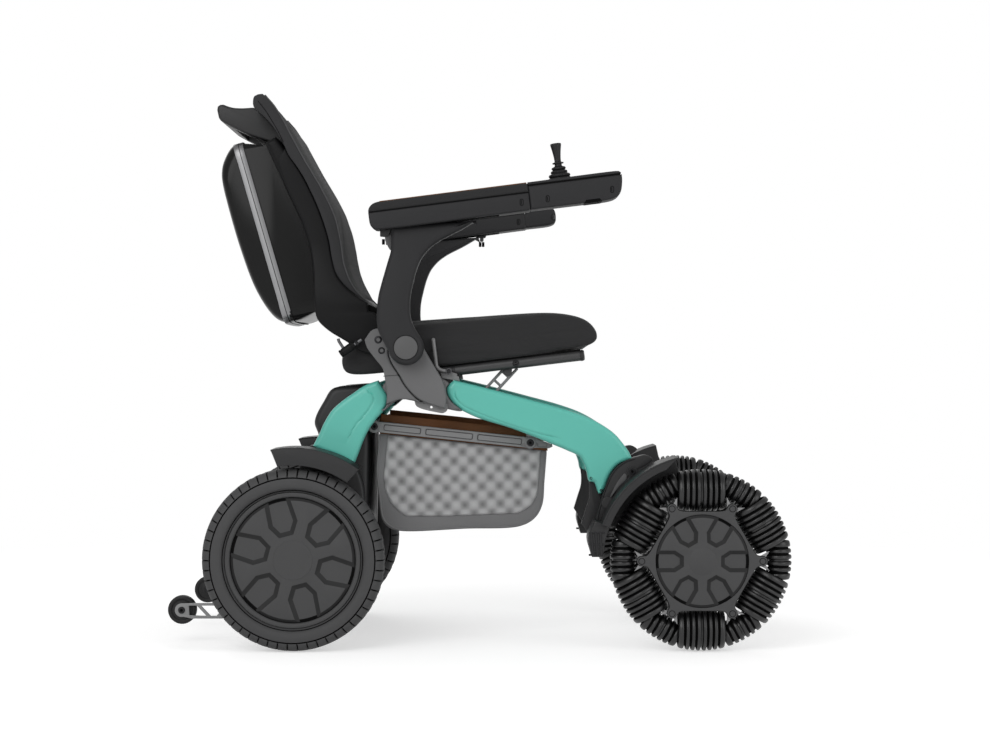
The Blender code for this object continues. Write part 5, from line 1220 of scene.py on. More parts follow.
def front_hood(name, side):
    """The front fork arm and stub with the fender, its stay and the mud flap that it carries."""
    inner = side * 0.2274
    reach = degrees(atan2(FORK_BOLT[1] - FRONT_AXLE[1], FORK_BOLT[0] - FRONT_AXLE[0]))
    foot = (FORK_BOLT[0] + 0.012, FORK_BOLT[1] - 0.022)
    arm = (arc(FRONT_AXLE, 0.027, reach - 260, reach - 100, 20) + arc(foot, 0.013, reach - 60, reach + 60, 10))[::-1]
    parts = [plate(name, arm, inner, side * 0.2366, "black_plastic", 0.0018)]
    stay = at_mm([(279, 334), (264, 328), (254, 321), (245.5, 313), (239, 303), (234, 291), (228.5, 278), (223, 266),
                  (218, 248), (213, 232), (207, 208), (202, 184), (210, 180), (222, 206), (227, 230), (236, 254),
                  (249, 277), (266, 297), (285, 312), (304, 323), (312, 331), (300, 338)])
    parts.append(plate(name + "_stay", smooth_loop(stay, 0.004, corners=(0, 11, 12)), side * 0.2060, side * 0.2350,
                       "black_plastic", 0.0018))
    # The rib along the stay's edge is lighter plastic: painted highlight.
    rib = at_mm([(280, 332), (264, 326.5), (253, 319), (244, 310), (237.5, 300), (232, 287), (226.5, 272), (221, 254),
                 (216.5, 236), (213, 216)])
    parts.append(tube(name + "_rib", [(x, side * 0.2350, z) for x, z in rib], 0.0016, "grey_plastic_and_edge_highlight", 10))
    panel = at_mm([(263, 306), (254, 297), (243, 279), (236, 262), (241, 268), (253, 284), (266, 299)])
    parts += [
        plate(name + "_panel", smooth_loop(panel, 0.004), side * 0.2340, side * 0.2358, "cap_grey", 0.0006),
        turned(name + "_boss", at_mm([(0, 0), (9.2, 0), (9.2, 3), (8.2, 4), (0, 4)]),
               (0.2755, side * 0.2345, 0.3092), (0, side, 0), "black_plastic", 36),
        socket_bolt(name + "_bolt", (0.2755, side * 0.2385, 0.3092), (0, side, 0), 0.0058),
    ]
    back = at_mm([(200, 296), (202, 277), (201, 260), (195.5, 242), (187.5, 216), (203, 192), (210, 200), (216, 230),
                  (222, 258), (214, 284)])
    parts += [
        plate(name + "_back", smooth_loop(back, 0.004, corners=(0, 4, 5)), side * 0.1880, side * 0.2080,
              "black_plastic", 0.0018),
        across(name + "_stub", FRONT_AXLE, side * 0.231, side * 0.2700, 0.0099, "dark_steel", 32),
    ]
    first, last = 103, 160
    band = arc(FRONT_AXLE, 0.1845, first, last, 48) + arc(FRONT_AXLE, 0.1810, last, first, 48)
    parts.append(plate(name + "_band", band, inner, side * FENDER_OUT, "black_plastic", 0.0010))
    wall = arc(FRONT_AXLE, 0.1830, first, last, 48) + smooth_line(arc(FRONT_AXLE, 0.130, last, first, 12), 0.006)
    parts.append(plate(name + "_wall", wall, inner, side * 0.2362, "black_plastic", 0.0012))
    # The lip along the fender's edge is lighter plastic: painted highlight.
    lip = [(x, side * 0.3166, z) for x, z in arc(FRONT_AXLE, 0.1822, first, last, 40)]
    parts.append(tube(name + "_lip", lip, 0.0016, "grey_plastic_and_edge_highlight", 10, bent=False))
    skirt = arc(FRONT_AXLE, 0.1838, first + 1, last, 40) + arc(FRONT_AXLE, 0.1700, last, first + 8, 20)
    parts.append(plate(name + "_skirt", skirt, side * 0.3150, side * (FENDER_OUT - 0.0003), "black_plastic", 0.0012))
    end = arc(FRONT_AXLE, 0.1830, last - 1, last, 2)[1]
    flap = shift(end, [(-13, 7), (14, -2), (6, -24), (1, -56), (-18, -56), (-25, -24)])
    parts.append(plate(name + "_flap", smooth_loop(flap, 0.004, corners=(0, 1, 3, 4)), side * 0.2294, side * 0.3060,
                       "black_plastic", 0.0020))
    # The flap's ribs are lighter plastic: painted highlight.
    ribs = [([(-20 + 8 * k, -12), (-16 + 7 * k, -54)], 0.3062, 0.0024) for k in range(3)]
    ribs += [([(-24, height), (4, height)], 0.3058, 0.0018) for height in (-14, -34, -52)]
    for k, (line, plane, radius) in enumerate(ribs):
        a, b = [(x, side * plane, z) for x, z in shift(end, line)]
        parts.append(rod(f"{name}_flap_rib_{k}", a, b, radius, "grey_plastic_and_edge_highlight", 12))
    return merge(*parts)


# Bag
MESH_LEFT = [(-127, 226), (-148, 244), (-158, 262), (-165, 290), (-162, 330), (-158, 372)]
MESH_TOP = [(-158, 372), (-60, 362), (116, 344)]
MESH_RIGHT = [(74, 231), (91, 239), (104, 252), (110, 270), (113, 305), (116, 344)]
MESH_LOW = [(-127, 226), (-60, 226), (20, 229), (74, 231)]


def quilt(points):
    """Diamond quilting in rows along the bag's top edge."""
    slope, turns = radians(QUILT_SLOPE), 2 * pi / QUILT_PITCH
    u = points[:, 0] * cos(slope) + points[:, 1] * sin(slope)
    v = -points[:, 0] * sin(slope) + points[:, 1] * cos(slope)
    lattice = np.cos(turns * u + QUILT_PHASE[0]) * np.cos(turns * v + QUILT_PHASE[1])
    return 0.0011 + 0.0017 * lattice


def bag(name):
    """The open bag: a soft gusset, trimmed sides, and a brown strap round its top."""
    left_top = (RAIL_REAR[0] + 0.0100, RAIL_REAR[1] + 0.010)
    right_top = (RAIL_FRONT[0] - 0.0100, RAIL_FRONT[1] + 0.010)
    side_line = [left_top, right_top, (right_top[0], 0.349), (0.1265, 0.3425), (0.1225, 0.290), (0.1185, 0.247),
                 (0.106, 0.2235), (0.080, 0.2085), (-0.020, 0.2035), (-0.134, 0.1995), (-0.155, 0.2050),
                 (-0.168, 0.220), (-0.1745, 0.262), (-0.1778, 0.304), (-0.1735, 0.372), (left_top[0], 0.3755)]
    outline = smooth_loop(side_line, 0.005, corners=(0, 1, 2, 3, 14, 15))
    wrap = [Vector(p) for p in smooth_line(side_line[3:15], 0.005)]
    inner = [Vector(p) for p in beside([tuple(p) for p in wrap], -0.0034)]
    half = BAG_HALF - 0.0010
    section = [(p.x, p.y) for p in wrap] + [(p.x, p.y) for p in reversed(inner)]
    parts = [plate(name, section, -half, half, "bag_trim", 0.0010)]
    for tag, side in SIDES.items():
        parts.append(plate(f"{name}_wall_{tag}", outline, side * (half - 0.0030), side * BAG_HALF, "bag_trim", 0.0012))
        strap = at_mm([(-170, 409), (-172, 374), (-60, 362), (60, 350), (128, 343), (128, 351), (92, 356), (88, 381),
                       (-40, 396)])
        parts.append(plate(f"{name}_strap_{tag}", smooth_loop(strap, 0.006, corners=range(9)), side * 0.1668,
                           side * 0.1709, "strap_brown", 0.0006))
        bind = [(x, side * 0.1706, z) for x, z in smooth_line(at_mm([(125, 340), (121, 290), (117, 247), (105, 225),
                                                                    (80, 211), (-20, 206), (-134, 202), (-153, 208),
                                                                    (-166, 222), (-172, 262), (-176, 304),
                                                                    (-172, 370)]), 0.005)]
        parts.append(tube(f"{name}_binding_{tag}", bind, 0.0017, "bag_trim", 10, bent=False))
    for k, (x, z) in enumerate((left_top, right_top)):
        parts.append(block(f"{name}_end_{k}", (x - 0.0015, -half, z - 0.026), (x + 0.0015, half, z + 0.004),
                           "strap_brown", 0.0010))
    body = merge(*parts)
    panels = []
    for tag, side in SIDES.items():
        lines = [smooth_line(at_mm(line), 0.004) for line in (MESH_LEFT, MESH_TOP, MESH_RIGHT, MESH_LOW)]
        panels.append(patch(f"{name}_mesh_{tag}", lines[0], lines[1], lines[2], lines[3], side * (BAG_HALF - 0.0015),
                            side * (BAG_HALF + 0.0012), "bag_mesh", 0.0024, quilt, (150, 90)))
    return body, panels


def rail_point(share, drop=0.0):
    """A place along the seat rail, dropped below its centre line."""
    x = SEAT_RAIL_REAR[0] + (SEAT_RAIL_FRONT[0] - SEAT_RAIL_REAR[0]) * share
    return x, SEAT_RAIL_REAR[1] + (SEAT_RAIL_FRONT[1] - SEAT_RAIL_REAR[1]) * share - drop


PROP_PIN = rail_point(0.44, 0.0135)
PROP_FOOT = (PROP_PIN[0] - 0.046, PROP_PIN[1] - 0.050)
PROP_Y = 0.177


def seat_rails(name):
    """The rails under the cushion, their cross bars, eyes, pins and the prop's lugs."""
    parts = []
    slope = atan2(SEAT_RAIL_FRONT[1] - SEAT_RAIL_REAR[1], SEAT_RAIL_FRONT[0] - SEAT_RAIL_REAR[0])
    for tag, side in SIDES.items():
        y = side * SEAT_RAIL_Y
        rear, front = rail_point(-0.09), rail_point(1.012)
        parts.append(rod(f"{name}_{tag}", (rear[0], y, rear[1]), (front[0], y, front[1]), 0.0094, "black_tube", 40,
                         0.0015))
        for share in (0.035, 0.990):
            a, b = rail_point(share - 0.012), rail_point(share + 0.012)
            parts.append(rod(f"{name}_collar_{tag}", (a[0], y, a[1]), (b[0], y, b[1]), 0.0100, "black_plastic", 40))
        block_line = at_mm([(-63, 483), (-44, 484.5), (-31, 480.5), (-28.5, 468), (-60, 473)])
        parts.append(plate(f"{name}_block_{tag}", block_line, side * 0.2010, side * 0.2120, "satin_grey", 0.0010))
        spot = (-0.0310, side * 0.2115, 0.4790)
        parts.append(socket_bolt(f"{name}_block_bolt_{tag}", spot, (0, side, 0), 0.0024))
        # A near-black strip along each rail's top, under the cushion: painted shade in the gap.
        gap_shade_line = tilted(rail_point(0.0), slope, at_mm([(-40, 4), (236, 4), (236, 11.2), (-40, 11.2)]))
        parts.append(plate(f"{name}_pan_{tag}", gap_shade_line, side * 0.1880, side * 0.2000, "black_and_painted_shade", 0.0005))
        bolt = rail_point(0.50)
        parts.append(socket_bolt(f"{name}_bolt_{tag}", (bolt[0], y + side * 0.0086, bolt[1]), (0, side, 0), 0.0060))
        foot = rail_point(0.03, 0.001)
        link = arc(SEAT_PIVOT, 0.0228, 60, 300, 24) + [(foot[0], foot[1] - 0.0068), (foot[0] + 0.004, foot[1]),
                                                      (foot[0], foot[1] + 0.0058)]
        hole = list(reversed(arc(SEAT_PIVOT, 0.0166, 0, 350, 36)))
        parts.append(plate(f"{name}_eye_{tag}", link, side * 0.150, side * 0.160, "black_tube", 0.0012,
                           holes=[hole]))
    for k, share in enumerate((0.03, 0.52, 0.93)):
        parts.append(across(f"{name}_bar_{k}", rail_point(share, 0.001), -SEAT_RAIL_Y, SEAT_RAIL_Y, 0.0074,
                            "black_tube", 32))
    parts.append(across(name + "_pin", rail_point(0.0), -SEAT_RAIL_Y, -EAR_OUT + 0.0004, 0.0039, "bolt_black", 24))
    for k, y in enumerate((-PROP_Y - 0.0085, -PROP_Y + 0.0055)):
        lug = shift(PROP_PIN, [(-6, -5), (0, -7), (6, -5), (8, 16), (-8, 16)])
        parts.append(plate(f"{name}_lug_{k}", smooth_loop(lug, 0.003, corners=(3, 4)), y, y + 0.003, "black_tube",
                           0.0005))
    parts += [
        block(name + "_strip", (PROP_PIN[0] - 0.010, -SEAT_RAIL_Y, PROP_PIN[1] + 0.008),
              (PROP_PIN[0] + 0.010, -PROP_Y + 0.010, PROP_PIN[1] + 0.013), "black_tube", 0.0008),
        across(name + "_prop_pin", PROP_PIN, -PROP_Y - 0.0080, -PROP_Y + 0.0070, 0.0024, "bolt_black", 20),
    ]
    return merge(*parts)


def prop(name):
    """The ladder-shaped prop under the right rail."""
    run = Vector((PROP_FOOT[0] - PROP_PIN[0], PROP_FOOT[1] - PROP_PIN[1]))
    wide = Vector((-run.y, run.x)).normalized() * 0.0086
    parts = []
    for k, sign in enumerate((-1, 1)):
        a, b = Vector(PROP_PIN) + wide * sign - run * (0.10 + 0.14 * sign), Vector(PROP_FOOT) + wide * sign
        parts.append(rod(f"{name}_bar_{k}", (a.x, -PROP_Y, a.y), (b.x, -PROP_Y, b.y), 0.0026, "satin_grey", 20, 0.0012))
    for k, share in enumerate((0.09, 0.40, 0.70, 1.0)):
        a, b = Vector(PROP_PIN) + run * share - wide, Vector(PROP_PIN) + run * share + wide
        parts.append(rod(f"{name}_rung_{k}", (a.x, -PROP_Y, a.y), (b.x, -PROP_Y, b.y), 0.0024, "satin_grey", 16))
    eye = at_mm([(3.1, 0), (5.4, 0), (5.7, 0.5), (5.7, 5.5), (5.4, 6), (3.1, 6)])
    parts.append(turned(name + "_eye", eye, (PROP_PIN[0], -PROP_Y + 0.0015, PROP_PIN[1]), (0, -1, 0), "satin_grey",
                        24, around=True))
    return merge(*parts)


def lever(name):
    """The bent lever beside the cushion, with a rounded end and an eye."""
    rear = rail_point(0.0)
    y = -(EAR_IN + EAR_OUT) / 2
    path = [(x, y, z) for x, z in shift(rear, [(-27, 56), (-23.5, 28), (-20.5, 8.5), (-16, 3.5), (-3, 0)])]
    bar = tube(name, path, 0.0032, "satin_grey", 24, 0.0015)
    tip = turned(name + "_tip", at_mm([(0, 3.2), (1.6, 2.9), (2.8, 1.6), (3.3, 0), (3.3, -1), (0, -1)]),
                 path[0], Vector(path[0]) - Vector(path[1]), "satin_grey", 24)
    eye = at_mm([(4.1, -3), (5.2, -3), (5.6, -2.6), (5.6, 3), (5.2, 3.4), (4.1, 3.4)])
    ring = turned(name + "_eye", eye, (rear[0], y, rear[1]), (0, -1, 0), "dark_steel", 40, around=True)
    return merge(bar, tip, ring)


# Padded pieces
def lofted(name, sections, finish, levels):
    """A closed skin over section rings, subdivided so that its rings and profile run smooth."""
    obj = skin(name, sections, finish, smooth=50)
    bm = bmesh.new()
    bm.from_mesh(obj.data)
    bmesh.ops.triangulate(bm, faces=[f for f in bm.faces if len(f.verts) > 4])
    bm.to_mesh(obj.data)
    bm.free()
    return apply_modifier(obj, "SUBSURF", levels=levels, render_levels=levels)


def apply_modifier(obj, kind, **settings):
    """Add a modifier, and keep what it makes in the mesh."""
    modifier = obj.modifiers.new("shape", kind)
    for key, value in settings.items():
        setattr(modifier, key, value)
    bpy.context.view_layer.update()
    graph = bpy.context.evaluated_depsgraph_get()
    mesh = bpy.data.meshes.new_from_object(obj.evaluated_get(graph))
    obj.modifiers.clear()
    old = obj.data
    obj.data = mesh
    bpy.data.meshes.remove(old)
    return obj


def points_of(obj):
    """The object's vertices as an array."""
    co = np.empty(len(obj.data.vertices) * 3)
    obj.data.vertices.foreach_get("co", co)
    return co.reshape(-1, 3)


def set_points(obj, co):
    obj.data.vertices.foreach_set("co", np.ascontiguousarray(co, float).reshape(-1))
    obj.data.update()


def puff(obj, cell, pressure, reach, hold=None):
    """Swell a cushion with cloth under pressure, moving no point further than the reach."""
    apply_modifier(obj, "REMESH", mode="VOXEL", voxel_size=cell, use_smooth_shade=True)
    rest = points_of(obj)
    modifier = obj.modifiers.new("swell", "CLOTH")
    cloth = modifier.settings
    cloth.quality = 6
    cloth.mass = 0.3
    cloth.tension_stiffness = 18
    cloth.compression_stiffness = 18
    cloth.shear_stiffness = 8
    cloth.bending_stiffness = 0.6
    cloth.use_pressure = True
    cloth.uniform_pressure_force = pressure
    cloth.effector_weights.gravity = 0.0
    if hold is not None:
        group = obj.vertex_groups.new(name="held")
        weights = np.clip(hold(rest), 0.0, 1.0)
        for index in np.nonzero(weights > 0.02)[0]:
            group.add([int(index)], float(weights[index]), "REPLACE")
        cloth.vertex_group_mass = "held"
    for step in range(1, 21):
        bpy.context.scene.frame_set(step)
    graph = bpy.context.evaluated_depsgraph_get()
    swollen = obj.evaluated_get(graph).to_mesh()
    moved = np.empty(len(swollen.vertices) * 3)
    swollen.vertices.foreach_get("co", moved)
    moved = moved.reshape(-1, 3)
    obj.modifiers.clear()
    obj.vertex_groups.clear()
    bpy.context.scene.frame_set(1)
    if len(moved) != len(rest):
        raise RuntimeError(f"{obj.name}: the cloth changed the mesh")
    move = moved - rest
    length = np.linalg.norm(move, axis=1, keepdims=True)
    set_points(obj, rest + move * np.minimum(1.0, reach / np.maximum(length, 1e-9)))
    return obj


def seat_pad(name):
    """The seat cushion: a crowned block with a rounded front edge and a welt round its side."""
    base = rail_point(0.0)
    slope = atan2(SEAT_RAIL_FRONT[1] - SEAT_RAIL_REAR[1], SEAT_RAIL_FRONT[0] - SEAT_RAIL_REAR[0])
    origin = (base[0], base[1] + 0.0101)
    profile = at_mm([(-174, 0.8), (-60, 0.8), (110, 0.8), (228, 0.8), (254, 2.5), (267.2, 9.5), (270.5, 18.5),
                     (267.5, 32.5), (256, 48), (238.5, 57.5), (213, 65.5), (184, 70.5), (140, 73.8), (55, 78),
                     (-41, 83.5), (-100, 83.5), (-150, 74), (-180, 54), (-190, 32), (-187, 12)])
    stations = [(-1.0, 0.16, 0.84, 0.975), (-0.988, 0.06, 0.93, 0.992), (-0.96, 0.0, 0.985, 1.0),
                (-0.86, 0.0, 1.0, 1.0), (-0.66, 0.0, 1.0, 1.0), (-0.40, 0.0, 0.975, 0.998), (-0.15, 0.0, 0.95, 0.996)]
    stations += [(-share, tuck, rise, length) for share, tuck, rise, length in reversed(stations)]
    rings = []
    for share, tuck, rise, length in stations:
        ring = []
        for u, v in profile:
            v = v * rise + tuck * 0.030 * max(0.0, 1.0 - v / 0.040)
            u = 0.036 + (u - 0.036) * length
            x, z = tilted(origin, slope, [(u, v)])[0]
            ring.append((x, share * (EAR_IN - 0.0040), z))
        rings.append(ring)
    pad = lofted(name, rings, "seat_fabric", 2)
    flat = tilted(origin, slope, [(0.0, 0.006)])[0][1]
    puff(pad, 0.0050, 4.0, sizes().seat_swell, lambda co: np.clip((flat + 0.02 - co[:, 2]) / 0.02, 0.0, 1.0))
    apply_modifier(pad, "SUBSURF", levels=1, render_levels=1)
    co = points_of(pad)
    local = np.stack([(co[:, 0] - origin[0]) * cos(slope) + (co[:, 2] - origin[1]) * sin(slope),
                      -(co[:, 0] - origin[0]) * sin(slope) + (co[:, 2] - origin[1]) * cos(slope)], 1)
    local[:, 1] = np.maximum(local[:, 1], 0.0006)
    wide = EAR_IN - 0.0016
    y = np.clip(co[:, 1], -wide, wide)
    side = np.clip((np.abs(co[:, 1]) - wide + 0.012) / 0.012, 0.0, 1.0)
    welt = np.exp(-((local[:, 1] - 0.0290 - 0.010 * np.clip(local[:, 0] / 0.25, -1, 1)) / 0.0016) ** 2)
    y -= np.sign(co[:, 1]) * side * welt * 0.0016
    rng = np.random.default_rng(7)
    crumple = ripples(co * (14.0, 9.0, 14.0), rng, 5) * 0.0007 * side
    y -= np.sign(co[:, 1]) * np.abs(crumple)
    x = origin[0] + local[:, 0] * cos(slope) - local[:, 1] * sin(slope)
    z = origin[1] + local[:, 0] * sin(slope) + local[:, 1] * cos(slope)
    set_points(pad, np.stack([x, y, z], 1))
    pad.data.shade_smooth()
    return pad


def ripples(points, rng, count):
    """A soft sum of slanted waves, from about -1 to 1."""
    total = np.zeros(len(points))
    for k in range(count):
        way = rng.normal(size=3)
        way /= np.linalg.norm(way)
        total += np.sin(points @ way * (2.0 + 1.7 * k) + rng.uniform(0, 2 * pi)) / (1.0 + k)
    return total / 2.0


BACK_LINE = [(-20, 77), (-39.5, 96.5), (-52, 116), (-63, 146), (-69, 186), (-79.5, 230), (-102.5, 278.6),
             (-116.5, 302.6), (-131, 326.7), (-145, 352), (-159, 377.7), (-170.5, 400), (-187, 426.5), (-196, 437),
             (-203, 445)]
BACK_REAR = [(-208, 447), (-216, 446), (-222, 443), (-224, 439), (-223.5, 424), (-212, 414), (-190, 390),
             (-170.5, 358), (-162, 339.5), (-145, 315.5), (-133.5, 297), (-123.5, 277), (-113, 254.7), (-99.6, 219.5),
             (-90, 186.5), (-85, 156.5), (-76.5, 126.5), (-60, 105), (-40, 88), (-20, 70)]
BACK_JOINT = [(-216, 434.5), (-210, 427), (-201.5, 416), (-190, 397.5), (-180, 380.5), (-170.5, 361)]
SPINE_REAR = [(-115, 62), (-119, 92), (-122, 140), (-127, 174), (-141, 219), (-164, 269), (-191, 328), (-206, 361)]
BACK_HALF = 0.213


def back_pad(name):
    """The back cushion: a slab within the shell's rim, a little full in its middle."""
    line = smooth_line(shift(BACK_PIVOT, BACK_LINE), 0.004)[3:-3]
    seam = spread(line, 34, ends=False)
    run = np.gradient(seam, axis=0)
    run /= np.linalg.norm(run, axis=1, keepdims=True)
    nose = np.stack([run[:, 1], -run[:, 0]], 1)
    ends = np.clip(np.minimum(np.arange(34), np.arange(34)[::-1]) / 3.0, 0.0, 1.0)[:, None] ** 0.5
    rings = []
    stations = [(-1.0, -3.5), (-0.990, -0.9), (-0.965, 0.4), (-0.90, 1.3), (-0.75, 2.2), (-0.45, 2.6), (-0.15, 2.0)]
    for share, crown in stations + [(-share, crown) for share, crown in reversed(stations)]:
        front = seam + nose * (crown * MM * ends - 0.0015 * (1 - ends))
        points = np.vstack([front, (seam - nose * 0.011)[::-1]])
        rings.append([(x, share * (BACK_HALF - 0.0035), z) for x, z in points])
    pad = lofted(name, rings, "seat_fabric", 1)

    def inside(co):
        near = line_distance(co[:, (0, 2)], line)[2]
        return np.clip((near[:, 0] - co[:, 0]) / 0.004, 0.0, 1.0)

    puff(pad, 0.0045, 4.0, sizes().back_swell, inside)
    apply_modifier(pad, "SUBSURF", levels=1, render_levels=1)
    co = points_of(pad)
    co[:, 1] = np.clip(co[:, 1], 0.0025 - BACK_HALF, BACK_HALF - 0.0025)
    set_points(pad, co)
    pad.data.shade_smooth()
    return pad


def back_shell(name):
    """The moulded back: its rimmed shell with a light cord of painted highlight, a deep middle darkened as painted
    shade, ears and looped push handle.
    """
    seam = beside(smooth_line(shift(BACK_PIVOT, BACK_LINE), 0.006), 0.0012)
    outline = seam + smooth_line(shift(BACK_PIVOT, BACK_REAR), 0.006)
    parts = [plate(name, outline, -BACK_HALF, BACK_HALF, "grey_plastic_and_edge_highlight", 0.0012)]
    core = smooth_line(shift(BACK_PIVOT, SPINE_REAR), 0.006)
    core = beside(core, -0.0015) + shift(BACK_PIVOT, [(-185, 372), (-165, 345), (-134, 300), (-113, 256), (-98, 215),
                                                     (-88, 160), (-72, 120), (-50, 88), (-46, 60), (-54, 44),
                                                     (-70, 42), (-92, 46)])
    # The set-back middle takes a darker copy of the plastic: painted shade between the case and the rim.
    parts.append(plate(name + "_core", core, -0.2085, 0.2085, "dark_plastic_and_shell_shade", 0.0090))
    ear = shift(BACK_PIVOT, [(-168, 352), (-160, 338), (-145, 315), (-133.5, 296), (-123.5, 276.5), (-113, 254),
                             (-99.6, 219), (-90, 186), (-85, 156), (-76.5, 126), (-60, 104.5), (-40, 88), (-20.5, 77),
                             (-19, 62), (-6, 58), (8, 30), (14, 2), (0, -14), (-34, -9), (-57, 7), (-92, 29),
                             (-110, 48), (-115, 75), (-117, 120), (-121, 160), (-129, 197), (-143, 233), (-160, 268),
                             (-174, 302), (-181, 332)])
    ear = smooth_loop(ear, 0.005, corners=(0, 12, 13))
    bore = list(reversed(arc(BACK_PIVOT, 0.0067, 0, 350, 30)))
    for tag, side in SIDES.items():
        blade = plate(f"{name}_ear_{tag}", ear, side * EAR_IN, side * EAR_OUT, "dark_plastic_and_shell_shade", 0.0040, 0.0010,
                      holes=[bore])
        co = points_of(blade)
        t = np.clip((co[:, 2] - BACK_PIVOT[1] - 0.075) / 0.110, 0.0, 1.0)
        co[:, 1] -= side * 0.0155 * t * t * (3 - 2 * t)
        set_points(blade, co)
        parts.append(blade)
        tie = shift(BACK_PIVOT, [(-60, 95), (-54, 60), (-60, 46), (-88, 44), (-102, 56), (-100, 110)])
        parts.append(plate(f"{name}_tie_{tag}", tie, side * 0.200, side * (EAR_IN + 0.002), "black_plastic", 0.001))
        # A thin cord along each side of the seam, light as painted highlight on the edge.
        rim = [(x, side * (BACK_HALF - 0.0008), z) for x, z in beside(line_of(BACK_LINE), 0.0004)]
        parts.append(tube(f"{name}_rim_{tag}", rim, 0.0013, "seam_highlight", 12, bent=False))
        joint = [(x, side * (BACK_HALF - 0.0004), z) for x, z in line_of(BACK_JOINT)]
        parts.append(tube(f"{name}_joint_{tag}", joint, 0.0008, "black_and_painted_shade", 8, bent=False))
        tab = shift(BACK_PIVOT, [(-20, 74), (-6, 68), (-2, 60), (-19, 60)])
        parts.append(plate(f"{name}_tab_{tag}", tab, side * 0.2120, side * 0.2180, "black_and_painted_shade", 0.0004))
    wing = shift(BACK_PIVOT, [(-223, 428), (-232, 431.5), (-242, 431), (-256.5, 430.5), (-271, 431.7), (-280, 434.4),
                              (-286.7, 437), (-292.5, 436.7), (-297, 433.5), (-298, 427.5), (-296.5, 420), (-295, 413),
                              (-292, 408.5), (-274.5, 398), (-254.6, 388), (-232, 378.4), (-206, 370), (-178, 358.5),
                              (-172, 368), (-200, 405)])
    parts += handle_loop(name + "_handle", smooth_loop(wing, 0.005, corners=(0, 17, 18)))
    return merge(*parts)


def line_of(points):
    """The seam's line in the chair's frame, in fine steps."""
    return smooth_line(shift(BACK_PIVOT, points), 0.005)


def handle_loop(name, wing):
    """The push handle: two arms and a grip, rounded all along."""
    slot_rear = BACK_PIVOT[0] - 0.268
    slot_front = BACK_PIVOT[0] - 0.232
    parts = []
    grip = clip_line(wing, slot_rear, keep_below=True)
    foot = clip_line(wing, slot_front, keep_below=False)
    parts += [
        plate(name, grip, -0.1325, 0.1325, "black_plastic", 0.0040),
        plate(name + "_foot", foot, -0.1320, 0.1320, "black_plastic", 0.0040),
    ]
    for tag, side in SIDES.items():
        parts.append(plate(f"{name}_arm_{tag}", wing, side * 0.105, side * 0.135, "black_plastic", 0.0045))
    return parts


def clip_line(loop, level, keep_below):
    """The part of a closed loop on one side of an upright line."""
    out = []
    for a, b in zip(loop, loop[1:] + loop[:1]):
        keep_a = (a[0] <= level) == keep_below
        keep_b = (b[0] <= level) == keep_below
        if keep_a:
            out.append(a)
        if keep_a != keep_b:
            t = (level - a[0]) / (b[0] - a[0])
            out.append((level, a[1] + (b[1] - a[1]) * t))
    return out


CASE_REAR = [(-249, 366), (-268, 362), (-285, 334), (-289, 312), (-287, 292), (-277, 251), (-256, 179), (-229, 106),
             (-206, 67), (-190, 50), (-176, 44), (-150, 46)]
BAND_A = [(-267, 362), (-176, 49)]
BAND_B = [(-249, 366), (-157, 49)]


def case(name):
    """The hard case: a domed lid and a deep body with a double band of trim where they close."""
    front = beside(shift(BACK_PIVOT, SPINE_REAR), 0.0004)
    outline = front + shift(BACK_PIVOT, CASE_REAR)
    smooth = smooth_loop(outline, 0.006, corners=(0, 7))
    centre = Vector(BACK_PIVOT) + Vector((-0.190, 0.210))
    rings = []
    stations = [(-1.0, 0.80), (-0.996, 0.85), (-0.985, 0.90), (-0.965, 0.938), (-0.93, 0.968), (-0.88, 0.988),
                (-0.80, 1.0)]
    stations += [(-share, grow) for share, grow in reversed(stations)]
    keep_back = np.array(front)
    for share, grow in stations:
        ring = []
        for x, z in smooth:
            away = float(line_distance(np.array([[x, z]]), keep_back)[0][0])
            g = 1.0 - (1.0 - grow) * min(1.0, away / 0.070)
            ring.append((centre.x + (x - centre.x) * g, share * 0.168, centre.y + (z - centre.y) * g))
        rings.append(ring)
    shell = skin(name, rings, "case_shell", smooth=50)
    return merge(shell, *case_bands(name, rings))


def case_bands(name, rings):
    """The light band round the case, with the dark joints along its middle and edges."""
    parts = []
    high, low = ([Vector(p) for p in shift(BACK_PIVOT, pair)] for pair in zip(BAND_A, BAND_B))
    bands = [("light", 0.5, 0.0182, "band_silver", 0.0009), ("joint", 0.52, 0.0013, "black_and_painted_shade", 0.0011),
             ("front", 0.985, 0.0008, "black_and_painted_shade", 0.0010), ("rear", 0.015, 0.0008, "black_and_painted_shade", 0.0010)]
    for tag, share, width, finish, proud in bands:
        top, foot = high[0].lerp(high[1], share), low[0].lerp(low[1], share)
        run = (foot - top).normalized()
        flank = Vector((-run.y, 0.0, run.x))
        upper, under = [], []
        for ring in rings:
            hits = cross_points([(p[0], p[2]) for p in ring], top, run)
            if len(hits) > 1:
                hits.sort(key=lambda p: (p - top).dot(run))
                upper.append(Vector((hits[0].x, ring[0][1], hits[0].y)))
                under.append(Vector((hits[-1].x, ring[0][1], hits[-1].y)))
        path = upper + under[::-1]
        middle = sum(path, Vector()) / len(path)
        path = [Vector(p) for p in smooth_loop(path, 0.006)]
        rows = []
        for i, p in enumerate(path):
            out = (path[(i + 1) % len(path)] - path[i - 1]).cross(flank).normalized()
            out *= 1.0 if out.dot(p - middle) > 0 else -1.0
            rows.append([p + flank * (width * a) + out * h for a, h in
                         ((0.5, -0.003), (0.5, proud * 0.5), (0.46, proud), (-0.46, proud), (-0.5, proud * 0.5),
                          (-0.5, -0.003))])
        parts.append(skin(f"{name}_band_{tag}", rows, finish, around=True))
    return parts


def cross_points(loop, start, run):
    """Where a straight line crosses a closed loop."""
    flank = Vector((-run.y, run.x))
    hits = []
    for a, b in zip(loop, loop[1:] + loop[:1]):
        a, b = Vector(a), Vector(b)
        da, db = (a - start).dot(flank), (b - start).dot(flank)
        if (da < 0) != (db < 0):
            hits.append(a.lerp(b, da / (da - db)))
    return hits


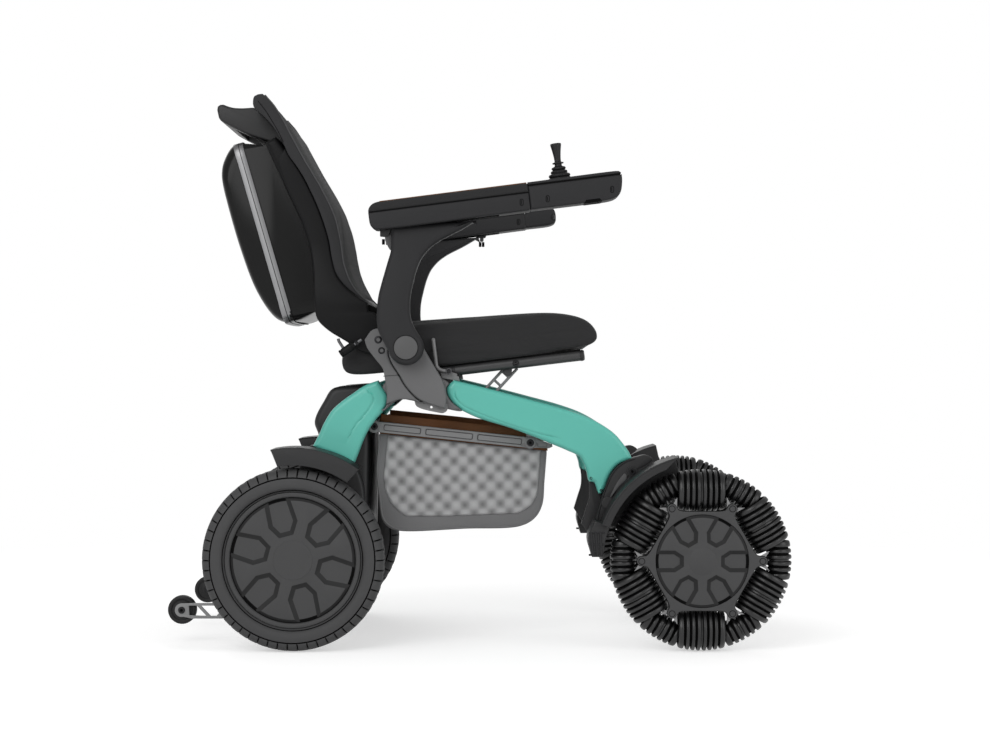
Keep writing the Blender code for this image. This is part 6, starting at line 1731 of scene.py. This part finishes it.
def lock(name):
    """The plunger handle of the recline lock: a knurled grip, its shaft and a bent wire."""
    y = -0.2385
    axis = Vector((cos(LOCK_TILT), 0.0, sin(LOCK_TILT)))
    seat = Vector((BACK_PIVOT[0] - 0.030, y, BACK_PIVOT[1] + 0.012)) - axis * 0.0003
    shaft = rod(name, seat - axis * 0.020, seat - axis * 0.0002, 0.0032, "dark_steel", 24)
    grip = turned(name + "_grip", at_mm([(0, 0), (6, 0), (7, 1), (7.2, 3), (6.4, 3.8), (6.4, 5.2), (7.3, 6),
                                         (7.3, 23.5), (6.4, 24.3), (6.4, 25.6), (7.2, 26.4), (6.7, 29.5), (5.3, 30),
                                         (0, 30)]),
                  seat - axis * 0.046, axis, "dark_plastic_and_shell_shade", 40)
    bend = seat - axis * 0.036
    rise = Vector((-0.011, 0.0, 0.018))
    wire = tube(name + "_wire", [bend, bend + rise * 0.5, bend + rise, bend + rise + Vector((-0.001, 0.0, 0.004))],
                0.0027, "dark_steel", 16, 0.002)
    nut = turned(name + "_nut", at_mm([(0, 0), (4.6, 0), (5, 0.6), (5, 4.4), (4.6, 5), (0, 5)]),
                 seat - axis * 0.0132, axis, "bolt_black", 6)
    return merge(shaft, grip, wire, nut)


# Arms and controls
ARM_OUTLINE = [(27, 14), (9, 48), (7, 84), (13, 116), (21, 143), (29, 159), (42, 174), (60, 187), (91, 203),
               (122, 221), (-26, 211), (-26, 186), (-26.5, 168), (-31, 152), (-36, 135), (-48, 90), (-50.5, 66),
               (-51, 48), (-48, 29), (-39, 5)]


def arm(name, side):
    """An armrest's swept upright, its boss and cap, and the casing under the pad."""
    near, far = side * ARM_IN, side * ARM_OUT
    boss = arc(ARM_PIVOT, 0.0307, 195, 385, 30)
    upright = boss + shift(ARM_PIVOT, ARM_OUTLINE[1:-1])
    upright = smooth_loop(upright, 0.005, corners=(30 + 8, 30 + 9))
    parts = [plate(name, upright, near, far, "grey_plastic_and_edge_highlight", 0.0090, 0.0030)]
    casing = at_mm([(4, 0), (268, 0), (270, 2), (270, 30.5), (-9.5, 30.5), (-9.5, 18), (-9, 11), (-6.5, 5),
                    (-2, 1.2)])
    casing = tilted(PAD_ORIGIN, PAD_SLOPE, smooth_loop(casing, 0.004, corners=(1, 2, 3, 4)))
    low, high = side * PAD_IN, side * PAD_OUT
    parts.append(plate(name + "_casing", casing, low, high, "grey_plastic_and_edge_highlight", 0.0035, 0.0035))
    shadow = tilted(PAD_ORIGIN, PAD_SLOPE, at_mm([(16, -1.6), (215, -1.6), (215, 1), (16, 1)]))
    parts.append(plate(name + "_shadow", shadow, near * 1.004, far * 0.998, "black_and_painted_shade", 0.0))
    if side > 0:
        end = at_mm([(266, 1), (320, 2), (328, 6), (330.2, 14), (330.2, 26), (327, 33), (318, 36.5), (271.5, 40),
                     (271.5, 30), (266, 30)])
        end = tilted(PAD_ORIGIN, PAD_SLOPE, smooth_loop(end, 0.003, corners=(0, 7, 8, 9)))
        parts.append(plate(name + "_end", end, side * (PAD_IN + 0.002), side * (PAD_OUT - 0.002), "grey_plastic_and_edge_highlight",
                           0.0050))
    line = tilted(PAD_ORIGIN, PAD_SLOPE, at_mm([(-7.8, 30), (269, 30), (269, 31.6), (-7.8, 31.6)]))
    parts.append(plate(name + "_joint", line, side * (PAD_IN + 0.0014), side * (PAD_OUT - 0.0012), "black_and_painted_shade", 0.0))
    cap = at_mm([(0, 3), (19, 3), (20, 2.6), (20.7, 1.6), (20.7, -4), (0, -4)])
    parts.append(turned(name + "_cap", cap, (ARM_PIVOT[0], far, ARM_PIVOT[1]), (0, side, 0), "cap_grey", 72))
    ring = at_mm([(20.7, -2), (21.6, -2), (21.6, 0.4), (20.7, 0.4)])
    parts.append(turned(name + "_ring", ring, (ARM_PIVOT[0], far, ARM_PIVOT[1]), (0, side, 0), "black_and_painted_shade", 60,
                        around=True))
    faces = [(high, side)] if side < 0 else [(high, side), (low, -side)]
    for k, (y, way) in enumerate(faces):
        for along in (0.256, 0.326)[:1 + (side > 0)]:
            x, z = tilted(PAD_ORIGIN, PAD_SLOPE, [(along, 0.0150 if along < 0.3 else 0.0160)])[0]
            parts.append(slot_screw(f"{name}_slot_{k}_{along}", (x, y, z), way))
    if side < 0:
        latch = at_mm([(-166, 734), (-166, 721), (-156, 720), (-150, 724), (-146, 735)])
        lobe = at_mm([(-158, 724), (-157, 713), (-153, 704), (-148, 697), (-146, 706), (-147, 724)])
        knobs = ((-0.1605, 0.7115), (-0.1535, 0.7110))
    else:
        latch = at_mm([(-6, 754), (-4, 748), (14, 748), (18, 756)])
        lobe = at_mm([(4, 750), (4, 741), (10, 741), (10, 750)])
        knobs = ((0.0040, 0.7350), (0.0100, 0.7350))
    parts += [
        plate(name + "_latch", latch, side * 0.262, side * 0.282, "black_plastic", 0.0008),
        plate(name + "_lobe", smooth_loop(lobe, 0.003, corners=(0,)), side * 0.266, side * 0.276, "cap_grey",
              0.0010),
    ]
    for k, (x, z) in enumerate(knobs):
        parts.append(rod(f"{name}_knob_{k}", (x, side * 0.272, z - 0.0048), (x, side * 0.272, z + 0.0048), 0.0026,
                         "black_and_painted_shade", 16))
    if side > 0:
        for k, (x, z) in enumerate(((-0.1165, 0.6985), (-0.1525, 0.6560))):
            parts.append(socket_bolt(f"{name}_screw_{k}", (x, near, z), (0, -side, 0), 0.0040, proud=0.0012))
    return merge(*parts)


def oval(x, z, half_wide, half_high):
    """An upright oblong with round ends."""
    lift = half_high - half_wide
    return arc((x, z + lift), half_wide, 0, 180, 10) + arc((x, z - lift), half_wide, 180, 360, 10)


def slot_screw(name, place, side):
    """An upright oblong pocket in a casing's side, with a dark rim and a dark screw line in it: both near black as
    painted shade in the hollow.
    """
    x, y, z = place
    hole = list(reversed(oval(x, z, 0.0022, 0.0050)))
    # Rim and line are near black: painted shade on the pocket's wall and in the screw's slot.
    rim = plate(name, oval(x, z, 0.0033, 0.0061), y - side * 0.0020, y + side * 0.0002, "black_and_painted_shade", 0.0, holes=[hole])
    floor = plate(name + "_floor", oval(x, z, 0.0024, 0.0052), y - side * 0.0025, y - side * 0.0001, "cap_grey", 0.0)
    line = plate(name + "_line", oval(x - 0.0006, z, 0.0007, 0.0038), y - side * 0.0020, y + side * 0.0001,
                 "black_and_painted_shade", 0.0)
    return merge(rim, floor, line)


def arm_pad(name, side):
    """An arm pad: a firm, round-edged strip over the casing."""
    low, high = side * PAD_IN, side * PAD_OUT
    outline = at_mm([(-9.5, 31.3), (270, 31.3), (270, 45.5), (267.5, 47.4), (240, 47.7), (20, 47.7), (8, 47.3),
                     (0, 45.2), (-6, 40.5), (-9, 35)])
    outline = tilted(PAD_ORIGIN, PAD_SLOPE, smooth_loop(outline, 0.004, corners=(0, 1, 2)))
    pad = plate(name, outline, low, high, "seat_fabric", 0.0045, 0.0045, smooth=60)
    strip = tilted(PAD_ORIGIN, PAD_SLOPE, at_mm([(12, 46.4), (268, 46.6), (268, 48.4), (12, 48.2)]))
    return merge(pad, plate(name + "_strip", strip, side * (PAD_IN + 0.0030), side * (PAD_OUT - 0.0020), "strap_brown",
                            0.0002))


def on_housing(along, rise):
    """A place over the control housing's top, in its middle plane."""
    x, z = tilted(PAD_ORIGIN, PAD_SLOPE, [(0.270 + along, 0.048 + rise)])[0]
    return Vector((x, -PAD_MIDDLE, z))


HOUSING_UP = Vector((-sin(PAD_SLOPE), 0.0, cos(PAD_SLOPE)))
HOUSING_ALONG = Vector((cos(PAD_SLOPE), 0.0, sin(PAD_SLOPE)))
STICK_AT = 0.058
BUTTON_AT = 0.134


def controller(name):
    """The control housing: a rounded body under a thin top plate, a dark joint, a port and a slide tongue."""
    start = tilted(PAD_ORIGIN, PAD_SLOPE, [(0.270, 0.0)])[0]
    body = at_mm([(0.4, 1), (100, 0.6), (136, 0.8), (147.5, 2.8), (155, 7), (159.5, 14), (161.8, 22), (163.6, 32),
                  (164, 41.8), (0.4, 41.8)])
    top = at_mm([(0.4, 44), (163.2, 44), (161.8, 46.2), (159, 48), (154, 48.6), (0.4, 48.2)])
    joint = at_mm([(1.2, 41.2), (161, 41.2), (161, 44.6), (1.2, 44.6)])
    near, far = -PAD_MIDDLE - 0.033, -PAD_MIDDLE + 0.033
    parts = []
    loop = tilted(start, PAD_SLOPE, smooth_loop(body, 0.004, corners=(0, 8, 9)))
    parts.append(plate(name, loop, near, far, "grey_plastic_and_edge_highlight", 0.0038))
    loop = tilted(start, PAD_SLOPE, smooth_loop(top, 0.004, corners=(0, 1, 5)))
    parts += [
        plate(name + "_top", loop, near, far, "grey_plastic_and_edge_highlight", 0.0014),
        plate(name + "_joint", tilted(start, PAD_SLOPE, joint), near + 0.0016, far - 0.0016,
              "black_and_painted_shade", 0.0),
    ]
    tongue = at_mm([(-110, 9), (10, 9), (10, 23), (-110, 23)])
    parts.append(plate(name + "_tongue", tilted(start, PAD_SLOPE, tongue), -0.289, -0.259, "grey_plastic_and_edge_highlight", 0.001))
    port = at_mm([(94, -0.4), (124, -0.4), (121, 5.2), (97, 5.2)])
    parts.append(plate(name + "_port", tilted(start, PAD_SLOPE, port), near - 0.0002, -0.250, "black_and_painted_shade", 0.0))
    for k, along in enumerate((0.0315, 0.144)):
        x, z = tilted(start, PAD_SLOPE, [(along, 0.015 + 0.018 * along)])[0]
        parts.append(slot_screw(f"{name}_slot_{k}", (x, near, z), -1))
    base = on_housing(STICK_AT, 0.0)
    ring = at_mm([(10.5, -4), (21.2, -4), (21.2, 0.8), (20.3, 2.8), (18, 3.6), (16, 3.6), (15.5, 3), (10.5, 3)])
    parts.append(turned(name + "_collar", ring, base, HOUSING_UP, "soft_rubber", 60, around=True, out=HOUSING_ALONG))
    button = on_housing(BUTTON_AT, 0.0)
    bezel = at_mm([(8.4, -2), (11.2, -2), (11, 0.6), (10, 1.4), (8.8, 1.4), (8.4, 0.8)])
    parts.append(turned(name + "_bezel", bezel, button, HOUSING_UP, "black_plastic", 48, around=True,
                        out=HOUSING_ALONG))
    lamps = on_housing(0.100, 0.0)
    for k in range(5):
        spot = lamps + Vector((0, -0.016 + 0.008 * k, 0))
        parts.append(turned(f"{name}_lamp_{k}",
                            at_mm([(0, 0.4), (1.2, 0.4), (1.5, 0), (1.5, -1), (0, -1)]), spot, HOUSING_UP,
                            "black_and_painted_shade", 20))
    return merge(*parts)


def bellows(name):
    """The two folds of the stick's rubber boot, a lower and an upper."""
    base = on_housing(STICK_AT, 0.0)
    lower = at_mm([(12.5, 4.2), (17.6, 4.2), (18.9, 6), (19, 7.8), (17.8, 9.6), (15, 10.6), (11.5, 10.6)])
    upper = at_mm([(11.5, 10.6), (15, 10.6), (14, 11.4), (14.6, 12.4), (14.8, 14), (13.6, 15.6), (11.6, 16.4),
                   (10.7, 17), (7, 17)])
    return [turned(tag, profile, base, HOUSING_UP, "soft_rubber", 60, around=True, out=HOUSING_ALONG)
            for tag, profile in ((name, lower), (name + "_top", upper))]


def stick(name):
    """The stick, the collar that draws the boot in, and the flared knob."""
    base = on_housing(STICK_AT, 0.0)
    profile = at_mm([(0, -11.5), (5, -11.5), (5, -6.5), (4.4, -6), (4.4, 17), (10.8, 17.2), (12.2, 18.4),
                     (12.6, 20), (11.8, 21.6), (9.6, 22.6), (6.8, 23.6), (6.2, 26.2), (6.4, 27.4), (9.4, 27.8),
                     (10, 28.8), (9.6, 30), (6.6, 30.6), (5.7, 32), (5.8, 37), (6.6, 44), (7.8, 52), (9, 58),
                     (9.6, 61), (9.5, 62.4), (8.6, 63.4), (7.2, 63.7), (6, 63), (0, 62.2)])
    return turned(name, profile, base, HOUSING_UP, "soft_rubber", 60, out=HOUSING_ALONG, smooth=50)


def button(name):
    """The power button's round cap."""
    profile = at_mm([(0, -3.8), (6.9, -3.8), (7, -2), (7, 1.4), (6.4, 2.1), (5.2, 2.3), (4.8, 1.8), (0, 1.6)])
    return turned(name, profile, on_housing(BUTTON_AT, 0.0), HOUSING_UP, "bolt_black", 48, out=HOUSING_ALONG)


# Stage
def floor_finish(tone, reach):
    """A pale floor: it keeps soft shadows near the chair and fades to plain white further out."""
    look = Look("stage_floor", (tone, tone, tone), 0.9)
    spot = look.node("ShaderNodeTexCoord", output="Object")
    away = look.node("ShaderNodeVectorMath", {"operation": "LENGTH"}, {0: spot}, output=1)
    fade = look.node("ShaderNodeMapRange", {"interpolation_type": "SMOOTHSTEP"},
                     {"Value": away, "From Min": reach * 0.75, "From Max": reach})
    path = [look.node("ShaderNodeLightPath", output=output)
            for output in ("Is Camera Ray", "Is Glossy Ray", "Is Transmission Ray")]
    seen = look.node("ShaderNodeMath", {"operation": "MAXIMUM"}, {0: path[0], 1: path[1]})
    seen = look.node("ShaderNodeMath", {"operation": "MAXIMUM"}, {0: seen, 1: path[2]})
    glow = look.node("ShaderNodeEmission", None, {"Color": (1, 1, 1, 1), "Strength": 1.0})
    lift = look.node("ShaderNodeEmission", None, {"Color": (1, 1, 1, 1), "Strength": 0.50})
    lit = look.node("ShaderNodeAddShader", None, {0: Value(look, look.shader.outputs[0]), 1: lift})
    near = look.node("ShaderNodeMixShader", None, {0: fade, 1: lit, 2: glow})
    whole = look.node("ShaderNodeMixShader", None, {0: seen, 1: Value(look, look.shader.outputs[0]), 2: near})
    surface = look.tree.nodes["Material Output"].inputs["Surface"]
    look.tree.links.new(whole.socket, surface)
    return look.material


def build_floor(settings):
    """A wide round floor, marked as the stage."""
    bm = bmesh.new()
    bmesh.ops.create_circle(bm, cap_ends=True, radius=40.0, segments=128)
    mesh = bpy.data.meshes.new("stage_floor")
    bm.to_mesh(mesh)
    bm.free()
    mesh.materials.append(floor_finish(settings.floor_tone, settings.floor_reach))
    ground = bpy.data.objects.new("stage_floor", mesh)
    ground.location.z = -0.0002
    bpy.context.scene.collection.objects.link(ground)


def build_sky(settings):
    """An even white surround, plain white where it is seen."""
    sky = Look("stage_sky", (1.0, 1.0, 1.0), world=True)
    seen = [sky.node("ShaderNodeLightPath", output=output) for output in ("Is Camera Ray", "Is Transmission Ray")]
    seen = sky.node("ShaderNodeMath", {"operation": "MAXIMUM"}, {0: seen[0], 1: seen[1]})
    strength = sky.node("ShaderNodeMapRange", None,
                        {"Value": seen, "To Min": settings.sky_light, "To Max": 1.0})
    sky.feed("Strength", strength)


def lamp(name, place, aim, size, power):
    """A soft square lamp turned towards a point."""
    light = bpy.data.lights.new(name, "AREA")
    light.shape = "SQUARE"
    light.size = size
    light.energy = power
    obj = bpy.data.objects.new(name, light)
    obj.location = place
    obj.rotation_euler = (Vector(aim) - Vector(place)).to_track_quat("-Z", "Y").to_euler()
    bpy.context.scene.collection.objects.link(obj)


def build_camera():
    """The photograph's view: level, from the chair's right side."""
    data = bpy.data.cameras.new("camera")
    data.sensor_width = 36.0
    data.lens = 81.16
    data.shift_x = -0.0020
    data.shift_y = -0.0111
    camera = bpy.data.objects.new("camera", data)
    camera.location = (0.0375, -4.164, 0.5055)
    camera.rotation_euler = (pi / 2, 0, 0)
    bpy.context.scene.collection.objects.link(camera)
    bpy.context.scene.camera = camera


# Settings that a user may change
def length(title, about, default, low, high):
    return bpy.props.FloatProperty(name=title, description=about, default=default, min=low, max=high,
                                   subtype="DISTANCE", unit="LENGTH")


def tint(title, about, default):
    return bpy.props.FloatVectorProperty(name=title, description=about, default=default, size=3, min=0.0, max=1.0,
                                         subtype="COLOR")


TYRE_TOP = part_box("rear_tyre_r")[1].z / 2


class ChairSizes(bpy.types.PropertyGroup):
    """Sizes and counts of the dressed pieces."""
    tyre_radius: length("Tyre radius", "Radius of a rear tyre over its tread", round(TYRE_TOP, 4), 0.155, 0.160)
    tread_blocks: bpy.props.IntProperty(name="Tread blocks", description="Blocks round a rear tyre", default=54,
                                        min=24, max=90)
    rib_pitch: length("Rib pitch", "Distance between the ribs of a front roller", 0.0097, 0.004, 0.014)
    seat_swell: length("Seat swell", "How far the seat cushion's cover may swell", 0.0035, 0.0, 0.012)
    back_swell: length("Back swell", "How far the back cushion's cover may swell", 0.0030, 0.0, 0.012)


class ChairColours(bpy.types.PropertyGroup):
    """Colours of the finishes."""
    tyre: tint("Tyre rubber", "Rear tyres", (0.050, 0.050, 0.051))
    roller: tint("Roller rubber", "Front rollers, stick and small wheels", (0.0042, 0.0042, 0.0045))
    wheel: tint("Wheel plastic", "Rims and hubs", (0.050, 0.050, 0.051))
    teal: tint("Teal paint", "Beams and arches", (0.110, 0.480, 0.400))
    casting: tint("Cast grey", "Seat and back brackets", (0.118, 0.118, 0.120))
    satin: tint("Satin grey", "Side rails, anti-tip arms and prop", (0.200, 0.200, 0.202))
    plastic: tint("Black plastic", "Housings, fenders and back shell", (0.0125, 0.0125, 0.0132))
    cap: tint("Cap grey", "Caps on the arm pivots", (0.084, 0.084, 0.085))
    fabric: tint("Seat fabric", "Cushions and arm pads", (0.0160, 0.0160, 0.0166))
    tube: tint("Black tube", "Seat rails and cross tubes", (0.030, 0.030, 0.031))
    case: tint("Case shell", "Hard case on the back", (0.008, 0.008, 0.008))
    mesh: tint("Bag mesh", "Quilted sides of the bag", (0.420, 0.420, 0.424))
    trim: tint("Bag trim", "Bag's frame and binding", (0.135, 0.135, 0.137))
    steel: tint("Dark steel", "Pins, bolts and shafts", (0.100, 0.100, 0.105))
    silver: tint("Silver trim", "Stripes round the hard case", (0.235, 0.235, 0.240))
    leather: tint("Strap brown", "Straps that hold the bag", (0.150, 0.054, 0.013))


class StageSettings(bpy.types.PropertyGroup):
    """Floor, surround and lamps."""
    floor_tone: bpy.props.FloatProperty(name="Floor tone", description="How pale the floor is", default=0.72,
                                        min=0.0, max=1.0, subtype="FACTOR")
    floor_reach: length("Floor reach", "How far from the middle shadows are kept", 2.2, 0.5, 10.0)
    sky_light: bpy.props.FloatProperty(name="Surround light", description="Strength of the even white surround",
                                       default=0.55, min=0.0, max=2.0)
    key_power: bpy.props.FloatProperty(name="Key lamp", description="Power of the lamp beside the camera",
                                       default=70.0, min=0.0, max=500.0, unit="POWER")
    fill_power: bpy.props.FloatProperty(name="Fill lamp", description="Power of the lamp ahead of the chair",
                                        default=34.0, min=0.0, max=500.0, unit="POWER")
    back_power: bpy.props.FloatProperty(name="Back lamp", description="Power of the lamp behind the chair",
                                        default=30.0, min=0.0, max=500.0, unit="POWER")


def sizes():
    return bpy.context.scene.chair_sizes


class CHAIR_OT_finishes(bpy.types.Operator):
    """Make every finish from the colour settings"""
    bl_idname = "chair.finishes"
    bl_label = "Finishes"

    def execute(self, context):
        make_finishes(context.scene.chair_colours)
        return {"FINISHED"}


class CHAIR_OT_rear_wheels(bpy.types.Operator):
    """Make the treaded rear tyres and their pocketed rims"""
    bl_idname = "chair.rear_wheels"
    bl_label = "Rear wheels"

    def execute(self, context):
        for tag, side in SIDES.items():
            body = f"rear_wheel_{tag}"
            tyre = tread_ring(f"tyre_{tag}", side, sizes())
            mount(body, tyre, node=f"rear_tyre_{tag}")
            mount(body, rear_rim(f"rim_{tag}", side), node=f"rear_rim_{tag}")
        return {"FINISHED"}


class CHAIR_OT_front_wheels(bpy.types.Operator):
    """Make the roller wheels: hubs with their webs, and twelve ribbed rollers each"""
    bl_idname = "chair.front_wheels"
    bl_label = "Front wheels"

    def execute(self, context):
        for tag, side in SIDES.items():
            mount(f"front_wheel_{tag}", front_hub(f"hub_{tag}", side), node=f"front_hub_{tag}")
            for k in range(12):
                large, pitch, radial, tangent = roller_place(k)
                centre = Vector((FRONT_AXLE[0], side * HALF_TRACK, FRONT_AXLE[1])) + radial * pitch
                node = f"{'large' if large else 'small'}_roller_{tag}_{k // 2 + 1}"
                roller = ribbed_roller("ribbed_" + node, centre, tangent, radial, large, sizes())
                mount(node, roller, node=node)
        return {"FINISHED"}


class CHAIR_OT_anti_tip(bpy.types.Operator):
    """Make the small anti-tip wheels"""
    bl_idname = "chair.anti_tip"
    bl_label = "Anti-tip wheels"

    def execute(self, context):
        for tag, side in SIDES.items():
            mount(f"anti_tip_{tag}", small_wheel(f"tip_wheel_{tag}", side), node=f"anti_tip_wheel_{tag}")
        return {"FINISHED"}


class CHAIR_OT_chassis(bpy.types.Operator):
    """Make the painted beams and arches, the castings, the side rails and the drive unit"""
    bl_idname = "chair.chassis"
    bl_label = "Chassis"

    def execute(self, context):
        for tag, side in SIDES.items():
            mount("root", beam(f"beam_{tag}", side), node=f"front_beam_{tag}")
            mount("root", arch(f"arch_{tag}", side), node=f"rear_arch_{tag}")
            mount("root", rear_hood(f"rear_hood_{tag}", side), node=f"rear_fender_{tag}")
            mount("root", front_hood(f"front_hood_{tag}", side), node=f"front_fender_{tag}")
        mount("root", bridge("bridge"), node="seat_bridge_frame")
        mount("root", side_rails("side_rails"), node="lower_frame")
        mount("root", drive("drive"), node="drive_unit")
        return {"FINISHED"}


class CHAIR_OT_bag(bpy.types.Operator):
    """Make the open bag with its quilted sides"""
    bl_idname = "chair.bag"
    bl_label = "Storage bag"

    def execute(self, context):
        body, panels = bag("bag")
        mount("root", body, *panels, node="storage_bag")
        return {"FINISHED"}


class CHAIR_OT_seat_frame(bpy.types.Operator):
    """Make the seat rails, the lever and the ladder prop"""
    bl_idname = "chair.seat_frame"
    bl_label = "Seat frame"

    def execute(self, context):
        mount("seat", seat_rails("seat_rails"), node="seat_frame")
        mount("seat_lever", lever("lever"), node="seat_lever")
        mount("seat_prop", prop("prop_ladder"), node="seat_prop")
        return {"FINISHED"}


class CHAIR_OT_cushions(bpy.types.Operator):
    """Make the seat and back cushions"""
    bl_idname = "chair.cushions"
    bl_label = "Cushions"

    def execute(self, context):
        mount("seat", seat_pad("seat_pad"), node="seat_cushion")
        mount("backrest", back_pad("back_pad"), node="backrest_cushion")
        return {"FINISHED"}


class CHAIR_OT_back(bpy.types.Operator):
    """Make the back shell with its push handle, the hard case and the recline lock"""
    bl_idname = "chair.back"
    bl_label = "Back shell and case"

    def execute(self, context):
        mount("backrest", back_shell("back_shell"), node="backrest_shell")
        mount("backrest", case("case"), node="hard_case")
        mount("recline_lock", lock("lock"), node="recline_lock")
        return {"FINISHED"}


class CHAIR_OT_arms(bpy.types.Operator):
    """Make the armrests and their pads"""
    bl_idname = "chair.arms"
    bl_label = "Armrests"

    def execute(self, context):
        for tag, side in SIDES.items():
            mount(f"armrest_{tag}", arm(f"arm_{tag}", side), node=f"armrest_arm_{tag}")
            pad = mount(f"armrest_{tag}", arm_pad(f"arm_pad_{tag}", side), node=f"armrest_pad_{tag}")
        return {"FINISHED"}


class CHAIR_OT_controls(bpy.types.Operator):
    """Make the control housing, the joystick with its boot, and the power button"""
    bl_idname = "chair.controls"
    bl_label = "Controls"

    def execute(self, context):
        mount("controller", controller("controller_box"), node="control_housing")
        lower, upper = bellows("stick_boot")
        foot, waist, tip = (on_housing(STICK_AT, rise) for rise in (0.0042, 0.0108, 0.0168))
        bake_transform(lower)
        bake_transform(upper)
        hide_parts("joystick_boot")
        mount("joystick", stick("stick"), node="joystick_stick")
        mount("power_button", button("button_cap"), node="power_button")
        return {"FINISHED"}


class CHAIR_OT_stage(bpy.types.Operator):
    """Make the floor, the surround, the lamps and the camera"""
    bl_idname = "chair.stage"
    bl_label = "Stage"

    def execute(self, context):
        stage = context.scene.chair_stage
        build_floor(stage)
        build_sky(stage)
        middle = (0.0, 0.0, 0.45)
        lamp("key_lamp", (-1.6, -3.6, 2.3), middle, 2.6, stage.key_power)
        lamp("fill_lamp", (2.8, -2.6, 1.4), middle, 2.4, stage.fill_power)
        lamp("back_lamp", (-1.0, 3.6, 2.2), middle, 3.0, stage.back_power)
        build_camera()
        context.scene.view_settings.view_transform = "Standard"
        return {"FINISHED"}


OPERATORS = (CHAIR_OT_finishes, CHAIR_OT_rear_wheels, CHAIR_OT_front_wheels, CHAIR_OT_anti_tip, CHAIR_OT_chassis,
             CHAIR_OT_bag, CHAIR_OT_seat_frame, CHAIR_OT_cushions, CHAIR_OT_back, CHAIR_OT_arms, CHAIR_OT_controls,
             CHAIR_OT_stage)


class CHAIR_PT_panel(bpy.types.Panel):
    """The chair's settings and its build steps"""
    bl_idname = "CHAIR_PT_panel"
    bl_label = "Power wheelchair"
    bl_space_type = "VIEW_3D"
    bl_region_type = "UI"
    bl_category = "Wheelchair"

    def draw(self, context):
        scene = context.scene
        for group in (scene.chair_sizes, scene.chair_colours, scene.chair_stage):
            box = self.layout.box()
            for key in group.bl_rna.properties.keys():
                if key not in ("rna_type", "name"):
                    box.prop(group, key)
        for operator in OPERATORS:
            self.layout.operator(operator.bl_idname, text=operator.bl_label)


CLASSES = (ChairSizes, ChairColours, StageSettings, *OPERATORS, CHAIR_PT_panel)


def register():
    for cls in CLASSES:
        bpy.utils.register_class(cls)
    bpy.types.Scene.chair_sizes = bpy.props.PointerProperty(type=ChairSizes)
    bpy.types.Scene.chair_colours = bpy.props.PointerProperty(type=ChairColours)
    bpy.types.Scene.chair_stage = bpy.props.PointerProperty(type=StageSettings)


def unregister():
    for name in ("chair_sizes", "chair_colours", "chair_stage"):
        delattr(bpy.types.Scene, name)
    for cls in reversed(CLASSES):
        bpy.utils.unregister_class(cls)


def main():
    register()
    for operator in OPERATORS:
        family, _, step = operator.bl_idname.partition(".")
        getattr(getattr(bpy.ops, family), step)()


if __name__ == "__main__":
    main()
